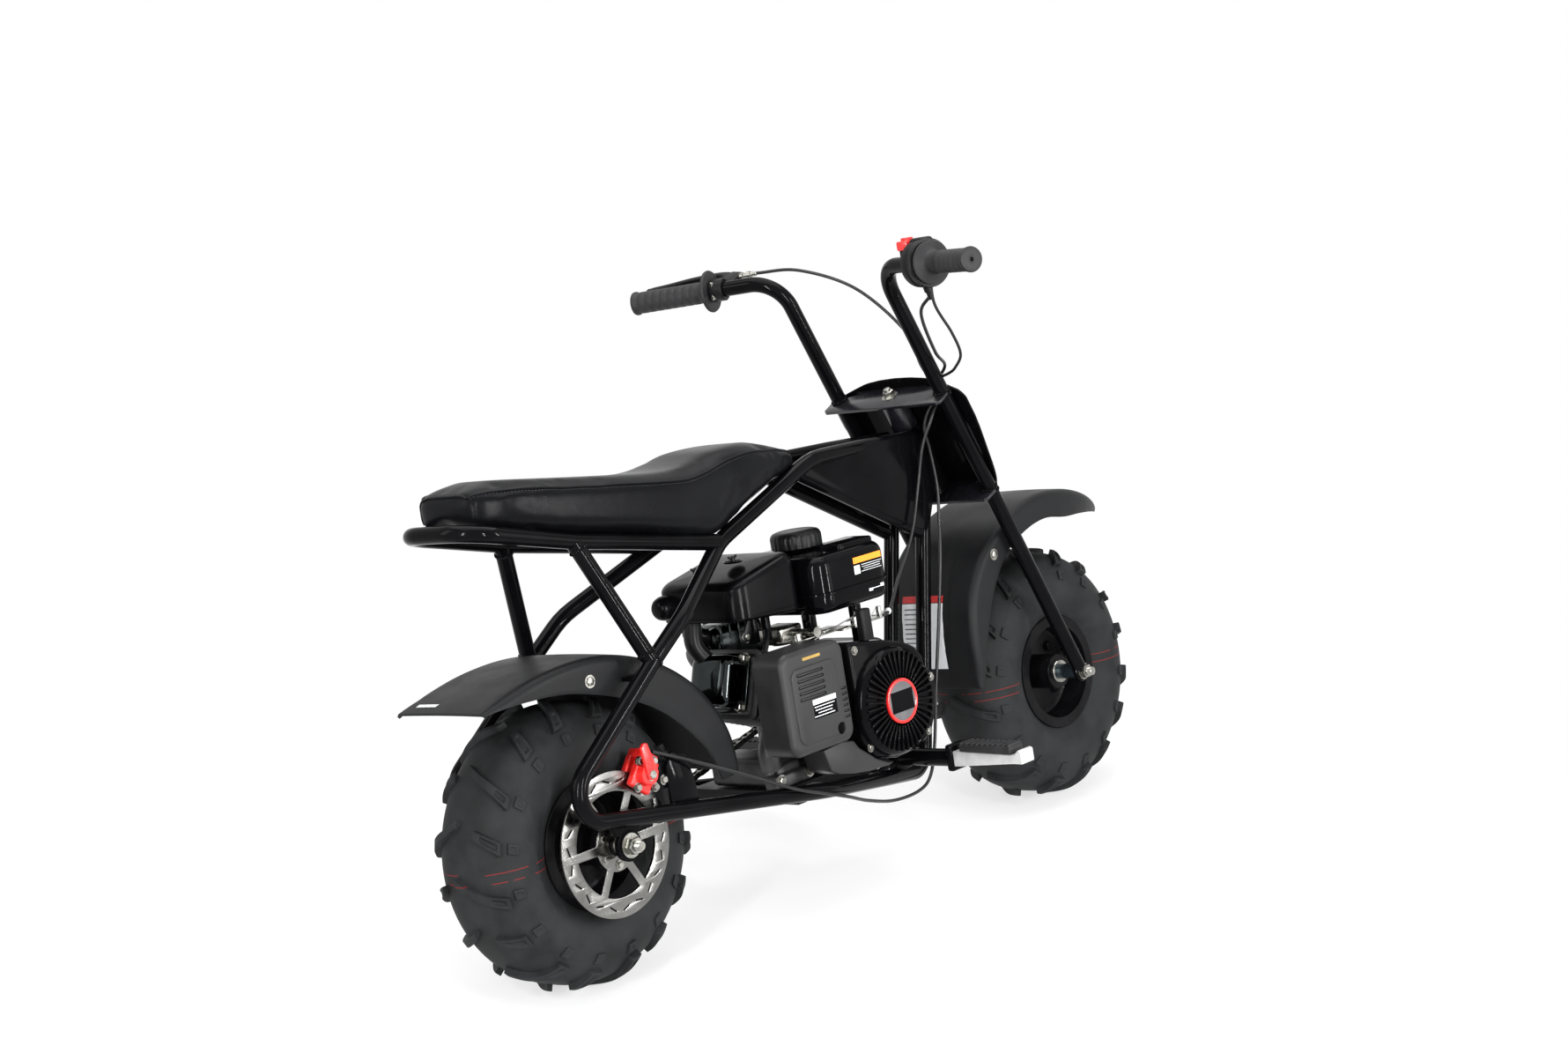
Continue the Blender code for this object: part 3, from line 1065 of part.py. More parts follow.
# Side stand. Its foot ends on the floor line that both leaned tyres make
bpy.context.view_layer.update()
turn = Matrix.Rotation(-LEAN, 3, "X")
floor = min(
    (turn @ Vector((v.co.x, v.co.y, v.co.z + AXLE_Z))).z
    for name in ("rear_tyre",) for v in bpy.data.objects[name].data.vertices
)
FOOT_T = 0.005
foot_z = (floor + FOOT_T / 2 + STAND_FOOT_Y * math.sin(LEAN)) / math.cos(LEAN)
foot = Vector((STAND_FOOT_X, STAND_FOOT_Y, foot_z))
down = Vector((0, math.sin(-LEAN), -math.cos(LEAN)))
foot_turn = Matrix.Rotation(LEAN, 3, "X")
under = box(foot + down * (FOOT_T / 2 + 0.015), (0.12, 0.12, 0.030), 0.0, foot_turn)
node("side_stand", "gloss",
     [tube([hinge(0.006, 0, 0), foot], 0.0085, 10),
      lathe_on([(0.0, 0.0125), (0.0095, 0.0125)], hinge(0, 0, -0.0050), STAND_AXIS, 20),
      box(foot, (0.050, 0.036, FOOT_T), 0.001, foot_turn)], "side_stand",
     cuts=[lathe_on([(-0.012, 0.0053), (0.020, 0.0053)], hinge(0, 0, 0), STAND_AXIS, 16),
           lathe_on([(-0.012, 0.0125), (0.0, 0.0125)], hinge(0, 0, -0.0052), STAND_AXIS, 16),
           lathe_on([(0.0, 0.0200), (0.020, 0.0200)], hinge(0, 0, 0.0047), STAND_AXIS, 16), under])
# The cutters are out of the scene by now, so they can go
bpy.context.view_layer.update()
for spare in [o for o in bpy.data.objects if not o.users_collection]:
    bpy.data.objects.remove(spare, do_unlink=True)

# Lean the bike onto its stand and centre it on the floor
ROOT.rotation_euler = (-LEAN, 0, 0)
bpy.context.view_layer.update()
corners = [o.matrix_world @ v.co for o in bpy.data.objects if o.type == "MESH" for v in o.data.vertices]
low = [min(c[i] for c in corners) for i in range(3)]
high = [max(c[i] for c in corners) for i in range(3)]
ROOT.location = (-(low[0] + high[0]) / 2, -(low[1] + high[1]) / 2, -low[2])
bpy.context.view_layer.update()
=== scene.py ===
# %% [markdown]
# A small off-road minibike leans on its side stand in a plain studio. The imported part is loaded first, as
# the fixed frame, before anything is built around it.

# %% Load the frame
import json
import math

import bpy
from mathutils import Matrix, Vector


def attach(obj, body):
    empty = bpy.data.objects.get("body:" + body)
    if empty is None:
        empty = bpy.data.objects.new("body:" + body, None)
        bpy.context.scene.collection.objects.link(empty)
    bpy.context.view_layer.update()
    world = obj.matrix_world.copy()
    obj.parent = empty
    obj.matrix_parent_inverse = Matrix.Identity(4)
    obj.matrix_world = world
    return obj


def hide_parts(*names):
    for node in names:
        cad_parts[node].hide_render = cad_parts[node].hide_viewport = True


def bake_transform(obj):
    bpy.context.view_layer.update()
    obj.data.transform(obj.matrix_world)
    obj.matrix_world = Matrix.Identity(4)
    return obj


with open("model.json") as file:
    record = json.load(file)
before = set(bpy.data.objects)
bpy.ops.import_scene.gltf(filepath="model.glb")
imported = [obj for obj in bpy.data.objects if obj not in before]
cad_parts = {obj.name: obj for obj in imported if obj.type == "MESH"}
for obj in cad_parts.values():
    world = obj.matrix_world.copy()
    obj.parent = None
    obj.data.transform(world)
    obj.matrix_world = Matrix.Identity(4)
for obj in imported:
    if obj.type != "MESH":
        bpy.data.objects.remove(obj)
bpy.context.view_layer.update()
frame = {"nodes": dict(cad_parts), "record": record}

# %% [markdown]
# The bike was laid out upright, with X forward, Y to the rider's left and the rear axle over x = 0, and then
# leaned onto its stand. All pieces below are modelled upright, which is easier to think about, and leaned
# when they are finished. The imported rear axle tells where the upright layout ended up.

# %% The lean
LEAN = math.radians(12.5)
TYRE_R = 0.190
WHEELBASE = 0.977
RAKE = math.radians(25.6)
joints = {j["name"]: j for j in frame["record"]["behaviour"]["joints"]}
rear_hub = Vector(joints["rear_wheel_spin"]["pos_m"])
LEANED = Matrix.Rotation(-LEAN, 4, "X")
BIKE = Matrix.Translation(rear_hub - LEANED @ Vector((0, 0, TYRE_R))) @ LEANED
AXIS = Vector((math.sin(RAKE), 0, -math.cos(RAKE)))
AHEAD = Vector((math.cos(RAKE), 0, math.sin(RAKE)))
HEAD = Vector((WHEELBASE - math.tan(RAKE) * (0.648 - TYRE_R), 0, 0.648))
print("rear hub", rear_hub, "steering head", BIKE @ HEAD)

# %% [markdown]
# The photograph was taken from behind the bike's right side with a medium tele lens, held a little askew. The
# eye point and the view's axes were measured on the wheels and the bars. A matrix is built from them
# because aiming at a target would lose the small roll.

# %% Camera
def camera():
    eye = Vector((-2.4236, -2.7845, 0.9561))
    ahead = Vector((0.71912, 0.68623, -0.10933)).normalized()
    roll = math.radians(-9.1371)
    side = ahead.cross(Vector((0, 0, 1))).normalized()
    above = side.cross(ahead)
    right = side * math.cos(roll) + above * math.sin(roll)
    up = above * math.cos(roll) - side * math.sin(roll)
    turn = Matrix((right, up, -ahead)).transposed().to_4x4()
    bpy.ops.object.camera_add()
    found = bpy.context.object
    found.data.sensor_width = 36
    found.data.lens = 66.88
    found.matrix_world = BIKE @ Matrix.Translation(eye) @ turn
    bpy.context.scene.camera = found
    return found


eye = camera()
print("camera at", eye.matrix_world.translation)

# %% [markdown]
# The bike stands in a white studio. The floor shows white to the camera, but stays a plain pale surface for
# the light, so that it keeps the shadow and does not glare on the paint.

# %% Studio
def rays_that_see(tree):
    """One where the camera, a mirror or glass looks, and nought where light falls."""
    paths = tree.nodes.new("ShaderNodeLightPath")
    found = paths.outputs["Is Camera Ray"]
    for other in ("Is Glossy Ray", "Is Transmission Ray"):
        either = tree.nodes.new("ShaderNodeMath")
        either.operation = "MAXIMUM"
        tree.links.new(found, either.inputs[0])
        tree.links.new(paths.outputs[other], either.inputs[1])
        found = either.outputs[0]
    return found


def floor_paper():
    """Pale paper that keeps the shadow near the bike and fades to white further away."""
    found = bpy.data.materials.new("floor_paper")
    found.use_nodes = True
    tree = found.node_tree
    shader = tree.nodes["Principled BSDF"]
    shader.inputs["Base Color"].default_value = (0.86, 0.86, 0.86, 1)
    shader.inputs["Roughness"].default_value = 0.9
    shader.inputs["Specular IOR Level"].default_value = 0.1
    place = tree.nodes.new("ShaderNodeTexCoord")
    length = tree.nodes.new("ShaderNodeVectorMath")
    length.operation = "LENGTH"
    tree.links.new(place.outputs["Object"], length.inputs[0])
    fade = tree.nodes.new("ShaderNodeMapRange")
    fade.interpolation_type = "SMOOTHSTEP"
    fade.inputs["From Min"].default_value = 0.35
    fade.inputs["From Max"].default_value = 1.5
    fade.inputs["To Min"].default_value = 0.55
    tree.links.new(length.outputs["Value"], fade.inputs["Value"])
    share = tree.nodes.new("ShaderNodeMath")
    share.operation = "MULTIPLY"
    tree.links.new(fade.outputs["Result"], share.inputs[0])
    tree.links.new(rays_that_see(tree), share.inputs[1])
    white = tree.nodes.new("ShaderNodeEmission")
    mix = tree.nodes.new("ShaderNodeMixShader")
    tree.links.new(share.outputs[0], mix.inputs[0])
    tree.links.new(shader.outputs[0], mix.inputs[1])
    tree.links.new(white.outputs[0], mix.inputs[2])
    tree.links.new(mix.outputs[0], tree.nodes["Material Output"].inputs["Surface"])
    return found


bpy.ops.object.select_all(action="DESELECT")
bpy.ops.mesh.primitive_plane_add(size=14, location=(0, 0, 0))
floor = bpy.context.object
floor.name = "studio_floor"
floor.data.materials.append(floor_paper())

world = bpy.data.worlds.new("studio")
bpy.context.scene.world = world
world.use_nodes = True
tree = world.node_tree
background = tree.nodes["Background"]
choose = tree.nodes.new("ShaderNodeMix")
choose.data_type = "FLOAT"
choose.inputs["A"].default_value = 0.55
choose.inputs["B"].default_value = 1.0
tree.links.new(rays_that_see(tree), choose.inputs["Factor"])
tree.links.new(choose.outputs["Result"], background.inputs["Strength"])
background.inputs["Color"].default_value = (1, 1, 1, 1)


def soft_box(name, place, target, size, power):
    bpy.ops.object.light_add(type="AREA", location=place)
    lamp = bpy.context.object
    lamp.name = name
    lamp.data.shape = "RECTANGLE"
    lamp.data.size, lamp.data.size_y = size
    lamp.data.energy = power
    lamp.rotation_euler = (Vector(target) - Vector(place)).to_track_quat("-Z", "Y").to_euler()
    return lamp


soft_box("top_light", (0.1, 0.2, 2.6), (0, 0, 0.4), (2.6, 2.2), 60)
soft_box("left_light", (-2.6, 1.2, 1.6), (0, 0, 0.4), (0.7, 2.0), 18)
soft_box("right_light", (1.8, -2.8, 1.3), (0, 0, 0.4), (0.8, 2.0), 12)
for name, place, power in (("strip_right", (-1.1, -2.8, 1.2), 80), ("strip_left", (-2.9, -1.1, 1.2), 60),
                           ("strip_far", (1.0, -3.0, 1.3), 60)):
    soft_box(name, place, (0, 0, 0.4), (0.07, 1.6), power)
bpy.context.scene.view_settings.view_transform = "Standard"

# %% [markdown]
# Every surface gets its own finish: a broad pattern varies the colour and the gloss as handling and dust do,
# and a fine one gives the grain that the fingers would feel. One helper builds both from noise, because the
# real finishes differ mostly in the size and strength of those two.

# %% Finishes
def finish(name, colour, metal=0.0, rough=0.4, grain=900.0, bump=0.05, patch=22.0, spread=0.2, coat=0.0,
           wear=0.08, pattern="NOISE", sheen=0.0, mirror=0.5):
    found = bpy.data.materials.new(name)
    found.use_nodes = True
    found.diffuse_color = (*colour, 1)
    tree = found.node_tree
    shader = tree.nodes["Principled BSDF"]
    shader.inputs["Metallic"].default_value = metal
    shader.inputs["Coat Weight"].default_value = coat
    shader.inputs["Coat Roughness"].default_value = 0.08
    shader.inputs["Sheen Weight"].default_value = sheen
    shader.inputs["Specular IOR Level"].default_value = mirror
    place = tree.nodes.new("ShaderNodeTexCoord")
    broad = tree.nodes.new("ShaderNodeTexNoise")
    broad.inputs["Scale"].default_value = patch
    broad.inputs["Detail"].default_value = 4
    tree.links.new(place.outputs["Object"], broad.inputs["Vector"])
    tones = tree.nodes.new("ShaderNodeValToRGB")
    tones.color_ramp.elements[0].position = 0.35
    tones.color_ramp.elements[0].color = (*[c * (1 - spread) for c in colour], 1)
    tones.color_ramp.elements[1].position = 0.68
    tones.color_ramp.elements[1].color = (*[min(1, c * (1 + spread) + 0.002 * spread) for c in colour], 1)
    tree.links.new(broad.outputs["Fac"], tones.inputs["Fac"])
    tree.links.new(tones.outputs["Color"], shader.inputs["Base Color"])
    gloss = tree.nodes.new("ShaderNodeMapRange")
    gloss.inputs["From Min"].default_value = 0.3
    gloss.inputs["From Max"].default_value = 0.7
    gloss.inputs["To Min"].default_value = max(0.03, rough - wear)
    gloss.inputs["To Max"].default_value = min(1.0, rough + wear)
    tree.links.new(broad.outputs["Fac"], gloss.inputs["Value"])
    tree.links.new(gloss.outputs["Result"], shader.inputs["Roughness"])
    if pattern == "CELLS":
        fine = tree.nodes.new("ShaderNodeTexVoronoi")
        fine.feature = "DISTANCE_TO_EDGE"
        fine.inputs["Scale"].default_value = grain
        height = fine.outputs["Distance"]
    else:
        fine = tree.nodes.new("ShaderNodeTexNoise")
        fine.inputs["Scale"].default_value = grain
        fine.inputs["Detail"].default_value = 3
        height = fine.outputs["Fac"]
    tree.links.new(place.outputs["Object"], fine.inputs["Vector"])
    relief = tree.nodes.new("ShaderNodeBump")
    relief.inputs["Strength"].default_value = bump
    relief.inputs["Distance"].default_value = 0.001
    tree.links.new(height, relief.inputs["Height"])
    tree.links.new(relief.outputs["Normal"], shader.inputs["Normal"])
    return found


FINISHES = {
    "gloss_paint": finish("gloss_paint", (0.0018, 0.0018, 0.0022), 0, 0.1, 500, 0.02, 18, 0.2, 0, 0.03,
                          mirror=0.06),
    "satin_paint": finish("satin_paint", (0.004, 0.004, 0.0045), 0, 0.38, 900, 0.06, 22, 0.2, mirror=0.12),
    "rim_paint": finish("rim_paint", (0.003, 0.003, 0.0035), 0, 0.22, 700, 0.05, 26, 0.3, mirror=0.08),
    "mould_plastic": finish("mould_plastic", (0.0042, 0.0044, 0.0050), 0, 0.46, 1900, 0.16, 14, 0.18,
                            mirror=0.16),
    "tyre_rubber": finish("tyre_rubber", (0.0110, 0.0115, 0.0122), 0, 0.66, 800, 0.22, 26, 0.35, 0, 0.1,
                          mirror=0.15),
    "seat_vinyl": finish("seat_vinyl", (0.0028, 0.0029, 0.0036), 0, 0.30, 620, 0.14, 9, 0.2, 0, 0.04,
                         "CELLS", mirror=0.07),
    "stitch_thread": finish("stitch_thread", (0.03, 0.03, 0.032), 0, 0.7, 2500, 0.4, 60, 0.3, mirror=0.2),
    "disc_steel": finish("disc_steel", (0.20, 0.198, 0.19), 1, 0.24, 1500, 0.10, 40, 0.12, 0, 0.06),
    "zinc_plate": finish("zinc_plate", (0.30, 0.295, 0.27), 1, 0.26, 700, 0.06, 80, 0.15),
    "cast_metal": finish("cast_metal", (0.055, 0.055, 0.056), 0.85, 0.46, 900, 0.30, 40, 0.25),
    "dark_chrome": finish("dark_chrome", (0.034, 0.038, 0.038), 1, 0.1, 300, 0.02, 30, 0.15, 0, 0.05),
    "red_enamel": finish("red_enamel", (0.62, 0.012, 0.010), 0, 0.30, 700, 0.10, 60, 0.18, 0.3),
    "silver_paint": finish("silver_paint", (0.50, 0.50, 0.50), 0.4, 0.40, 900, 0.12, 60, 0.10),
    "black_plastic": finish("black_plastic", (0.0045, 0.0045, 0.005), 0, 0.36, 1300, 0.10, 30, 0.2,
                            mirror=0.14),
    "box_paint": finish("box_paint", (0.0016, 0.0016, 0.0020), 0, 0.20, 1400, 0.06, 16, 0.2, mirror=0.07),
    "cover_plastic": finish("cover_plastic", (0.013, 0.013, 0.0134), 0, 0.42, 1700, 0.16, 18, 0.15,
                            mirror=0.3),
    "badge_grey": finish("badge_grey", (0.10, 0.10, 0.105), 0.3, 0.35, 900, 0.05, 40, 0.2),
    "label_orange": finish("label_orange", (0.75, 0.24, 0.01), 0, 0.40, 900, 0.03, 60, 0.06, mirror=0.4),
    "label_amber": finish("label_amber", (0.30, 0.19, 0.04), 0, 0.45, 900, 0.03, 60, 0.1, mirror=0.4),
    "label_white": finish("label_white", (0.60, 0.61, 0.62), 0, 0.45, 900, 0.03, 60, 0.05, mirror=0.4),
    "label_red": finish("label_red", (0.45, 0.02, 0.02), 0, 0.45, 900, 0.03, 60, 0.08, mirror=0.4),
    "tank_gloss": finish("tank_gloss", (0.0012, 0.0012, 0.0016), 0, 0.07, 400, 0.008, 12, 0.2, mirror=0.08),
    "plate_paint": finish("plate_paint", (0.006, 0.006, 0.008), 0, 0.24, 600, 0.04, 30, 0.2, mirror=0.5),
    "cable_sheath": finish("cable_sheath", (0.007, 0.007, 0.0075), 0, 0.34, 900, 0.04, 40, 0.2, mirror=0.3),
    "spacer_steel": finish("spacer_steel", (0.06, 0.085, 0.10), 0.85, 0.30, 900, 0.06, 60, 0.25),
    "bright_zinc": finish("bright_zinc", (0.60, 0.60, 0.58), 1, 0.22, 700, 0.04, 80, 0.12),
    "grip_rubber": finish("grip_rubber", (0.010, 0.010, 0.011), 0, 0.55, 900, 0.25, 40, 0.3, mirror=0.3),
}


def mould_lines(material):
    """Two thin dark red lines round the tread's middle, as the mould's parting leaves, worn off in places."""
    tree = material.node_tree
    shader = tree.nodes["Principled BSDF"]
    paint = shader.inputs["Base Color"].links[0].from_socket

    def math_node(operation, first, second=0.0):
        found = tree.nodes.new("ShaderNodeMath")
        found.operation = operation
        tree.links.new(first, found.inputs[0])
        if isinstance(second, float):
            found.inputs[1].default_value = second
        else:
            tree.links.new(second, found.inputs[1])
        return found.outputs[0]

    across = tree.nodes.new("ShaderNodeAttribute")
    across.attribute_name = "across"
    off = math_node("ABSOLUTE", math_node("SUBTRACT", math_node("ABSOLUTE", across.outputs["Fac"]), 0.006))
    worn = tree.nodes.new("ShaderNodeTexNoise")
    worn.inputs["Scale"].default_value = 30
    place = tree.nodes.new("ShaderNodeTexCoord")
    tree.links.new(place.outputs["Object"], worn.inputs["Vector"])
    share = math_node("MULTIPLY", math_node("LESS_THAN", off, 0.0006),
                      math_node("MULTIPLY", math_node("GREATER_THAN", worn.outputs["Fac"], 0.47), 0.7))
    blend = tree.nodes.new("ShaderNodeMix")
    blend.data_type = "RGBA"
    tree.links.new(share, blend.inputs["Factor"])
    tree.links.new(paint, blend.inputs[6])
    blend.inputs[7].default_value = (0.16, 0.008, 0.008, 1)
    tree.links.new(blend.outputs[2], shader.inputs["Base Color"])


mould_lines(FINISHES["tyre_rubber"])
WEARS = {
    "gloss_paint": "main_tube_left main_tube_right lower_rail_left lower_rail_right down_tube_left "
                   "down_tube_right strut_left strut_right seat_hoop head_tube footpeg_bar starter_housing "
                   "air_cleaner fuel_tank fork_leg_left fork_leg_right fork_stem side_stand",
    "satin_paint": "engine_plate number_board",
    "rim_paint": "front_rim rear_rim",
    "mould_plastic": "front_fender rear_fender side_cover lower_cover",
    "tyre_rubber": "front_tyre rear_tyre",
    "seat_vinyl": "seat",
    "disc_steel": "brake_disc rear_sprocket drive_chain clutch",
    "zinc_plate": "rear_axle front_axle carburettor",
    "cast_metal": "engine_case",
    "dark_chrome": "rocker_cover muffler",
    "red_enamel": "brake_caliper kill_switch starter_badge",
    "silver_paint": "footpeg_left footpeg_right",
    "black_plastic": "fuel_cap throttle_housing brake_lever starter_grip brake_cable_upper brake_cable_lower "
                     "throttle_cable_upper throttle_cable_lower",
    "grip_rubber": "grip_left grip_right peg_pad_left peg_pad_right",
}
for named, listed in WEARS.items():
    for node in listed.split():
        cad = frame["nodes"][node]
        cad.data.materials.clear()
        cad.data.materials.append(FINISHES[named])
print(len(FINISHES), "finishes on", sum(len(v.split()) for v in WEARS.values()), "nodes")


# %% [markdown]
# Every new piece is made the way a hand would make it: a primitive or a drawn line is placed, shaped in edit
# mode and finished with modifiers. A few small tools do the steps that come back on every piece. They first
# put everything down, because an operator acts on all that is selected.

# %% Hand tools
def hands_free():
    if bpy.context.object and bpy.context.object.mode != "OBJECT":
        bpy.ops.object.mode_set(mode="OBJECT")
    bpy.ops.object.select_all(action="DESELECT")


def take(piece):
    hands_free()
    piece.select_set(True)
    bpy.context.view_layer.objects.active = piece
    return piece


def work_on(piece, part="VERT"):
    """Opens the piece in edit mode with everything selected."""
    take(piece)
    bpy.ops.object.mode_set(mode="EDIT")
    bpy.ops.mesh.select_mode(type=part)
    bpy.ops.mesh.select_all(action="SELECT")


def close_up(piece):
    """Merges doubles and turns all faces outwards."""
    work_on(piece)
    bpy.ops.mesh.remove_doubles(threshold=1e-5)
    bpy.ops.mesh.normals_make_consistent(inside=False)
    bpy.ops.object.mode_set(mode="OBJECT")
    return piece


def use(piece, kind, **settings):
    """Puts a modifier on the piece and applies it."""
    take(piece)
    step = piece.modifiers.new(kind.title(), kind)
    for key, value in settings.items():
        setattr(step, key, value)
    bpy.ops.object.modifier_apply(modifier=step.name)
    return piece


def soften(piece, width, segments=2, degrees=32):
    return use(piece, "BEVEL", width=width, segments=segments, limit_method="ANGLE",
               angle_limit=math.radians(degrees), use_clamp_overlap=True)


def weld_to(piece, *others):
    take(piece)
    for other in others:
        other.select_set(True)
    bpy.ops.object.join()
    return piece


def settle(piece, name, surface, body, *nodes, smooth=35):
    """Leans a piece with the bike, gives it its surface and its body, and hides what it stands for."""
    piece.name = piece.data.name = name
    take(piece)
    piece.matrix_world = BIKE @ piece.matrix_world
    bpy.ops.object.transform_apply(location=True, rotation=True, scale=True)
    if smooth:
        bpy.ops.object.shade_smooth_by_angle(angle=math.radians(smooth))
    piece.data.materials.clear()
    piece.data.materials.append(FINISHES[surface] if isinstance(surface, str) else surface)
    if body:
        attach(piece, body)
    if nodes:
        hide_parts(*nodes)
    hands_free()
    return piece


def block(middle, size, bevel=0.0, segments=2, turn=None):
    hands_free()
    bpy.ops.mesh.primitive_cube_add(size=1, location=middle)
    piece = bpy.context.object
    piece.scale = size
    if turn:
        piece.rotation_euler = turn
    bpy.ops.object.transform_apply(location=False, rotation=False, scale=True)
    if bevel:
        use(piece, "BEVEL", width=bevel, segments=segments)
    return piece


def turned(profile, origin, direction=(0, 1, 0), steps=48):
    """A turned shape: (along, radius) points are drawn as a line and spun about the axis."""
    hands_free()
    bpy.ops.mesh.primitive_circle_add(vertices=3, radius=0.01)
    piece = bpy.context.object
    bpy.ops.object.mode_set(mode="EDIT")
    bpy.ops.mesh.select_all(action="SELECT")
    bpy.ops.mesh.merge(type="CENTER")
    last = Vector((0, 0, 0))
    start = Vector((profile[0][1], 0, profile[0][0]))
    bpy.ops.transform.translate(value=start - last)
    last = start
    for along, radius in profile[1:]:
        point = Vector((radius, 0, along))
        bpy.ops.mesh.extrude_region_move(TRANSFORM_OT_translate={"value": point - last})
        last = point
    bpy.ops.mesh.select_all(action="SELECT")
    bpy.ops.mesh.spin(steps=steps, angle=2 * math.pi, center=(0, 0, 0), axis=(0, 0, 1))
    bpy.ops.object.mode_set(mode="OBJECT")
    close_up(piece)
    piece.rotation_mode = "QUATERNION"
    piece.rotation_quaternion = Vector((0, 0, 1)).rotation_difference(Vector(direction).normalized())
    piece.location = origin
    return piece


def slab(outline, low, high, plane="XZ"):
    """An outline is filled and pulled through its thickness."""
    lift = {"XZ": Vector((0, 1, 0)), "XY": Vector((0, 0, 1)), "YZ": Vector((1, 0, 0))}[plane]
    hands_free()
    bpy.ops.mesh.primitive_circle_add(vertices=len(outline), fill_type="NGON")
    piece = bpy.context.object
    for corner, (u, v) in zip(piece.data.vertices, outline):
        corner.co = {"XZ": (u, low, v), "XY": (u, v, low), "YZ": (low, u, v)}[plane]
    work_on(piece)
    bpy.ops.mesh.extrude_region_move(TRANSFORM_OT_translate={"value": lift * (high - low)})
    bpy.ops.object.mode_set(mode="OBJECT")
    return close_up(piece)


def skin(rule, along, around, capped=True):
    """A sheet of squares whose corners are placed by a rule of two shares, then joined where they meet."""
    hands_free()
    bpy.ops.mesh.primitive_grid_add(x_subdivisions=along, y_subdivisions=around, size=2)
    piece = bpy.context.object
    for corner in piece.data.vertices:
        corner.co = rule((corner.co.x + 1) / 2, (corner.co.y + 1) / 2)
    work_on(piece)
    bpy.ops.mesh.remove_doubles(threshold=1e-6)
    if capped:
        bpy.ops.mesh.select_all(action="DESELECT")
        bpy.ops.mesh.select_non_manifold()
        bpy.ops.mesh.fill_holes(sides=0)
        bpy.ops.mesh.select_all(action="SELECT")
    bpy.ops.mesh.normals_make_consistent(inside=False)
    bpy.ops.object.mode_set(mode="OBJECT")
    return piece


def bar(points, radius, sides=24, caps=True):
    """A round bar: the path is drawn as a curve, given its thickness and made a mesh."""
    hands_free()
    bpy.ops.curve.primitive_nurbs_path_add()
    line = bpy.context.object
    line.data.splines.clear()
    spline = line.data.splines.new("POLY")
    spline.points.add(len(points) - 1)
    for knot, point in zip(spline.points, points):
        knot.co = (*point, 1)
    line.data.bevel_depth = radius
    line.data.bevel_resolution = (sides - 4) // 2
    line.data.use_fill_caps = caps
    line.location = (0, 0, 0)
    bpy.ops.object.convert(target="MESH")
    return close_up(bpy.context.object)


def rounded(path, radii, step=0.12):
    """The path with each inner corner bent to its radius."""
    path = [Vector(p) for p in path]
    out = [path[0]]
    for i, radius in enumerate(radii, 1):
        here = path[i]
        back, on = (path[i - 1] - here).normalized(), (path[i + 1] - here).normalized()
        angle = back.angle(on)
        reach = min(radius / math.tan(angle / 2), 0.48 * (path[i - 1] - here).length,
                    0.48 * (path[i + 1] - here).length)
        middle = here + (back + on).normalized() * reach / math.cos(angle / 2)
        first, last = here + back * reach - middle, here + on * reach - middle
        sweep = math.pi - angle
        count = max(3, round(sweep / step))
        for k in range(count + 1):
            share = k / count
            out.append(middle + (first * math.sin((1 - share) * sweep) + last * math.sin(share * sweep))
                       / math.sin(sweep))
    return out + [path[-1]]


def smooth_through(points, count):
    """Points at even steps on one smooth curve through the given ones."""
    points = [Vector(p) for p in points]
    ends = [points[0] * 2 - points[1]] + points + [points[-1] * 2 - points[-2]]
    fine = []
    for a, b, c, d in zip(ends, ends[1:], ends[2:], ends[3:]):
        for k in range(24):
            t = k / 24
            fine.append((b * 2 + (c - a) * t + (a * 2 - b * 5 + c * 4 - d) * t * t
                         + (b * 3 - a - c * 3 + d) * t ** 3) / 2)
    fine.append(points[-1])
    run = [0.0]
    for a, b in zip(fine, fine[1:]):
        run.append(run[-1] + (b - a).length)
    found, i = [], 0
    for k in range(count):
        at = run[-1] * k / (count - 1)
        while i < len(fine) - 2 and run[i + 1] < at:
            i += 1
        found.append(fine[i].lerp(fine[i + 1], min(1, (at - run[i]) / max(run[i + 1] - run[i], 1e-9))))
    return found


def bolt(place, direction, radius=0.006, tall=0.005, washer=0.0):
    """A hexagon head with its chamfer, on a washer if it has one."""
    direction = Vector(direction).normalized()
    head = turned([(-0.001, 0), (-0.001, radius), (tall * 0.85, radius), (tall, radius * 0.82), (tall, 0)],
                  place, direction, 6)
    if washer:
        weld_to(head, turned([(-0.001, 0), (-0.001, washer), (0.0010, washer), (0.0010, 0)], place,
                             direction, 24))
    return head


def flip(points):
    return [(p[0], -p[1], p[2]) for p in points]


print("hand tools ready")

# %% [markdown]
# The frame is bent from round steel tube and painted gloss black. A poly curve with arcs at its corners is
# the digital tube bender: the bends keep their radius and the tube its thickness. The two sides are mirror
# images.

# %% Frame tubes
TUBE_R = 0.0111
RAIL_Y = 0.117
UPPER = rounded([(0.770, -0.030, 0.586), (0.640, -0.031, 0.593), (0.520, -0.044, 0.596),
                 (0.303, -0.0594, 0.5215), (0.161, -RAIL_Y, 0.452), (0.092, -RAIL_Y, 0.405)],
                 [0.25, 0.16, 0.12, 0.10])
LOWER = rounded([(0.0915, -RAIL_Y, 0.4046), (-0.124, -RAIL_Y, 0.2440), (0.370, -RAIL_Y, 0.1645),
                 (0.560, -0.063, 0.1325)], [0.038, 0.15])
DOWN = rounded([(0.5605, -0.0629, 0.1325), (0.669, -0.032, 0.1145), (0.768, -0.030, 0.535)], [0.040])
HOOP = rounded([(0.292, -0.068, 0.5225), (0.039, -0.068, 0.5735), (-0.131, -0.068, 0.6165),
                (-0.131, 0.068, 0.6165), (0.039, 0.068, 0.5735), (0.292, 0.068, 0.5225)],
                [0.3, 0.045, 0.045, 0.3])
STRUT = [(0.037, -0.068, 0.5726), (0.0915, -0.1165, 0.4050)]
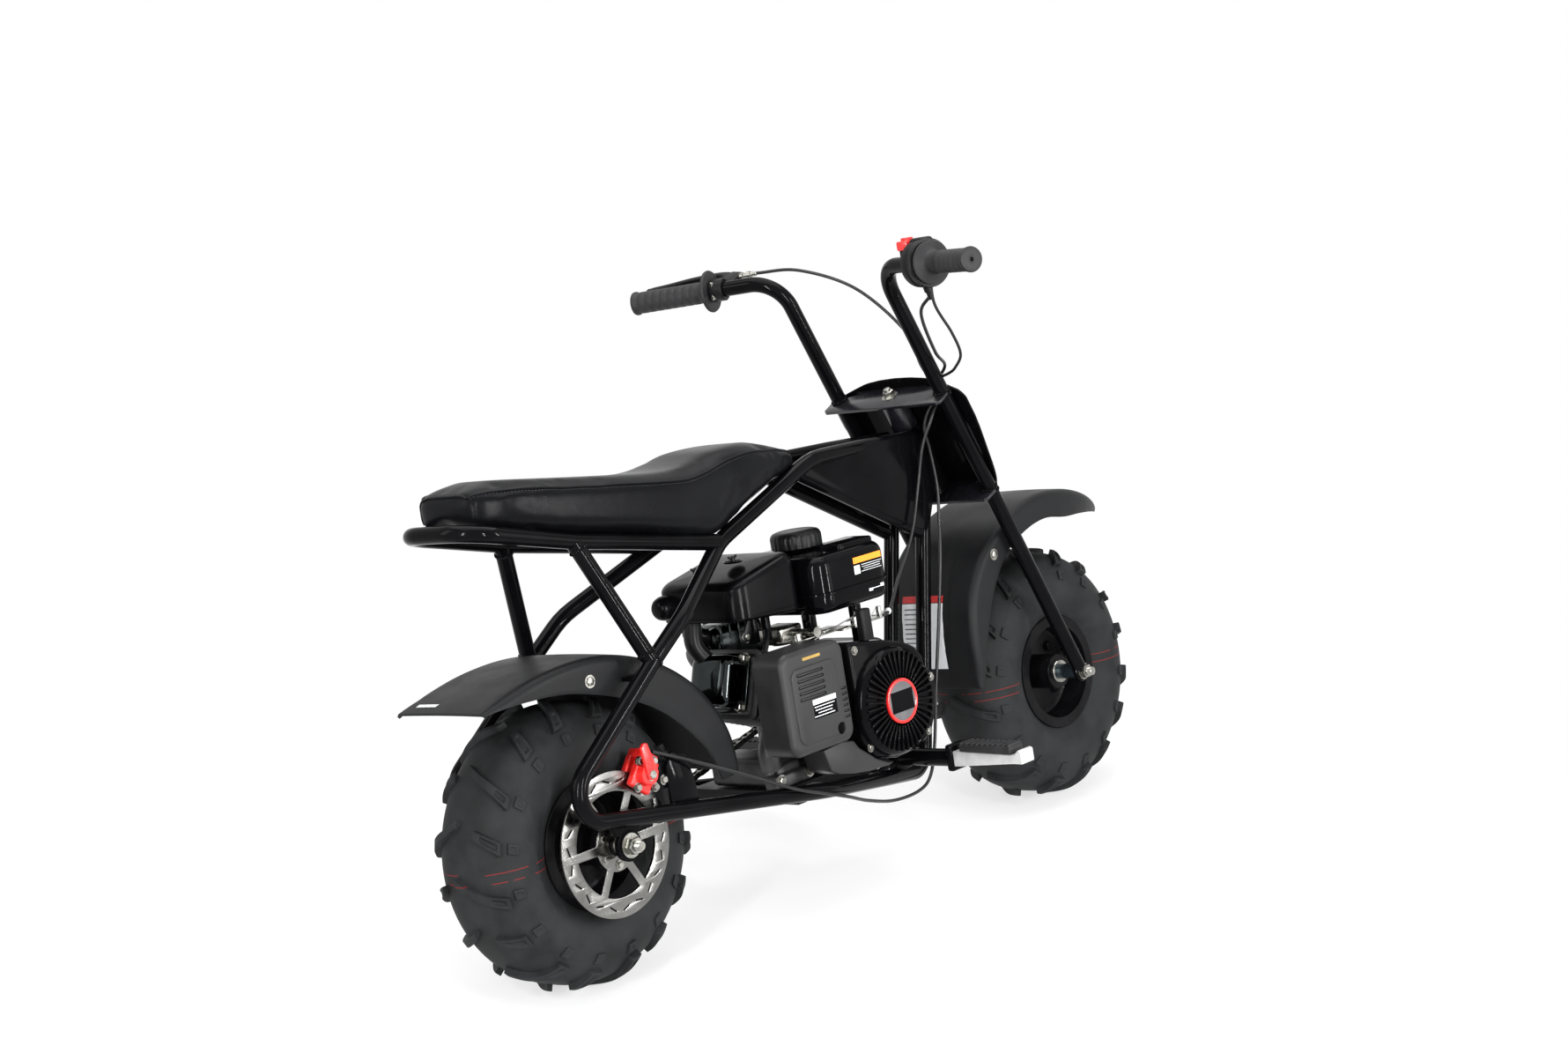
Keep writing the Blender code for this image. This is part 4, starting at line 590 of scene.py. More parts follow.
for side, mirror in (("right", list), ("left", flip)):
    for part, path in (("main_tube", UPPER), ("down_tube", DOWN), ("strut", STRUT)):
        settle(bar(mirror(path), TUBE_R), "tube_" + part + "_" + side, "gloss_paint", "frame",
               part + "_" + side)
settle(bar(HOOP, TUBE_R), "tube_seat_hoop", "gloss_paint", "frame", "seat_hoop")

# %% [markdown]
# Each lower rail ends in a cut plate that holds the axle. The left rail also carries the stand's hinge, and
# the right one the brake's plate. The plates are drawn as outlines, pulled to their thickness and joined on.

# %% Lower rails
def axle_lug(w):
    disc = turned([(0.1130, 0.0073), (0.1190, 0.0073), (0.1190, 0.0205), (0.1130, 0.0205), (0.1130, 0.0073)],
                  (0, 0, TYRE_R), (0, w, 0), 48)
    low, high = sorted((w * 0.1130, w * 0.1190))
    web = slab([(-0.018, 0.2055), (-0.028, 0.2275), (0.028, 0.2195), (0.018, 0.2055)], low, high)
    return weld_to(disc, web)


rail = weld_to(bar(LOWER, TUBE_R), axle_lug(-1),
               soften(slab([(0.091, 0.208), (0.091, 0.268), (0.104, 0.284), (0.128, 0.276), (0.138, 0.240),
                            (0.140, 0.202)], -0.1115, -0.1065), 0.0012))
settle(rail, "rail_right", "gloss_paint", "frame", "lower_rail_right")
STAND_PIVOT = Vector((0.330, 0.142, 0.128))
STAND_ALONG = (Vector((0.365, 0.262, 0.055)) - STAND_PIVOT).normalized()
STAND_AXIS = STAND_ALONG.cross(Vector((-1, 0.05, 0))).normalized()
STAND_BACK = STAND_AXIS.cross(STAND_ALONG).normalized()


def hinge(along, back, out):
    return STAND_PIVOT + STAND_ALONG * along + STAND_BACK * back + STAND_AXIS * out


tab = slab([(0.0110, 0.0050), (-0.0270, 0.0050), (-0.0430, 0.0150), (-0.0430, 0.0215), (-0.0290, 0.0100),
            (0.0110, 0.0100)], -0.0125, 0.0125)
for corner in tab.data.vertices:
    corner.co = hinge(corner.co.x, corner.co.y, corner.co.z)
soften(close_up(tab), 0.0008)
pin = turned([(0, 0), (0, 0.0088), (0.0034, 0.0090), (0.0040, 0.0080), (0.0040, 0.0050), (0.0185, 0.0050),
              (0.0190, 0)], hinge(0, 0, -0.0095), STAND_AXIS, 32)
rail = weld_to(bar(flip(LOWER), TUBE_R), axle_lug(1), tab, pin)
settle(rail, "rail_left", "gloss_paint", "frame", "lower_rail_left")
print("rails with their lugs")

# %% [markdown]
# Where two tubes meet, the welder leaves a rope of small ripples. Each bead is a short ring of overlapping
# drops, modelled once as a rippled ring and laid round the joint.

# %% Weld beads
def bead(place, direction, radius, ripples=26, thick=0.0016):
    def drop(u, w):
        a, b = 2 * math.pi * u, 2 * math.pi * w
        r = thick * (1 + 0.28 * math.cos(ripples * a))
        out = Vector((math.cos(a), math.sin(a), 0))
        return out * (radius + r * math.cos(b)) + Vector((0, 0, r * 1.25 * math.sin(b)))

    ring = skin(drop, ripples * 5, 8, capped=False)
    ring.rotation_mode = "QUATERNION"
    ring.rotation_quaternion = Vector((0, 0, 1)).rotation_difference(Vector(direction).normalized())
    ring.location = place
    return ring


beads = []
for mirror in (list, flip):
    top, low = (Vector(p) for p in mirror(STRUT))
    run = (low - top).normalized()
    beads += [bead(top + run * 0.012, run, TUBE_R), bead(low - run * 0.013, run, TUBE_R)]
    last = [Vector(p) for p in mirror(UPPER)][-2:]
    beads.append(bead(last[1] - (last[1] - last[0]).normalized() * 0.004, last[1] - last[0], TUBE_R))
settle(weld_to(*beads), "frame_welds", "gloss_paint", "frame")
print("weld beads", len(beads))

# %% [markdown]
# The steering head is a thick tube inside a box of pressed sheet: two long side plates, a plate across the
# front and two backbone tubes. The side plates are drawn from the photograph's outline, which is a long leaf.

# %% Steering head
HEAD_TOP = HEAD + AXIS * 0.054
SHELL = [(0.502, 0.586), (0.520, 0.5915), (0.560, 0.596), (0.610, 0.5975), (0.660, 0.597), (0.720, 0.5945),
         (0.780, 0.589), (0.788, 0.560), (0.781, 0.522), (0.757, 0.470), (0.744, 0.452), (0.714, 0.463),
         (0.620, 0.514), (0.509, 0.572)]
pieces = [turned([(0, 0.0140), (0, 0.0195), (0.001, 0.0205), (0.107, 0.0205), (0.108, 0.0195),
                  (0.108, 0.0140), (0, 0.0140)], HEAD_TOP, AXIS, 56)]
for w in (-1, 1):
    low, high = sorted((w * 0.0395, w * 0.0425))
    pieces.append(soften(slab(SHELL, low, high), 0.0012, 3))
    pieces.append(bar([(0.500, w * 0.0318, 0.580), (0.738, w * 0.0318, 0.452)], 0.0095))
pieces.append(soften(slab([(0.779, 0.588), (0.787, 0.560), (0.780, 0.522), (0.7565, 0.4755), (0.7530, 0.4775),
                           (0.7765, 0.5235), (0.7835, 0.561), (0.7750, 0.588)], -0.0410, 0.0410), 0.0010))
settle(weld_to(*pieces), "head_box", "gloss_paint", "frame", "head_tube")
print("steering head at", BIKE @ HEAD_TOP)

# %% [markdown]
# The balloon tyre is the largest thing in the picture, so its tread is real geometry. The carcass is a turned
# profile. The bars are modelled flat, as on the drawing of a mould, and then wrapped round the carcass.

# %% Tyre carcass
LUG = 0.0088
PITCHES = 16
RIM_R = 0.0775
HALF_PROFILE = smooth_through(
    [(y, r, 0) for y, r in ((0.0, 0.1812), (0.016, 0.1806), (0.0306, 0.1775), (0.0440, 0.1700),
                            (0.0545, 0.1580), (0.0625, 0.1440), (0.0668, 0.1270), (0.0664, 0.1110),
                            (0.0612, 0.0965), (0.0552, 0.0880), (0.0530, 0.0858))], 34)
RUN = [0.0]
for near, far in zip(HALF_PROFILE, HALF_PROFILE[1:]):
    RUN.append(RUN[-1] + (far - near).length)


def on_carcass(w, high):
    """Half width and radius at that way across from the crown, raised along the surface's normal."""
    i = max(k for k in range(len(RUN) - 1) if RUN[k] <= max(w, 0))
    a, b = HALF_PROFILE[i], HALF_PROFILE[i + 1]
    here = a.lerp(b, (w - RUN[i]) / (RUN[i + 1] - RUN[i]))
    if w < 0:
        here = Vector((w, HALF_PROFILE[0].y, 0))
    before = HALF_PROFILE[max(i - 1, 0)]
    after = HALF_PROFILE[min(i + 2, len(RUN) - 1)]
    t = (b - a).lerp(after - before, 0.5).normalized()
    return here + Vector((-t.y, t.x, 0)) * high


def carcass():
    outline = [(-p.x, p.y) for p in reversed(HALF_PROFILE)] + [(p.x, p.y) for p in HALF_PROFILE[1:]]
    outline += [(0.0500, RIM_R + 0.0006), (-0.0500, RIM_R + 0.0006),
                (-HALF_PROFILE[-1].x, HALF_PROFILE[-1].y)]
    return turned(outline, (0, 0, 0), (0, 1, 0), 128)


print("carcass is", round(RUN[-1] * 2000), "mm round from bead to bead")

# %% [markdown]
# Three shapes repeat round the tread. A long blade starts at the centre line and sweeps down to the shoulder,
# a short one ends early, and both have a sunk pocket near the shoulder. A small square block stands beside
# them on the sidewall. Each is a grid that is bent into outline, extruded, and inset for its pocket.

# %% Tread shapes
def tread_shape(middle, width, start, end, pocket, along=10):
    """A flat tread block: its middle line and width follow from the share of the way across."""
    hands_free()
    bpy.ops.mesh.primitive_grid_add(x_subdivisions=4, y_subdivisions=along, size=2)
    shape = bpy.context.object
    for corner in shape.data.vertices:
        share = (corner.co.y + 1) / 2
        corner.co = Vector((middle(share) + corner.co.x * width(share) / 2, start + (end - start) * share,
                            -0.002))
    work_on(shape, "FACE")
    bpy.ops.mesh.extrude_region_move(TRANSFORM_OT_translate={"value": (0, 0, 0.002 + LUG)})
    bpy.ops.transform.resize(value=(0.94, 0.985, 1))
    bpy.ops.mesh.select_all(action="DESELECT")
    bpy.ops.object.mode_set(mode="OBJECT")
    for face in shape.data.polygons:
        share = (face.center.y - start) / (end - start)
        inside = abs(face.center.x - middle(share)) < width(share) * 0.3
        face.select = face.normal.z > 0.9 and inside and pocket[0] < share < pocket[1]
    if any(face.select for face in shape.data.polygons):
        bpy.ops.object.mode_set(mode="EDIT")
        bpy.ops.mesh.inset(thickness=0.0012)
        bpy.ops.transform.translate(value=(0, 0, -0.0028))
        bpy.ops.object.mode_set(mode="OBJECT")
    close_up(shape)
    return soften(shape, 0.0007, 1, 40)


BLADE = tread_shape(lambda s: -0.030 * s ** 0.8 * (1 + 0.3 * s), lambda s: 0.0095 + 0.0095 * s ** 2, -0.003,
                    0.0640, (0.68, 0.93), 14)
SHORT = tread_shape(lambda s: -0.012 - 0.020 * s, lambda s: 0.0110 + 0.0100 * s, 0.0290, 0.0620,
                    (0.30, 0.90), 8)
BLOCK = tread_shape(lambda s: -0.030 - 0.003 * s, lambda s: 0.0175, 0.0710, 0.0850, (0.2, 0.8), 5)
SHAPES = ((BLADE, 0.0, 1.0), (SHORT, 0.5, 0.95), (BLOCK, 0.0, 0.34), (BLOCK, 0.5, 0.34))
print("tread shapes with", [len(s.data.polygons) for s, at, tall in SHAPES], "faces")

# %% [markdown]
# The sides of the tread are half a pitch apart, so the blades interlock along the crown. Wrapping turns the
# flat drawing's two directions into an angle round the wheel and a way across the carcass.

# %% Wrap the tread
def wrapped(shape, angle, side, tall):
    hands_free()
    copy = shape.copy()
    copy.data = shape.data.copy()
    bpy.context.scene.collection.objects.link(copy)
    for corner in copy.data.vertices:
        u, w, high = corner.co
        p = on_carcass(w, high * tall if high > 0 else high)
        a = angle + u / 0.181
        corner.co = Vector((p.y * math.sin(a), side * p.x, p.y * math.cos(a)))
    return copy


def tyre(name, hub, body, node):
    piece = carcass()
    others = []
    for side, shift in ((-1, 0.0), (1, 0.5)):
        for k in range(PITCHES // 2):
            for shape, at, tall in SHAPES:
                others.append(wrapped(shape, 2 * math.pi * (2 * k + 2 * (at + shift)) / PITCHES, side, tall))
    weld_to(piece, *others)
    work_on(piece)
    bpy.ops.mesh.normals_make_consistent(inside=False)
    bpy.ops.object.mode_set(mode="OBJECT")
    across = piece.data.attributes.new("across", "FLOAT", "POINT")
    for i, corner in enumerate(piece.data.vertices):
        across.data[i].value = corner.co.y
    piece.location = hub
    return settle(piece, name, "tyre_rubber", body, node, smooth=38)


FRONT_HUB = Vector((WHEELBASE, 0, TYRE_R))
REAR_HUB = Vector((0, 0, TYRE_R))
tyre("balloon_tyre_rear", REAR_HUB, "rear_wheel", "rear_tyre")
tyre("balloon_tyre_front", FRONT_HUB, "front_wheel", "front_tyre")
for shape in (BLADE, SHORT, BLOCK):
    bpy.data.objects.remove(shape, do_unlink=True)

# %% [markdown]
# The rims are pressed from sheet and painted black: two flanges, a barrel and a dished centre, all one turned
# profile. The tube's valve sticks out of the barrel, as on any small wheel with a pump.

# %% Rims
def rim(name, hub, body, node, hub_low, hub_high, bore, hub_r):
    barrel = turned([(-0.0525, 0.0772), (-0.0535, 0.0850), (-0.0550, 0.0856), (-0.0562, 0.0845),
                     (-0.0560, 0.0700), (-0.0400, 0.0690), (-0.0190, 0.0655), (-0.0165, 0.0600),
                     (-0.0150, 0.0300), (-0.0150, 0.0240), (0.0150, 0.0240), (0.0150, 0.0300),
                     (0.0165, 0.0600), (0.0190, 0.0655), (0.0400, 0.0690), (0.0560, 0.0700),
                     (0.0562, 0.0845), (0.0550, 0.0856), (0.0535, 0.0850), (0.0525, 0.0772),
                     (-0.0525, 0.0772)], (0, 0, 0), (0, 1, 0), 96)
    centre = turned([(hub_low, bore), (hub_low, hub_r - 0.001), (hub_low + 0.001, hub_r),
                     (hub_high - 0.001, hub_r),
                     (hub_high, hub_r - 0.001), (hub_high, bore), (hub_low, bore)], (0, 0, 0), (0, 1, 0), 48)
    valve = turned([(0, 0), (0, 0.0042), (0.010, 0.0040), (0.012, 0.0028), (0.024, 0.0028), (0.0245, 0.0038),
                    (0.032, 0.0036), (0.033, 0)], (0.064, -0.020, 0.020), (-0.12, -1, -0.03), 20)
    parts = [barrel, centre, valve]
    for k in range(4):
        a = math.pi / 4 + k * math.pi / 2
        for w in (-1, 1):
            parts.append(bolt((0.046 * math.cos(a), w * 0.0160, 0.046 * math.sin(a)), (0, w, 0), 0.0065,
                              0.0050, 0.009))
    piece = weld_to(*parts)
    piece.location = hub
    return settle(piece, name, "rim_paint", body, node)


rim("pressed_rim_front", FRONT_HUB, "front_wheel", "front_rim", -0.0575, 0.0575, 0.0066, 0.026)
rim("pressed_rim_rear", REAR_HUB, "rear_wheel", "rear_rim", -0.0905, 0.0927, 0.0073, 0.028)
print("rims with valves and bolts")

# %% [markdown]
# The brake disc is laser cut from steel: six spokes, and a band with slanted slots that keep it cool. A flat
# curve fills itself between its outline and its holes, which is just how the plate is cut.

# %% Brake disc and sprocket
DISC_Y, CHAIN_Y = -0.0926, 0.0945


def arc(radius, count, start=0.0, sweep=2 * math.pi, whole=True):
    steps = count if whole else count - 1
    return [(radius * math.cos(start + sweep * k / steps), radius * math.sin(start + sweep * k / steps))
            for k in range(count)]


def windows(inner, outer, spokes, web, fine):
    found = []
    for k in range(spokes):
        a, b = 2 * math.pi * k / spokes, 2 * math.pi * (k + 1) / spokes
        low, high = a + math.asin(web / outer), b - math.asin(web / outer)
        edge = arc(outer, fine, low, high - low, False)
        low, high = a + math.asin(web / inner), b - math.asin(web / inner)
        found.append(edge + list(reversed(arc(inner, max(4, fine // 2), low, high - low, False))))
    return found


def cut_plate(outlines, thick, y, x=0.0, z=0.0, edge=0.0003):
    """A flat curve, filled between its edge and its holes, given a thickness and a broken edge."""
    hands_free()
    bpy.ops.curve.primitive_nurbs_path_add()
    line = bpy.context.object
    line.data.splines.clear()
    line.data.dimensions = "2D"
    line.data.fill_mode = "BOTH"
    line.data.extrude = thick / 2 - edge
    line.data.bevel_depth = edge
    line.data.bevel_resolution = 1
    for outline in outlines:
        spline = line.data.splines.new("POLY")
        spline.points.add(len(outline) - 1)
        for knot, (u, v) in zip(spline.points, outline):
            knot.co = (u, v, 0, 1)
        spline.use_cyclic_u = True
    line.location = (0, 0, 0)
    bpy.ops.object.convert(target="MESH")
    piece = close_up(bpy.context.object)
    piece.rotation_euler = (math.radians(90), 0, 0)
    piece.location = (x, y, z)
    return piece


def slots(count, radius, long, wide, slant):
    found = []
    for k in range(count):
        a = 2 * math.pi * (k + 0.5) / count
        lean = slant if k % 2 else -slant
        ring = []
        for j in range(12):
            b = 2 * math.pi * j / 12
            u = (long if math.cos(b) > 0 else -long) + wide * math.cos(b)
            v = wide * math.sin(b) + lean * u
            ring.append((radius * math.cos(a) + v * math.cos(a) - u * math.sin(a),
                         radius * math.sin(a) + v * math.sin(a) + u * math.cos(a)))
        found.append(ring)
    return found


disc = cut_plate([arc(0.0927, 160)] + windows(0.034, 0.068, 6, 0.0055, 20)
                 + slots(22, 0.0812, 0.0048, 0.0016, 0.42)
                 + [arc(0.0142, 40)], 0.0035, DISC_Y, 0, TYRE_R)
settle(disc, "cut_disc", "disc_steel", "rear_wheel", "brake_disc")
heads = [bolt((0.026 * math.cos(a), DISC_Y - 0.0018, TYRE_R + 0.026 * math.sin(a)), (0, -1, 0), 0.0048,
              0.0042, 0.0065)
         for a in (math.radians(30 + 60 * k) for k in range(6))]
settle(weld_to(*heads), "disc_bolts", "zinc_plate", "rear_wheel")


def teeth(count, radius, deep):
    outline = []
    for k in range(count):
        for share, r in ((-0.34, radius - deep), (-0.20, radius - deep * 0.2), (-0.10, radius + deep * 0.55),
                         (0.10, radius + deep * 0.55), (0.20, radius - deep * 0.2), (0.34, radius - deep)):
            a = 2 * math.pi * (k + share) / count
            outline.append((r * math.cos(a), r * math.sin(a)))
    return outline


PITCH = 0.0127
REAR_TEETH, CLUTCH_TEETH = 40, 10
REAR_PITCH_R = PITCH / (2 * math.sin(math.pi / REAR_TEETH))
CLUTCH_PITCH_R = PITCH / (2 * math.sin(math.pi / CLUTCH_TEETH))
sprocket = cut_plate([teeth(REAR_TEETH, REAR_PITCH_R, 0.0036)] + windows(0.036, 0.060, 5, 0.007, 12)
                     + [arc(0.0142, 32)], 0.0030, CHAIN_Y, 0, TYRE_R)
settle(sprocket, "cut_sprocket", "disc_steel", "rear_wheel", "rear_sprocket")
print("disc with 22 slots, sprocket with", REAR_TEETH, "teeth")

# %% [markdown]
# The fenders are moulded from dark grey plastic with a fine grain. Each follows an arc over its tyre, with a
# flat crown, round shoulders and side walls whose depth changes. A rule gives that section for every angle,
# and Solidify gives the wall.

# %% Fender shells
def table_at(rows, share):
    """A smooth reading between the rows of a table."""
    at = share * (len(rows) - 1)
    i = min(int(at), len(rows) - 2)
    t = at - i
    a, b, c, d = rows[max(i - 1, 0)], rows[i], rows[i + 1], rows[min(i + 2, len(rows) - 1)]
    return [(q * 2 + (r - p) * t + (p * 2 - q * 5 + r * 4 - s) * t * t + (q * 3 - p - r * 3 + s) * t ** 3) / 2
            for p, q, r, s in zip(a, b, c, d)]


FRONT_ARC = [
    # angle, crown radius, width share, depth of the side walls
    (174, 0.2170, 0.96, 0.008), (165, 0.2260, 1.0, 0.020), (153, 0.2430, 1.0, 0.036),
    (142, 0.2600, 1.0, 0.046), (130, 0.2700, 1.0, 0.046), (118, 0.2730, 1.0, 0.040),
    (106, 0.2740, 1.0, 0.038), (93, 0.2765, 0.98, 0.040), (80, 0.2765, 0.94, 0.044),
    (68, 0.2790, 0.82, 0.036), (58, 0.2850, 0.62, 0.026), (50, 0.2935, 0.36, 0.016),
    (46, 0.2990, 0.12, 0.008),
]
REAR_ARC = [
    (7, 0.2600, 0.94, 0.040), (20, 0.2620, 1.0, 0.052), (36, 0.2580, 1.0, 0.062), (52, 0.2500, 1.0, 0.062),
    (68, 0.2430, 1.0, 0.058), (84, 0.2400, 1.0, 0.050), (98, 0.2410, 1.0, 0.038), (111, 0.2480, 1.0, 0.027),
    (121, 0.2580, 1.0, 0.016), (129, 0.2700, 0.97, 0.006),
]


def fender(name, hub, rows, body, node, half=0.085):
    def corner(u, w):
        degrees, radius, width, wall = table_at(rows, u)
        t = abs(2 * w - 1)
        side = 1 if w > 0.5 else -1
        edge = half * width
        turn_r = min(0.012, wall * 0.8, edge * 0.4)
        if t < 0.5:
            y, drop = (edge - turn_r) * t / 0.5, 0.0015 * (t / 0.5) ** 2
        elif t < 0.8:
            a = math.pi / 2 * (t - 0.5) / 0.3
            y, drop = edge - turn_r + turn_r * math.sin(a), 0.0015 + turn_r * (1 - math.cos(a))
        else:
            y, drop = edge, 0.0015 + turn_r + (wall - turn_r - 0.0015) * (t - 0.8) / 0.2
        a = math.radians(degrees)
        return hub + Vector((math.cos(a), 0, math.sin(a))) * (radius - drop) + Vector((0, side * y, 0))

    hands_free()
    piece = skin(corner, 84, 40, capped=False)
    middle = piece.data.polygons[len(piece.data.polygons) // 2]
    inwards = middle.normal.dot(middle.center - hub) < 0
    if inwards:
        work_on(piece)
        bpy.ops.mesh.flip_normals()
    use(piece, "SOLIDIFY", thickness=0.0032, offset=-1)
    soften(piece, 0.0009, 2, 60)
    return settle(piece, name, "mould_plastic", body, node, smooth=40)


fender("moulded_fender_front", FRONT_HUB, FRONT_ARC, "steering", "front_fender")
fender("moulded_fender_rear", REAR_HUB, REAR_ARC, "frame", "rear_fender")
screws = [bolt((0.8327, w * 0.0848, 0.3976), (0, w, 0), 0.0060, 0.0035, 0.0085) for w in (-1, 1)]
settle(weld_to(*screws), "front_fender_bolts", "zinc_plate", "steering")
screws = [bolt((0.0100, w * 0.0848, 0.3985), (0, w, 0), 0.0060, 0.0035, 0.0085) for w in (-1, 1)]
settle(weld_to(*screws), "rear_fender_bolts", "zinc_plate", "frame")
ears = [block((0.078, w * 0.0960, 0.388), (0.028, 0.026, 0.005), 0.001) for w in (-1, 1)]
settle(weld_to(*ears), "fender_ears", "gloss_paint", "frame")
print("fenders with bolts and ears")

# %% [markdown]
# The seat is a foam pad under stretched vinyl. It starts as a smooth hull a little smaller than the real one.
# A cloth simulation with pressure then fills it, as the foam fills the cover, and lets the sides pull in.
# Points may move only a little, so that the seat keeps the outline of the photograph.

# %% Seat pad
SEAT = [
    # x, half width, underside, top
    (-0.1080, 0.040, 0.6280, 0.6560), (-0.1040, 0.052, 0.6220, 0.6640), (-0.0920, 0.063, 0.6165, 0.6690),
    (-0.0650, 0.075, 0.6090, 0.6680), (-0.0200, 0.085, 0.5980, 0.6620), (0.0600, 0.092, 0.5790, 0.6500),
    (0.1400, 0.094, 0.5625, 0.6385), (0.2000, 0.093, 0.5480, 0.6310), (0.2500, 0.091, 0.5370, 0.6275),
    (0.2900, 0.088, 0.5320, 0.6320), (0.3300, 0.084, 0.5440, 0.6385), (0.3800, 0.078, 0.5630, 0.6390),
    (0.4250, 0.070, 0.5780, 0.6345), (0.4600, 0.061, 0.5880, 0.6280), (0.4850, 0.050, 0.5960, 0.6200),
    (0.4960, 0.040, 0.6000, 0.6130),
]
SLACK = 0.0025


def seat_at(u, w, slack=0.0):
    x, half, low, high = table_at(SEAT, u)
    a = 2 * math.pi * w
    c, s = math.cos(a), math.sin(a)
    half, middle, tall = half - slack, (low + high) / 2, (high - low) / 2 - slack
    crown = 0.0035 * (1 - min(1, abs(c)) ** 2) if s > 0 else 0
    return Vector((x, half * math.copysign(abs(c) ** 0.38, c),
                   middle + tall * math.copysign(abs(s) ** 0.42, s) * (1 - 0.02 * (s > 0)) + crown - 0.002))


pad = skin(lambda u, w: seat_at(u, w, SLACK), 60, 56)
close_up(pad)
use(pad, "REMESH", mode="VOXEL", voxel_size=0.005)
before = [v.co.copy() for v in pad.data.vertices]
take(pad)
cloth = pad.modifiers.new("Cover", "CLOTH")
cloth.settings.use_pressure = True
cloth.settings.uniform_pressure_force = 4
cloth.settings.effector_weights.gravity = 0
for day in range(1, 21):
    bpy.context.scene.frame_set(day)
bpy.ops.object.modifier_apply(modifier="Cover")
bpy.context.scene.frame_set(1)
furthest = 0.0
for corner, start in zip(pad.data.vertices, before):
    step = corner.co - start
    furthest = max(furthest, step.length)
    if step.length > 0.005:
        corner.co = start + step.normalized() * 0.005
print("cover moved up to", round(furthest * 1000, 1), "mm before the cap")
use(pad, "SMOOTH", factor=0.5, iterations=4)
use(pad, "SUBSURF", levels=1, render_levels=1)
print("seat pad with", len(pad.data.polygons), "faces")

# %% [markdown]
# The cover is sewn from a top and a side band. A piped seam runs round the top's edge with a row of stitches
# below it, and one more seam crosses the back of each side. They are laid on the finished pad's own surface.

# %% Seat seams
def on_pad(point, lift=0.0):
    place, normal = pad.closest_point_on_mesh(Vector(point))[1:3]
    return place + normal * lift


def seam_line(w, start, end, count, lift):
    return [on_pad(seat_at(start + (end - start) * k / (count - 1), w), lift) for k in range(count)]


EDGE_SHARE = 0.115
piping, stitches = [], []
for w in (EDGE_SHARE, 0.5 - EDGE_SHARE):
    piping.append(bar(smooth_through(seam_line(w, 0.05, 0.955, 60, 0.0006), 160), 0.0017, 10))
    row = smooth_through(seam_line(w - 0.022 if w < 0.25 else w + 0.022, 0.06, 0.95, 60, 0.0004), 241)
    for k in range(0, 240, 2):
        stitches.append(bar([row[k], row[k].lerp(row[k + 1], 0.8)], 0.0005, 6))
    side = 0.0 if w < 0.25 else 0.5
    across = [on_pad(seat_at(0.075, side + (0.09 - 0.18 * k / 9) * (1 if side == 0 else -1)), 0.0004)
              for k in range(10)]
    piping.append(bar(smooth_through(across, 24), 0.0011, 8))
nose = [on_pad(seat_at(0.955, EDGE_SHARE + (0.5 - 2 * EDGE_SHARE) * k / 15), 0.0006) for k in range(16)]
tail = [on_pad(seat_at(0.05, EDGE_SHARE + (0.5 - 2 * EDGE_SHARE) * k / 15), 0.0006) for k in range(16)]
piping += [bar(smooth_through(nose, 40), 0.0017, 10), bar(smooth_through(tail, 40), 0.0017, 10)]
settle(weld_to(*piping), "seat_piping", "seat_vinyl", "frame")
settle(weld_to(*stitches), "seat_stitches", "stitch_thread", "frame")
settle(pad, "padded_seat", "seat_vinyl", "frame", "seat", smooth=60)
print("seams", len(piping), "stitches", len(stitches))

# %% [markdown]
# The engine's air box, tank and side cover are all tubs with round corners. A tub is drawn as layers of one
# rounded rectangle: each layer has its height and how far it is drawn in, so that fillets, flanges and
# crowned lids come from a short list. A last rule may slant the tub or lay it on its side.

# %% Tubs
def fillet(low, high, low_r, high_r, steps=6, crown=0.0, middle=(), reach=0.046):
    """Layers of (height, inset) with a round edge at both ends, and a crowned top that goes in by reach."""
    arcs = [math.pi / 2 * k / steps for k in range(steps + 1)]
    layers = [(low + low_r * (1 - math.sin(a)), low_r * (1 - math.cos(a))) for a in reversed(arcs)]
    layers += list(middle)
    layers += [(high - high_r * (1 - math.sin(a)), high_r * (1 - math.cos(a))) for a in arcs]
    for k in range(1, 5 if crown else 1):
        layers.append((high + crown * (1 - (1 - k / 4) ** 2), high_r + reach * k / 4))
    return layers


def tub(middle, half_x, half_y, corner, layers, slant=lambda p: p, fine=8):
    def place(u, w):
        z, inset = layers[round(u * (len(layers) - 1))]
        quarter, step = divmod(round(w * 4 * fine) % (4 * fine), fine)
        a = math.pi / 2 * (quarter + step / (fine - 1))
        sx, sy = ((1, 1), (-1, 1), (-1, -1), (1, -1))[quarter]
        r = max(corner - inset, 0.0008)
        x = sx * (half_x - inset - r) + r * math.cos(a)
        y = sy * (half_y - inset - r) + r * math.sin(a)
        return slant(Vector(middle) + Vector((x, y, z)))

    return skin(place, len(layers) - 1, 4 * fine)


def lidded(p):
    """The air box's lid falls towards the back, and its floor rises a little."""
    back = (0.422 - p.x) / 0.132
    share = (p.z - 0.4035) / 0.0855
    p.z += share * -0.026 * max(back, 0) ** 1.25 + (1 - share) * 0.009 * max(back, 0)
    return p


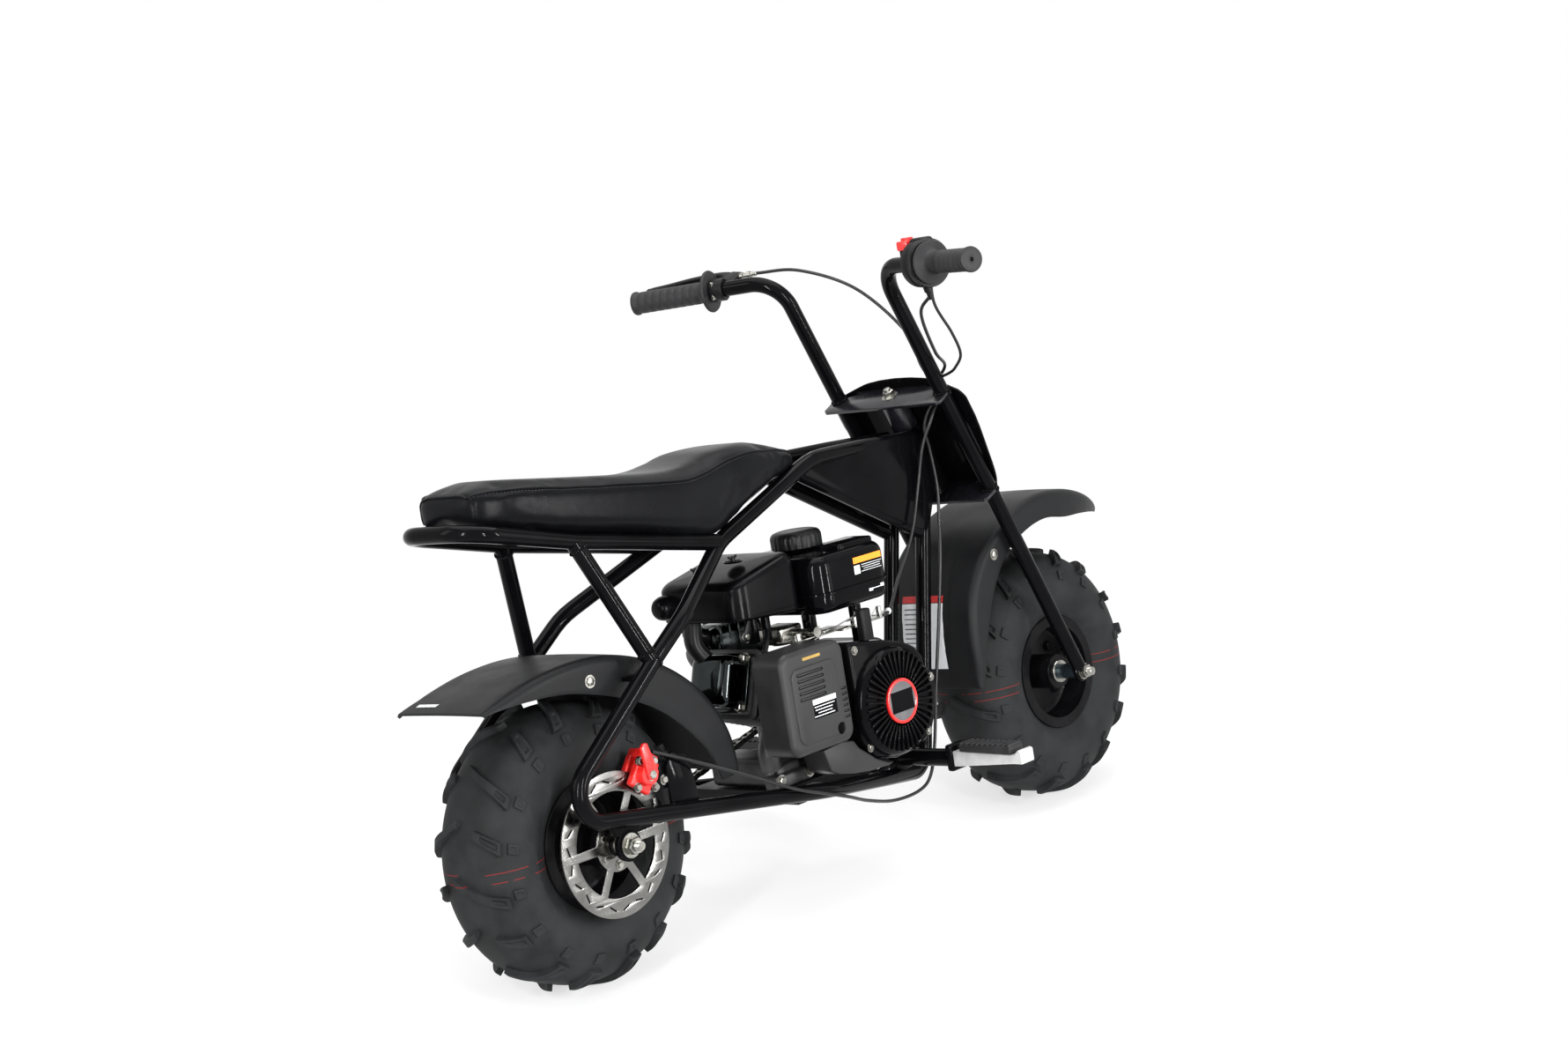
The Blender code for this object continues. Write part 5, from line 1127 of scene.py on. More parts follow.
air = tub((0.356, -0.0085, 0), 0.066, 0.0775, 0.026,
          fillet(0.4035, 0.4880, 0.006, 0.016, 8, 0.0018, [(0.4125, 0.0), (0.4130, 0.0008), (0.4140, 0.0008),
                                                         (0.4145, 0.0)]), lidded, 12)
snout = turned([(0, 0), (0, 0.0085), (0.0015, 0.0115), (0.005, 0.0145), (0.012, 0.0168), (0.030, 0.0172)],
               (0.268, 0.045, 0.437), (1, 0, 0), 40)
dish = turned([(0, 0), (0, 0.011), (0.0018, 0.0135), (0.0030, 0.0140), (0.0030, 0.0125), (0.0012, 0.0110),
               (0.0008, 0)], (0.352, -0.030, 0.4832), (0.05, 0, 1), 32)
legs = [bar([(0.312, 0.030, 0.420), (0.312, 0.030, 0.398), (0.320, 0.027, 0.3885), (0.330, 0.024, 0.3845)],
            0.014, 20),
        block((0.358, -0.040, 0.392), (0.010, 0.016, 0.044), 0.0015),
        block((0.377, -0.048, 0.388), (0.010, 0.010, 0.036), 0.0015)]
settle(weld_to(air, snout, dish, *legs), "air_box", "box_paint", "frame", "air_cleaner")
print("air box", air.dimensions)

# %% [markdown]
# Two wing nuts hold the lid down. Each is a turned boss with two bent ears, made once and copied.

# %% Wing nuts
def wing_nut(place):
    boss = turned([(0, 0), (0, 0.0042), (0.004, 0.0034), (0.0065, 0.0030), (0.0065, 0.0018),
                   (0.009, 0.0018), (0.009, 0)],
                  place, (0, 0, 1), 24)
    ears = [slab([(place[0] + w * 0.002, place[2] + 0.002), (place[0] + w * 0.0085, place[2] + 0.0075),
                  (place[0] + w * 0.0080, place[2] + 0.0095), (place[0] + w * 0.0055, place[2] + 0.0090),
                  (place[0] + w * 0.002, place[2] + 0.0055)], place[1] - 0.0009, place[1] + 0.0009)
                  for w in (-1, 1)]
    return weld_to(boss, *ears)


nuts = [wing_nut((0.320, 0.012, 0.4755)), wing_nut((0.352, -0.030, 0.4842))]
settle(weld_to(*nuts), "air_box_wing_nuts", "black_plastic", "frame")
print("wing nuts", len(nuts))

# %% [markdown]
# The fuel tank is two pressed shells with a rolled flange between them. A raised panel stands on its top, and
# the cap has ribs for the fingers. The labels stay blank: a strip of colour and a pale field.

# %% Fuel tank
flange = [(0.4165, 0.0), (0.4172, -0.0030), (0.4200, -0.0034), (0.4208, -0.0030), (0.4215, 0.0)]
tank = tub((0.503, -0.020, 0), 0.075, 0.090, 0.026, fillet(0.392, 0.4715, 0.012, 0.016, 8, 0.0018, flange),
           fine=12)
pad_top = tub((0.531, -0.070, 0), 0.036, 0.026, 0.008, fillet(0.4695, 0.4782, 0.001, 0.0035, 4))
neck = turned([(0.4700, 0.026), (0.4745, 0.0275), (0.4757, 0.0265), (0.4757, 0.0)], (0.500, -0.012, 0),
              (0, 0, 1), 48)
feet = [block((0.450, -0.060, 0.380), (0.012, 0.014, 0.032), 0.001),
        block((0.545, 0.030, 0.3645), (0.014, 0.016, 0.066), 0.001),
        block((0.545, -0.060, 0.3645), (0.012, 0.014, 0.066), 0.001)]
settle(weld_to(tank, pad_top, neck, *feet), "fuel_can", "tank_gloss", "frame", "fuel_tank")


def cap_edge(u, w):
    a = 2 * math.pi * w
    rib = 0.0009 * (1 if math.cos(24 * a) > 0 else 0)
    z, r = [(0.4765, 0.0340), (0.4775, 0.0352), (0.4925, 0.0352), (0.4965, 0.0345), (0.4990, 0.0318),
            (0.5005, 0.0270), (0.5015, 0.0180), (0.5010, 0.0160), (0.5020, 0.0)][round(u * 8)]
    r = r + (rib if 0 < u < 0.3 else 0)
    return Vector((0.500 + r * math.cos(a), -0.012 + r * math.sin(a), z))


settle(skin(cap_edge, 8, 144), "fuel_cap_ribbed", "black_plastic", "frame", "fuel_cap")
side_y = -0.1102
for name, surface, x, z, wide, tall in (
        ("tank_label_strip", "label_orange", 0.5310, 0.4530, 0.0580, 0.0085),
        ("tank_label_field", "label_white", 0.5080, 0.4400, 0.0120, 0.0120),
        ("tank_mark_near", "label_white", 0.5300, 0.4080, 0.0080, 0.0040),
        ("tank_mark_far", "label_white", 0.5540, 0.4105, 0.0070, 0.0045),
        ("tank_mark_bar", "label_white", 0.5420, 0.4090, 0.0160, 0.0012)):
    settle(block((x, side_y, z), (wide, 0.0005, tall), 0.0002, 1), name, surface, "frame")
lines = [block((0.5385 - 0.0012 * (k % 2), side_y, 0.4452 - 0.0030 * k),
               (0.0420 - 0.0040 * (k % 3), 0.0004, 0.0007), 0)
         for k in range(4)]
settle(weld_to(*lines), "tank_label_rules", "label_white", "frame")
print("tank", tank.dimensions)

# %% [markdown]
# The shroud is glossy black plastic round the flywheel. The recoil starter stands on it as a low drum with
# slots between radial ribs that let air in. One rib is modelled and copied round the drum by angle.

# %% Shroud and starter
CRANK = Vector((0.515, 0, 0.254))
HOUSING = [(0.4445, 0.2120), (0.4425, 0.3490), (0.4550, 0.3500), (0.5160, 0.3398), (0.5550, 0.3296),
           (0.5800, 0.3164), (0.5927, 0.3013), (0.5950, 0.2857), (0.6080, 0.2763), (0.6125, 0.2596),
           (0.6085, 0.2392), (0.5990, 0.2100), (0.5862, 0.1890), (0.5509, 0.1763), (0.5087, 0.1747),
           (0.4655, 0.1856)]
shroud = soften(slab(HOUSING, -0.1300, -0.0760), 0.0055, 4, 20)
drum = turned([(0.1280, 0.0760), (0.1340, 0.0755), (0.1395, 0.0735), (0.1425, 0.0700), (0.1445, 0.0680),
               (0.1400, 0.0670), (0.1395, 0.0345), (0.1440, 0.0338), (0.1462, 0.0325), (0.1466, 0.0300),
               (0.1466, 0.0)],
              (CRANK.x, 0, CRANK.z), (0, -1, 0), 96)
ribs = []
for k in range(40):
    a = 2 * math.pi * k / 40
    rib = soften(slab([(0.0340, -0.0013), (0.0345, 0.0013), (0.0690, 0.0019), (0.0695, -0.0019)], -0.1475,
                      -0.1385), 0.0006, 2)
    rib.rotation_euler = (0, a, 0)
    rib.location = (CRANK.x, 0, CRANK.z)
    ribs.append(rib)
settle(weld_to(shroud, drum, *ribs), "starter_shroud", "gloss_paint", "frame", "starter_housing")
ring = turned([(0.1464, 0.0310), (0.1496, 0.0310), (0.1500, 0.0300), (0.1500, 0.0280), (0.1494, 0.0272),
               (0.1464, 0.0272), (0.1464, 0.0310)], (CRANK.x, 0, CRANK.z), (0, -1, 0), 72)
settle(ring, "badge_ring", "red_enamel", "frame", "starter_badge")
face = turned([(0.1464, 0.0272), (0.1488, 0.0272), (0.1490, 0.0)], (CRANK.x, 0, CRANK.z), (0, -1, 0), 64)
settle(face, "badge_face", "badge_grey", "frame")
band = block((CRANK.x, -0.1491, CRANK.z), (0.0455, 0.0008, 0.0290), 0.0003, 1)
settle(band, "badge_band", "gloss_paint", "frame")
cover_bolts = [bolt((x, -0.1300, z), (0, -1, 0), 0.0045, 0.0040, 0.0062) for x, z in
               ((0.4560, 0.2020), (0.4540, 0.3380), (0.5800, 0.1960), (0.6010, 0.2680))]
settle(weld_to(*cover_bolts), "shroud_bolts", "zinc_plate", "frame")
print("starter ribs", len(ribs))

# %% [markdown]
# The rope's grip is a small moulded handle on the shroud's top. The side cover is dark grey plastic with a
# raised panel, long louvres on its left and short ones on its right. A plain amber bar and a two-tone field
# stand where the real cover has its labels.

# %% Covers
grip = tub((0.492, -0.122, 0), 0.010, 0.007, 0.004, fillet(0.3445, 0.3885, 0.002, 0.003, 4))
cord = bar([(0.492, -0.122, 0.336), (0.492, -0.122, 0.346)], 0.0024, 12)
settle(weld_to(grip, cord), "starter_handle", "black_plastic", "frame", "starter_grip")


def on_side(p):
    """Lays a tub on its side, so that its height becomes the way out to the right."""
    return Vector((p.x, -p.z, p.y))


def row(x, first, step, count, wide, tall, deep=0.0030):
    """Rounded cutters one under the other."""
    return [block((x, -0.1495, first - step * k), (wide, deep * 2, tall), tall * 0.45, 3)
            for k in range(count)]


cover = tub((0.352, 0.296, 0), 0.0625, 0.0700, 0.018, fillet(0.0950, 0.1480, 0.001, 0.0085, 8), on_side, 12)
panel = tub((0.349, 0.2915, 0), 0.0450, 0.0520, 0.014, fillet(0.1460, 0.1500, 0.001, 0.0026, 5), on_side, 12)
weld_to(cover, panel)
cutters = (row(0.3405, 0.3340, 0.0083, 5, 0.0520, 0.0042)
           + row(0.4025, 0.2985, 0.0077, 6, 0.0110, 0.0040, 0.0050))
cutters.append(turned([(0.130, 0), (0.130, 0.0085), (0.160, 0.0085), (0.160, 0)], (0.3860, 0, 0.2470),
                      (0, -1, 0), 32))
cutter = weld_to(*cutters)
use(cover, "BOOLEAN", operation="DIFFERENCE", object=cutter, solver="EXACT", use_self=True)
take(cutter)
bpy.ops.object.delete()
bars = [block((0.3405, -0.1492, 0.3340 - 0.0083 * k), (0.0475, 0.0014, 0.0022), 0.0005, 2) for k in range(5)]
posts = [turned([(0.0543, 0), (0.0543, 0.006), (0.0960, 0.006)], (x, 0, z), (0, -1, 0), 24)
         for x, z in ((0.3588, 0.2811), (0.3780, 0.3337))]
settle(weld_to(cover, *bars, *posts), "louvred_cover", "cover_plastic", "frame", "side_cover")
for name, surface, x, y, z, wide, tall in (
        ("cover_label_bar", "label_amber", 0.3495, -0.1480, 0.3530, 0.0350, 0.0040),
        ("cover_label_header", "label_white", 0.3600, -0.1502, 0.2930, 0.0460, 0.0070),
        ("cover_label_dark", "gloss_paint", 0.3600, -0.1501, 0.2800, 0.0460, 0.0190)):
    settle(block((x, y, z), (wide, 0.0007, tall), 0.0002, 1), name, surface, "frame")
lines = [block((0.3585 - 0.0020 * (k % 2), -0.1505, 0.2862 - 0.0042 * k),
               (0.0400 - 0.0060 * (k % 3), 0.0004, 0.0011), 0)
         for k in range(4)]
settle(weld_to(*lines), "cover_label_rules", "label_white", "frame")
skirt = slab([(0.372, 0.1905), (0.362, 0.2215), (0.380, 0.2232), (0.400, 0.2246), (0.424, 0.2200),
              (0.433, 0.2080), (0.4545, 0.1925), (0.4640, 0.1850), (0.486, 0.1745), (0.500, 0.1725),
              (0.486, 0.1700), (0.453, 0.1715), (0.418, 0.1760), (0.388, 0.1825)], -0.1320, -0.0880)
settle(soften(skirt, 0.0030, 3, 20), "lower_skirt", "cover_plastic", "frame", "lower_cover")
print("cover", cover.dimensions)

# %% [markdown]
# The cylinder's head points back. Its rocker cover is pressed steel with a dark bright finish, held by two
# bolts on a flange. It is modelled lying along the cylinder and then turned up with it.

# %% Rocker cover
CYL = math.radians(20)
CYL_DIR = Vector((-math.cos(CYL), 0, math.sin(CYL)))
ACROSS = Vector((math.sin(CYL), 0, math.cos(CYL)))


def on_cylinder(distance, up=0.0, y=0.0):
    return CRANK + CYL_DIR * distance + ACROSS * up + Vector((0, y, 0))


def along_cylinder(p):
    return on_cylinder(p.z, p.x, p.y)


lid = tub((0, -0.006, 0), 0.0360, 0.0370, 0.016,
          fillet(0.2005, 0.2405, 0.001, 0.0150, 9, 0.0016, (), 0.018), along_cylinder, 14)
foot = tub((0, -0.006, 0), 0.0410, 0.0420, 0.012, fillet(0.1990, 0.2035, 0.0006, 0.0012, 3), along_cylinder)
settle(weld_to(lid, foot), "rocker_lid", "dark_chrome", "frame", "rocker_cover")
heads = [bolt(on_cylinder(0.2035, up, -0.040), CYL_DIR, 0.0062, 0.0085, 0.0085) for up in (-0.033, 0.033)]
settle(weld_to(*heads), "rocker_bolts", "zinc_plate", "frame")
fins = []
for k in range(9):
    fins.append(tub((0, 0, 0), 0.0480, 0.0540, 0.010,
                    fillet(0.0985 + 0.0108 * k, 0.1013 + 0.0108 * k, 0.0007, 0.0007, 2),
                    along_cylinder))
settle(weld_to(*fins), "cylinder_fins", "cast_metal", "frame")
print("fins", len(fins))

# %% [markdown]
# Under the covers are castings: the crankcase with its foot, the exhaust's bend, and a head with a spark
# plug. They are rough grey metal, so plain blocks with wide bevels are enough where they are half hidden.

# %% Castings
SLOPE = (0, CYL, 0)
case = block((0.508, -0.010, 0.255), (0.176, 0.130, 0.152), 0.020, 5)
barrel = block(on_cylinder(0.125), (0.130, 0.092, 0.078), 0.008, 3, SLOPE)
parts = [barrel, block((0.430, -0.006, 0.193), (0.190, 0.125, 0.026), 0.005, 3),
         block((0.350, -0.0700, 0.186), (0.070, 0.024, 0.018), 0.003, 3),
         block((0.352, -0.006, 0.198), (0.060, 0.110, 0.040), 0.008, 4),
         turned([(0.050, 0), (0.050, 0.045), (0.059, 0.044), (0.061, 0.042), (0.061, 0)],
                (CRANK.x, 0, CRANK.z), (0, 1, 0), 48),
         bar(smooth_through([(0.355, 0.030, 0.335), (0.350, 0.062, 0.345), (0.364, 0.086, 0.357),
                             (0.3797, 0.086, 0.357)], 24),
             0.011, 24),
         bar(smooth_through([(0.362, -0.060, 0.262), (0.338, -0.066, 0.252), (0.326, -0.066, 0.228),
                             (0.330, -0.062, 0.205)], 20),
             0.0150, 28),
         block(on_cylinder(0.186, 0, -0.004), (0.020, 0.086, 0.084), 0.010, 4, SLOPE)]
settle(weld_to(case, *parts), "castings", "cast_metal", "frame", "engine_case")
heads = [bolt((x, -0.0822, 0.1885), (0, -1, 0), 0.0062, 0.0050, 0.0085) for x in (0.3240, 0.3810)]
heads.append(bolt((0.3420, -0.0420, 0.3830), (0, -1, 0), 0.0050, 0.0040, 0.0080))
settle(weld_to(*heads), "foot_bolts", "zinc_plate", "frame")
exhaust = block((0.4350, 0.0860, 0.3580), (0.1100, 0.050, 0.062), 0.016, 5)
pipe = turned([(0.480, 0), (0.480, 0.009), (0.502, 0.009), (0.502, 0.0072), (0.492, 0.0072), (0.492, 0)],
              (0, 0.098, 0.340), (1, 0, 0), 32)
ribs = [block((0.398 + 0.018 * k, 0.0860, 0.3580), (0.004, 0.0512, 0.0632), 0.0008, 2) for k in range(5)]
settle(weld_to(exhaust, pipe, *ribs), "exhaust_box", "dark_chrome", "frame", "muffler")
print("castings", case.dimensions)

# %% [markdown]
# Between the tank and the shroud sit the carburettor and the governor: bright little levers, two thin rods, a
# spring, and a bracket. A breather hose and the spark plug's lead bend round them in black rubber.

# %% Governor, hose and lead
body = block((0.4200, -0.030, 0.3700), (0.044, 0.046, 0.024), 0.004, 3)
bowl = turned([(0, 0), (0, 0.0150), (0.0100, 0.0150), (0.0130, 0.0125), (0.0130, 0)],
              (0.4180, -0.032, 0.3690), (0, 0, -1), 32)
shelf = soften(slab([(0.396, -0.080), (0.505, -0.080), (0.505, -0.042), (0.470, -0.040), (0.396, -0.044)],
                    0.3605, 0.3632, "XY"), 0.0006)
screw = turned([(0.050, 0), (0.050, 0.005), (0.096, 0.005), (0.097, 0.007), (0.100, 0.007), (0.100, 0)],
               (0.420, 0, 0.3720), (0, -1, 0), 20)
plate_far = soften(slab([(0.486, -0.084), (0.575, -0.084), (0.575, -0.070), (0.540, -0.068),
                         (0.486, -0.070)], 0.3590, 0.3612, "XY"), 0.0005)
hook = block((0.400, -0.0780, 0.3580), (0.016, 0.0025, 0.028), 0.0008)
settle(weld_to(body, bowl, shelf, screw, plate_far, hook), "carburettor_and_bracket", "zinc_plate", "frame",
       "carburettor")
rods = [bar(smooth_through([(0.396, -0.0860, 0.3560), (0.401, -0.0860, 0.3640), (0.420, -0.0860, 0.3590),
                            (0.505, -0.0860, 0.3730), (0.512, -0.0850, 0.3660)], 40), 0.0010, 8),
        bar([(0.500, -0.0800, 0.3700), (0.570, -0.0780, 0.3640), (0.592, -0.0760, 0.3660)], 0.0011, 8),
        bar([(0.555, -0.0720, 0.3580), (0.590, -0.0690, 0.3800)], 0.0007, 8),
        block((0.397, -0.0870, 0.3600), (0.0080, 0.0020, 0.0300), 0.0008),
        block((0.404, -0.0880, 0.3480), (0.0120, 0.0020, 0.0070), 0.0008),
        block((0.512, -0.0880, 0.3660), (0.0100, 0.0060, 0.0150), 0.0010),
        block((0.566, -0.0850, 0.3690), (0.0060, 0.0060, 0.0170), 0.0010),
        turned([(0, 0), (0, 0.0042), (0.004, 0.0042), (0.006, 0.0024), (0.010, 0.0022), (0.010, 0)],
               (0.5180, -0.0850, 0.3700), (0, 0, 1), 16),
        turned([(0, 0), (0, 0.0036), (0.005, 0.0036), (0.006, 0.0020), (0.009, 0.0020), (0.009, 0)],
               (0.4560, -0.0700, 0.3635), (0, 0, 1), 16)]
spring = [(0.440 + 0.034 * k / 139, -0.0830 + 0.0026 * math.cos(k / 2.2),
           0.3655 + 0.0026 * math.sin(k / 2.2)) for k in range(140)]
rods.append(bar(spring, 0.0005, 8))
settle(weld_to(*rods), "governor", "bright_zinc", "frame")
bpy.ops.mesh.primitive_uv_sphere_add(segments=20, ring_count=12, radius=0.0048,
                                     location=(0.5960, -0.0755, 0.3640))
settle(bpy.context.object, "choke_knob", "label_white", "frame")
hose = bar(smooth_through([(0.338, -0.060, 0.316), (0.346, -0.080, 0.330), (0.366, -0.086, 0.331),
                           (0.384, -0.080, 0.325), (0.392, -0.070, 0.310)], 40), 0.0068, 24)
lead = bar(smooth_through([(0.372, -0.052, 0.385), (0.348, -0.072, 0.372), (0.330, -0.074, 0.345),
                           (0.330, -0.066, 0.315), (0.340, -0.058, 0.300)], 40), 0.0036, 16)
boot = bar([(0.340, -0.058, 0.300), (0.345, -0.052, 0.286)], 0.0085, 20)
neck = bar(smooth_through([(0.306, 0.020, 0.412), (0.300, 0.016, 0.380), (0.316, 0.006, 0.352),
                           (0.334, 0.0, 0.340)], 24), 0.0125, 24)
strap = soften(slab([(0.352, 0.412), (0.364, 0.412), (0.352, 0.384), (0.346, 0.376), (0.336, 0.376),
                     (0.336, 0.386)], -0.0440, -0.0410), 0.0006)
settle(weld_to(hose, lead, boot, neck, strap), "hose_and_lead", "black_plastic", "frame")
print("governor", len(rods), "pieces")

# %% [markdown]
# The fork is two bent tubes that run straight on as the handlebar. Two sheet plates join them above and below
# the steering head, and each joint is welded. The legs are modelled right first and mirrored by their path.

# %% Fork legs
LEG_Y = 0.0985


def on_leg(distance, y=0.0):
    return Vector((WHEELBASE, y, TYRE_R)) - AXIS * distance


def off_axis(s, ahead, y=0.0):
    return HEAD + AXIS * s + AHEAD * ahead + Vector((0, y, 0))


BAR_TOP = on_leg(0.722)
BAR_END = Vector((WHEELBASE - 0.383, 0.3205, 0.8375))


def leg_path(w):
    return rounded([on_leg(0.0, w * LEG_Y), on_leg(0.722, w * LEG_Y),
                    (BAR_END.x, w * BAR_END.y, BAR_END.z)], [0.052], 0.06)


for side, w in (("left", 1), ("right", -1)):
    leg = bar(leg_path(w), TUBE_R, 32)
    lug = turned([(0.0953, 0.0060), (0.0953, 0.0145), (0.0960, 0.0152), (0.1010, 0.0152), (0.1016, 0.0145),
                  (0.1016, 0.0060), (0.0953, 0.0060)], (WHEELBASE, 0, TYRE_R), (0, w, 0), 32)
    welds = [bead(off_axis(s, 0, w * LEG_Y), AXIS, TUBE_R) for s in (-0.0035, 0.0035, 0.1665, 0.1735)]
    settle(weld_to(leg, lug, *welds), "fork_tube_" + side, "gloss_paint", "steering", "fork_leg_" + side)
print("fork legs")


def cross_plate(s):
    """A plate square to the steering axis, drawn flat and then laid in its place."""
    outline = [(-0.0300, -0.1060), (-0.0250, -0.1115), (-0.004, -0.1115), (0.0225, -0.052), (0.0225, 0.052),
               (-0.004, 0.1115), (-0.0250, 0.1115), (-0.0300, 0.1060)]
    found = soften(slab(outline, -0.00225, 0.00225, "XY"), 0.0008, 2)
    found.matrix_world = (Matrix.Translation(off_axis(s, 0))
                          @ Matrix((AHEAD, Vector((0, 1, 0)), -AXIS)).transposed().to_4x4())
    return found


stem = turned([(-0.002, 0), (-0.002, 0.0110), (0.0002, 0.0188), (0.0010, 0.0190), (0.0520, 0.0190),
               (0.0530, 0.0182), (0.0532, 0.0110), (0.172, 0.0110), (0.172, 0)], HEAD, AXIS, 40)
seam = bead(off_axis(0.0035, 0), AXIS, 0.0190)
settle(weld_to(cross_plate(0.0), cross_plate(0.17), stem, seam), "fork_plates", "plate_paint", "steering",
       "fork_stem")
top = bolt(HEAD - AXIS * 0.0022, -AXIS, 0.0085, 0.0095, 0.0125)
stud = turned([(0.008, 0), (0.008, 0.0050), (0.0125, 0.0050), (0.0130, 0.0042), (0.0130, 0)],
              HEAD - AXIS * 0.0022, -AXIS, 20)
low = bolt(HEAD + AXIS * 0.1722, AXIS, 0.0095, 0.0120, 0.0135)
settle(weld_to(top, stud, low), "stem_bolts", "zinc_plate", "steering")
print("plates and stem")

# %% [markdown]
# The number board is one sheet of thin plastic, bent back at both sides. Its outline comes from the
# photograph. Points on the outline are joined by a smooth curve, so that the sheet has no corners along its
# edge.

# %% Number board
EDGES = [(0.1260, -0.018, -0.050), (0.1230, -0.0125, -0.074), (0.1170, -0.0060, -0.108),
         (0.1100, -0.0030, -0.145), (0.1030, -0.0005, -0.166), (0.0950, 0.0024, -0.1740),
         (0.0600, 0.0110, -0.1880), (0.0380, 0.0142, -0.1960), (0.0270, 0.0154, -0.1900),
         (0.0, 0.0165, -0.1880)]
HALF = smooth_through(EDGES, 40)
ACROSS_BOARD = [(p.x, p.y, p.z) for p in HALF] + [(-p.x, p.y, p.z) for p in reversed(HALF[:-1])]


def on_board(u, w):
    v, high, low = ACROSS_BOARD[round(u * (len(ACROSS_BOARD) - 1))]
    back = 0.0228 - 0.20 * max(0.0, abs(v) - 0.060)
    step = round(w * 20) % 20
    if step <= 8:
        at, ahead = step / 8, 0.0
    elif step < 10:
        at, ahead = 1.0 + (0.004 if step == 9 else 0), 0.0015
    elif step <= 18:
        at, ahead = (18 - step) / 8, 0.0030
    else:
        at, ahead = -0.004, 0.0015
    return off_axis(-(high + (low - high) * at), back + ahead, v)


board = skin(on_board, len(ACROSS_BOARD) - 1, 20)
settle(board, "number_plate", "gloss_paint", "steering", "number_board")
print("number board", board.dimensions)


# %% [markdown]
# Grips are moulded rubber sleeves: an end flange with a small hole, a ribbed barrel and a hand guard disc.

# %% Grips
def along_bar(w, distance):
    end = Vector((BAR_END.x, w * BAR_END.y, BAR_END.z))
    inward = (BAR_TOP + Vector((0, w * LEG_Y, 0)) - end).normalized()
    return end + inward * distance, inward


def grip_sleeve(w, length, flange):
    profile = [(0.0020, 0.0), (0.0020, 0.0024), (-0.0028, 0.0030), (-0.0035, 0.0042), (-0.0035, 0.0145),
               (-0.0026, 0.0168), (-0.0005, 0.0176), (0.0020, 0.0174), (0.0042, 0.0160)]
    count = int((length - 0.026) / 0.0125)
    for k in range(count):
        at = 0.008 + k * 0.0125
        profile += [(at, 0.0154), (at + 0.0012, 0.0160), (at + 0.0095, 0.0160), (at + 0.0108, 0.0154)]
    profile += [(length - 0.013, 0.0160), (length - 0.009, 0.0190), (length - 0.0065, flange - 0.004),
                (length - 0.0045, flange - 0.0006), (length - 0.0025, flange),
                (length - 0.0005, flange - 0.0010),
                (length, flange - 0.004), (length, 0.0114)]
    spot, inward = along_bar(w, 0)
    return turned(profile, spot, inward, 56)


settle(grip_sleeve(1, 0.1260, 0.0310), "left_grip", "grip_rubber", "steering", "grip_left")
settle(grip_sleeve(-1, 0.1000, 0.0300), "right_grip", "grip_rubber", "steering", "grip_right")


def clamp(w, at, rows, steps=40):
    spot, inward = along_bar(w, at)
    return turned(rows, spot, inward, steps)


spot, inward = along_bar(-1, 0.1003)
housing = clamp(-1, 0.1003, [(0, 0.0114), (0, 0.0322), (0.0015, 0.0335), (0.0070, 0.0337), (0.0085, 0.0325),
                             (0.0100, 0.0325), (0.0115, 0.0334), (0.0250, 0.0330), (0.0285, 0.0300),
                             (0.0300, 0.0250), (0.0300, 0.0114)])
block_top = block(spot + inward * 0.0175 + Vector((0.002, 0, 0.0235)), (0.026, 0.025, 0.024), 0.005, 3)
spout = turned([(0, 0), (0, 0.0065), (0.010, 0.0060), (0.012, 0.0042), (0.022, 0.0038), (0.022, 0)],
               spot + inward * 0.0180 + Vector((0, 0, -0.0290)), (0.25, 0, -1), 24)
settle(weld_to(housing, block_top, spout), "throttle_body", "black_plastic", "steering", "throttle_housing")
button = block(spot + inward * 0.0410 + Vector((-0.004, 0, 0.0270)), (0.036, 0.019, 0.013), 0.0025, 3)
rocker = block(spot + inward * 0.0410 + Vector((-0.008, 0, 0.0345)), (0.014, 0.012, 0.006), 0.0015, 3)
settle(weld_to(button, rocker), "kill_button", "red_enamel", "steering", "kill_switch")
base = clamp(-1, 0.1345, [(0, 0.0114), (0, 0.0180), (0.001, 0.0190), (0.0110, 0.0190), (0.0120, 0.0180),
                          (0.0120, 0.0114)])
pod = block(spot + inward * 0.0410 + Vector((-0.002, 0, 0.0130)), (0.034, 0.0180, 0.024), 0.004, 3)
settle(weld_to(base, pod), "kill_clamp", "black_plastic", "steering")

# %% [markdown]
# The brake lever's perch is clamped on the left bar with two small screws. The lever is a curved blade with a
# ball at its end, and the cable leaves through an adjuster with a lock nut.

# %% Brake lever
spot, inward = along_bar(1, 0.1275)
LEVER = [(0.030, 0.010), (0.044, 0.006), (0.050, -0.020), (0.046, -0.060), (0.036, -0.100), (0.030, -0.128),
         (0.022, -0.126), (0.028, -0.098), (0.037, -0.060), (0.040, -0.020), (0.034, -0.006), (0.018, 0.000)]
curve = smooth_through(LEVER + [LEVER[0]], 44)[:-1]
blade = soften(slab([(p[0], -p[1]) for p in [(q.x, q.y) for q in curve]], 0.0, 0.009, "XY"), 0.0028, 4, 40)
turn = Matrix((Vector((0.97, 0.24, 0)).normalized(), -inward, Vector((0, 0, 1)))).transposed().to_4x4()
TIP = Matrix.Translation(spot) @ Matrix.Rotation(math.radians(24), 4, inward) @ Matrix.Translation(-spot)
blade.matrix_world = TIP @ Matrix.Translation(spot + inward * 0.010 + Vector((0, 0, -0.0035))) @ turn
bpy.ops.mesh.primitive_uv_sphere_add(segments=24, ring_count=14, radius=0.0068)
ball = bpy.context.object
ball.location = TIP @ (spot + inward * 0.010 + turn.to_3x3() @ Vector((0.0262, 0.127, 0))
                       + Vector((0, 0, 0.001)))
perch = clamp(1, 0.1275, [(0, 0.0114), (0, 0.0155), (0.001, 0.0165), (0.019, 0.0165), (0.020, 0.0155),
                          (0.020, 0.0114)])
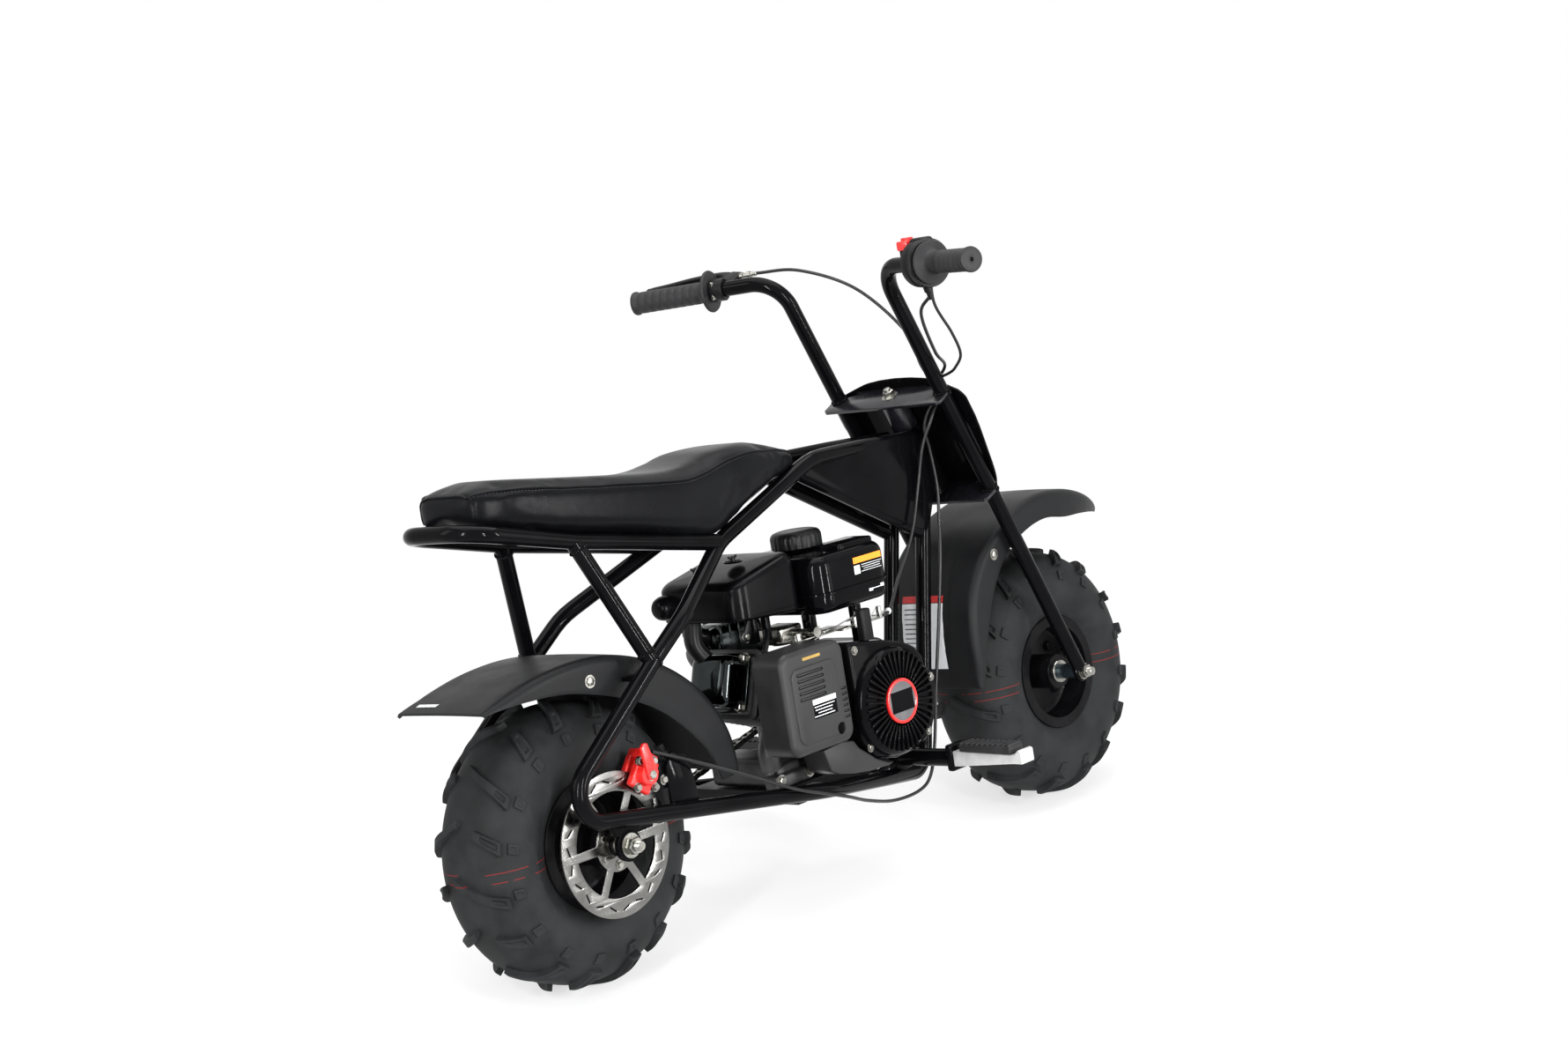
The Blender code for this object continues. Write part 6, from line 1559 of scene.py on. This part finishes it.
arm = block(spot + inward * 0.016 + Vector((0.0240, 0, 0.0010)), (0.034, 0.022, 0.014), 0.004, 4)
arm.matrix_world = TIP @ Matrix.Translation(arm.location)
settle(weld_to(blade, ball, perch, arm), "lever_and_perch", "black_plastic", "steering", "brake_lever")
barrel = turned([(0, 0), (0, 0.0052), (0.004, 0.0060), (0.007, 0.0060), (0.008, 0.0042), (0.013, 0.0042),
                 (0.0135, 0.0056), (0.0185, 0.0056), (0.0190, 0.0036), (0.0270, 0.0034), (0.0285, 0.0022),
                 (0.0285, 0)],
                TIP @ (spot + inward * 0.0235 + Vector((0.0310, 0, 0.0018))), inward
                + Vector((0.05, 0, 0.04)), 24)
screws = [bolt(spot + inward * 0.010 + Vector((-0.0135, 0, z)), (-1, 0, 0), 0.0036, 0.0035)
          for z in (0.0095, -0.0095)]
settle(weld_to(barrel, *screws), "cable_adjuster", "zinc_plate", "steering")

# %% [markdown]
# The front axle is a zinc bolt through both lugs: a polished bearing in the hub, a blue-grey spacer, a washer
# and a nut at each side, and a little thread beyond the nut.

# %% Front axle
axle, spacers = [], []
for w in (-1, 1):
    axle += [turned([(0.1018, 0.0063), (0.1018, 0.0125), (0.1045, 0.0125), (0.1045, 0.0063)],
                    (WHEELBASE, 0, TYRE_R), (0, w, 0), 32),
             turned([(0.1045, 0.0063), (0.1045, 0.0098), (0.1055, 0.0105), (0.1120, 0.0105),
                     (0.1130, 0.0098), (0.1130, 0.0063)],
                    (WHEELBASE, 0, TYRE_R), (0, w, 0), 6),
             turned([(0.0578, 0), (0.0578, 0.0170), (0.0600, 0.0175), (0.0615, 0.0165), (0.0615, 0)],
                    (WHEELBASE, 0, TYRE_R), (0, w, 0), 36)]
    spacers.append(turned([(0.0600, 0), (0.0600, 0.0110), (0.0610, 0.0112), (0.0940, 0.0112),
                           (0.0950, 0.0104), (0.0950, 0)],
                          (WHEELBASE, 0, TYRE_R), (0, w, 0), 32))
thread = [(-0.122, 0), (-0.122, 0.0050), (-0.1212, 0.0060)]
thread += [(-0.1205 + 0.0008 * k, 0.0063 if k % 2 else 0.0057) for k in range(9)]
thread += [(-0.113, 0.0063), (0.113, 0.0063)] + [(0.1135 + 0.0008 * k, 0.0057 if k % 2 else 0.0063)
                                                 for k in range(9)]
thread += [(0.1212, 0.0060), (0.122, 0.0050), (0.122, 0)]
axle.append(turned(thread, (WHEELBASE, 0, TYRE_R), (0, 1, 0), 32))
settle(weld_to(*axle), "front_spindle", "zinc_plate", "steering", "front_axle")
settle(weld_to(*spacers), "front_spacers", "spacer_steel", "steering")
rear = []
for w in (-1, 1):
    rear += [turned([(0.1195, 0.007), (0.1195, 0.0160), (0.1222, 0.0160), (0.1222, 0.007)], (0, 0, TYRE_R),
                    (0, w, 0), 32),
             turned([(0.1222, 0.007), (0.1222, 0.0108), (0.1232, 0.0116), (0.1318, 0.0116),
                     (0.1328, 0.0108), (0.1328, 0.007)],
                    (0, 0, TYRE_R), (0, w, 0), 6),
             turned([(0.1010, 0.007), (0.1010, 0.0120), (0.1125, 0.0120), (0.1125, 0.007)], (0, 0, TYRE_R),
                    (0, w, 0), 32)]
thread = [(-0.141, 0), (-0.141, 0.0058)] + [(-0.1402 + 0.0008 * k, 0.0070 if k % 2 else 0.0064)
                                            for k in range(9)]
thread += [(-0.132, 0.007), (0.132, 0.007)] + [(0.1335 + 0.0008 * k, 0.0064 if k % 2 else 0.0070)
                                               for k in range(9)]
rear.append(turned(thread + [(0.141, 0.0058), (0.141, 0)], (0, 0, TYRE_R), (0, 1, 0), 32))
settle(weld_to(*rear), "rear_spindle", "zinc_plate", "frame", "rear_axle")
print("axles with nuts")

# %% [markdown]
# Both control cables run from the bars to the frame and curve past the steering head, riding neither the fork
# nor the frame. The brake cable's far end lies past the steering head and is a piece of its own that rides
# the frame.

# %% Cables
lever_spot, lever_in = along_bar(1, 0.1275)
twist_spot, twist_in = along_bar(-1, 0.1003)
BRAKE = [TIP @ (lever_spot + lever_in * 0.0500 + Vector((0.0330, 0, 0.0026))), (0.704, 0.090, 0.850),
         (0.741, 0.020, 0.812), (0.765, -0.040, 0.742), off_axis(-0.040, 0.0162, -0.0690),
         off_axis(-0.012, 0.0163, -0.0740),
         off_axis(0.009, 0.0165, -0.0740), off_axis(0.0165, 0.0060, -0.0700),
         off_axis(0.0240, -0.0060, -0.0640),
         off_axis(0.0355, -0.0154, -0.0578), off_axis(0.050, -0.0235, -0.0540),
         off_axis(0.0755, -0.0280, -0.0520),
         off_axis(0.130, -0.0480, -0.0510), (0.7610, -0.0520, 0.4600), (0.7470, -0.0560, 0.4100),
         (0.7270, -0.0530, 0.3256), (0.7020, -0.0490, 0.2283), (0.6800, -0.0490, 0.1500),
         (0.6520, -0.0560, 0.1100), (0.6130, -0.0640, 0.0985), (0.5460, -0.0760, 0.1030),
         (0.4680, -0.1000, 0.1240), (0.4000, -0.1280, 0.1480), (0.3496, -0.1320, 0.1663),
         (0.2959, -0.1315, 0.1863), (0.2187, -0.1290, 0.2242), (0.1435, -0.1230, 0.2599),
         (0.0640, -0.1190, 0.2950)]
THROTTLE = [twist_spot + twist_in * 0.0180 + Vector((0.004, 0, -0.0450)), (0.6480, -0.1750, 0.7700),
            (0.7120, -0.1350, 0.7120),
            off_axis(-0.032, 0.0220, -0.1060), off_axis(-0.012, 0.0150, -0.0865),
            off_axis(0.007, 0.0145, -0.0815),
            off_axis(0.0170, 0.0020, -0.0795), off_axis(0.0235, -0.0120, -0.0770),
            off_axis(0.0335, -0.0247, -0.0738),
            off_axis(0.060, -0.0480, -0.0600), (0.7300, -0.0500, 0.5200), (0.7000, -0.0500, 0.4550),
            (0.6500, -0.0560, 0.4000), (0.6000, -0.0760, 0.3660), (0.5760, -0.0780, 0.3605)]
brake = smooth_through(BRAKE, 260)
split = next(k for k, p in enumerate(brake) if (p - HEAD).dot(AXIS) > 0.12)
upper = settle(bar(brake[:split + 1], 0.0024, 12), "brake_line_upper", "cable_sheath", None,
               "brake_cable_upper")
settle(bar(brake[split:], 0.0024, 12), "brake_line_lower", "cable_sheath", "frame", "brake_cable_lower")
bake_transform(upper)
throttle = settle(bar(smooth_through(THROTTLE, 150), 0.0024, 12), "throttle_line", "cable_sheath", None,
                  "throttle_cable_upper", "throttle_cable_lower")
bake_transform(throttle)
wire = smooth_through([twist_spot + twist_in * 0.0400 + Vector((0.006, 0, 0.0100)),
                       twist_spot + twist_in * 0.040 + Vector((0.022, -0.004, -0.016)),
                       (0.6700, -0.1830, 0.7800), (0.7130, -0.1700, 0.7350), (0.7370, -0.1600, 0.7020),
                       (0.7420, -0.1420, 0.6830), off_axis(-0.028, 0.0060, -0.1230),
                       off_axis(-0.020, 0.0120, -0.1020)], 70)
settle(bar(wire, 0.0021, 12), "kill_wire", "cable_sheath", "steering")
print("cables", upper.dimensions, throttle.dimensions)

# %% [markdown]
# The roller chain is one plate, one roller and one pin pair, modelled once and copied along the line round
# both sprockets. Every other link is the wide one.

# %% Chain
CHAIN_Y = 0.0945


def chain_line():
    rear, front = Vector((0, 0, TYRE_R)), Vector((CRANK.x, 0, CRANK.z))
    tilt = math.atan2(front.z - rear.z, front.x)
    lean = math.asin((REAR_PITCH_R - CLUTCH_PITCH_R) / (front - rear).length)
    found = []
    for k in range(33):
        a = tilt + math.pi / 2 - lean - (math.pi - 2 * lean) * k / 32
        found.append(front + Vector((math.cos(a), 0, math.sin(a))) * CLUTCH_PITCH_R)
    for k in range(97):
        a = tilt - math.pi / 2 + lean - (math.pi + 2 * lean) * k / 96
        found.append(rear + Vector((math.cos(a), 0, math.sin(a))) * REAR_PITCH_R)
    return found + [found[0]]


def evenly(line, count):
    run = [0.0]
    for a, b in zip(line, line[1:]):
        run.append(run[-1] + (b - a).length)
    found, i = [], 0
    for k in range(count):
        at = run[-1] * k / count
        while run[i + 1] < at:
            i += 1
        found.append(line[i].lerp(line[i + 1], (at - run[i]) / (run[i + 1] - run[i])))
    return found


line = chain_line()
length = sum((b - a).length for a, b in zip(line, line[1:]))
LINKS = 2 * round(length / PITCH / 2)
pins = evenly(line, LINKS)
half = length / LINKS / 2
waist = [(s * half + 0.0040 * math.cos(a + b), 0.0040 * math.sin(a + b))
         for s, b in ((1, -math.pi / 2), (-1, math.pi / 2)) for a in [math.pi * k / 6 for k in range(7)]]


def link(wide):
    y = 0.0052 if wide else 0.0036
    plates = [slab(waist, w * y - 0.0006, w * y + 0.0006) for w in (-1, 1)]
    roller = turned([(-0.0030, 0), (-0.0030, 0.0036), (0.0030, 0.0036), (0.0030, 0)], (half, 0, 0),
                    (0, 1, 0), 12)
    pin = turned([(-0.0064, 0), (-0.0064, 0.0016), (0.0064, 0.0016), (0.0064, 0)], (half, 0, 0), (0, 1, 0),
                 10)
    return weld_to(*plates, roller, pin)


both = [link(True), link(False)]
copies = []
for k, here in enumerate(pins):
    ahead = pins[(k + 1) % LINKS]
    take(both[k % 2])
    bpy.ops.object.duplicate()
    copy = bpy.context.object
    way = (ahead - here).normalized()
    copy.matrix_world = (Matrix.Translation((here + ahead) / 2 + Vector((0, CHAIN_Y, 0)))
                         @ Matrix((way, Vector((0, 1, 0)),
                                   way.cross(Vector((0, 1, 0))))).transposed().to_4x4())
    copies.append(copy)
for spare in both:
    take(spare)
    bpy.ops.object.delete()
settle(weld_to(*copies), "roller_chain", "disc_steel", "frame", "drive_chain")
drum = turned([(0.0620, 0), (0.0620, 0.010), (0.0800, 0.010), (0.0800, 0.0148), (0.0875, 0.0150),
               (0.0875, 0.0100), (0.1014, 0.0100), (0.1014, 0.0410), (0.1024, 0.0420), (0.1262, 0.0420),
               (0.1275, 0.0410), (0.1285, 0.0360), (0.1310, 0.0330), (0.1310, 0.0120), (0.1300, 0.0105),
               (0.1300, 0)], (CRANK.x, 0, CRANK.z), (0, 1, 0), 64)
cog = cut_plate([teeth(CLUTCH_TEETH, CLUTCH_PITCH_R, 0.0040)], 0.0030, CHAIN_Y, CRANK.x, CRANK.z)
settle(weld_to(drum, cog), "clutch_drum", "disc_steel", "frame", "clutch")
print(LINKS, "links")

# %% [markdown]
# The brake's caliper is red enamelled in two halves that bolts hold round the disc. A black bracket carries
# it on the frame, and the cable pulls a small arm.

# %% Caliper
SPOT = Vector((0.057, 0, 0.267))
TILT = math.radians(38)
halves = [block(SPOT + Vector((0, -0.10225, 0)), (0.036, 0.0108, 0.044), 0.0030, 4, (0, TILT, 0)),
          block(SPOT + Vector((0, -0.08335, 0)), (0.034, 0.0100, 0.042), 0.0030, 4, (0, TILT, 0)),
          block((0.0705, -0.0930, 0.2865), (0.030, 0.0280, 0.012), 0.0030, 4, (0, TILT, 0)),
          turned([(0.104, 0), (0.104, 0.0155), (0.108, 0.0150), (0.1165, 0.0140), (0.1180, 0.0125),
                  (0.1180, 0)], (SPOT.x, 0, SPOT.z),
                 (0, -1, 0), 40)]
arm = soften(slab([(0.050, 0.262), (0.044, 0.304), (0.050, 0.309), (0.056, 0.308), (0.068, 0.268),
                   (0.062, 0.258)],
                  -0.1215, -0.1165), 0.0012, 3, 40)
settle(weld_to(*halves, arm), "caliper_body", "red_enamel", "frame", "brake_caliper")
bracket = soften(slab([(0.060, 0.284), (0.062, 0.262), (0.068, 0.247), (0.084, 0.240), (0.106, 0.240),
                       (0.112, 0.246), (0.111, 0.256), (0.096, 0.276), (0.080, 0.286)], -0.1061, -0.0985),
                       0.0010, 2)
settle(bracket, "caliper_bracket", "gloss_paint", "frame")
heads = [bolt((0.057, -0.1180, 0.267), (0, -1, 0), 0.0062, 0.0055, 0.0085)]
heads += [bolt((x, -0.1072, z), (0, -1, 0), 0.0048, 0.0050, 0.0062) for x, z in
          ((0.040, 0.254), (0.070, 0.247), (0.074, 0.280), (0.050, 0.286))]
heads += [bolt((x, -0.1060, z), (0, -1, 0), 0.0050, 0.0045, 0.0068)
          for x, z in ((0.088, 0.252), (0.103, 0.248))]
settle(weld_to(*heads), "caliper_bolts", "zinc_plate", "frame")
print("caliper bolts", len(heads))

# %% [markdown]
# Each peg is a cast wedge that folds on a bracket, with a ribbed rubber pad on top. One pad rib is a small
# rounded bar, repeated along the peg.

# %% Pegs
PEG_Z = 0.1535
tube = bar([(0.596, -0.160, PEG_Z), (0.596, 0.160, PEG_Z)], 0.0125, 32)
ears = [block((0.598, w * 0.158, PEG_Z + 0.002), (0.034, 0.012, 0.038), 0.004, 4) for w in (-1, 1)]
ears += [block((0.596, w * 0.052, PEG_Z - 0.010), (0.030, 0.016, 0.020), 0.002) for w in (-1, 1)]
settle(weld_to(tube, *ears), "peg_tube", "gloss_paint", "frame", "footpeg_bar")
for side, w in (("right", -1), ("left", 1)):
    outline = [(w * 0.1643, -0.0120), (w * 0.1643, 0.0100), (w * 0.272, 0.0060), (w * 0.281, 0.0130),
               (w * 0.286, 0.0110),
               (w * 0.286, -0.0070), (w * 0.270, -0.0065)]
    peg = soften(slab([(y, PEG_Z + 0.002 + z) for y, z in outline], 0.583, 0.611, "YZ"), 0.0016, 3)
    settle(peg, "peg_" + side, "silver_paint", "frame", "footpeg_" + side)
    outline = [(w * 0.178, 0.0098), (w * 0.178, 0.0190), (w * 0.268, 0.0170), (w * 0.268, 0.0064)]
    pad = soften(slab([(y, PEG_Z + 0.002 + z) for y, z in outline], 0.582, 0.612, "YZ"), 0.0015, 3)
    ribs = [block((0.597, w * (0.1815 + 0.0092 * k), PEG_Z + 0.0212 - 0.0002 * k), (0.029, 0.0042, 0.0060),
                  0.0012, 2)
            for k in range(10)]
    settle(weld_to(pad, *ribs), "peg_rubber_" + side, "grip_rubber", "frame", "peg_pad_" + side)
print("pegs")

# %% [markdown]
# The side stand is a short round leg with a flat foot, turning on a pin. Its return spring is a wound wire
# with a hook at each end. It is drawn at rest and rides the leg.

# %% Side stand
FOOT = frame["nodes"]["side_stand"]
foot_at = hinge((Vector((0.365, 0.262, 0.055)) - STAND_PIVOT).length, 0, 0)
ground = min((FOOT.matrix_world @ v.co).z for v in FOOT.data.vertices)
foot_up = ((BIKE @ foot_at).z - ground - 0.0025) / math.cos(LEAN)
foot_at.z -= foot_up
slope = (foot_at - hinge(0.006, 0, 0)).normalized()
leg = bar([hinge(0.006, 0, 0), foot_at - slope * 0.0065], 0.0085, 28)
hub = turned([(0.0001, 0.0054), (0.0001, 0.0118), (0.0010, 0.0125), (0.0085, 0.0125), (0.0094, 0.0118),
              (0.0094, 0.0054), (0.0001, 0.0054)], hinge(0, 0, -0.0050), STAND_AXIS, 40)
sole = block(foot_at, (0.050, 0.036, 0.005), 0.0018, 3, (LEAN, 0, 0))
settle(weld_to(leg, hub, sole), "stand_leg", "gloss_paint", "side_stand", "side_stand")
coil = []
for k in range(260):
    a = 2 * math.pi * k / 16
    coil.append(hinge(0.030 + 0.036 * k / 259, 0, 0) + STAND_BACK * (0.0120 + 0.0040 * math.cos(a))
                + STAND_AXIS * (0.0040 * math.sin(a) - 0.004))
settle(bar([hinge(0.020, 0.008, -0.003)] + coil + [hinge(0.074, 0.007, -0.003)], 0.0008, 8), "stand_spring",
       "zinc_plate",
       "side_stand")
print("stand foot", foot_at, "lift", foot_up)

# %% [markdown]
# The label on the front fender's inner face is a white field with a red header and thin grey rules, and no
# words. It follows the fender's face, 0.3 mm above it.

# %% Fender label
def on_crown(hub, rows, degrees, y, lift):
    """A point above a fender's crown."""
    share = next(k for k in range(301)
                 if (table_at(rows, k / 300)[0] - degrees) * (rows[-1][0] - rows[0][0]) >= 0) / 300
    a, radius = math.radians(degrees), table_at(rows, share)[1]
    drop = 0.0015 * (abs(y) / 0.073) ** 2
    return hub + Vector((math.cos(a), 0, math.sin(a))) * (radius - drop + lift) + Vector((0, y, 0))


def sticker(name, surface, start, end, left, right, lift, hub=FRONT_HUB, rows=FRONT_ARC, body="steering"):
    """A thin sheet on the crown between two angles and two edges."""
    sheet = skin(lambda u, w: on_crown(hub, rows, start + (end - start) * u, left + (right - left) * w,
                                       lift), 24, 4,
                 capped=False)
    middle = sheet.data.polygons[40]
    if middle.normal.dot(middle.center - hub) < 0:
        work_on(sheet)
        bpy.ops.mesh.flip_normals()
    use(sheet, "SOLIDIFY", thickness=0.0003, offset=1)
    return settle(sheet, name, surface, body)


sticker("fender_label_field", "label_white", 166.2, 144.4, -0.029, 0.049, 0.0002)
sticker("fender_label_header", "label_red", 144.2, 142.0, -0.029, 0.049, 0.0002)
rules = [sticker("rule", "badge_grey", 163.5 - 1.55 * k, 163.1 - 1.55 * k, 0.006, 0.044, 0.0006)
         for k in range(12)]
weld_to(*rules).name = "fender_label_rules"
sticker("tail_label", "label_white", 124.6, 126.0, 0.020, 0.058, 0.0002, REAR_HUB, REAR_ARC, "frame")
print("fender label with", len(rules), "rules")
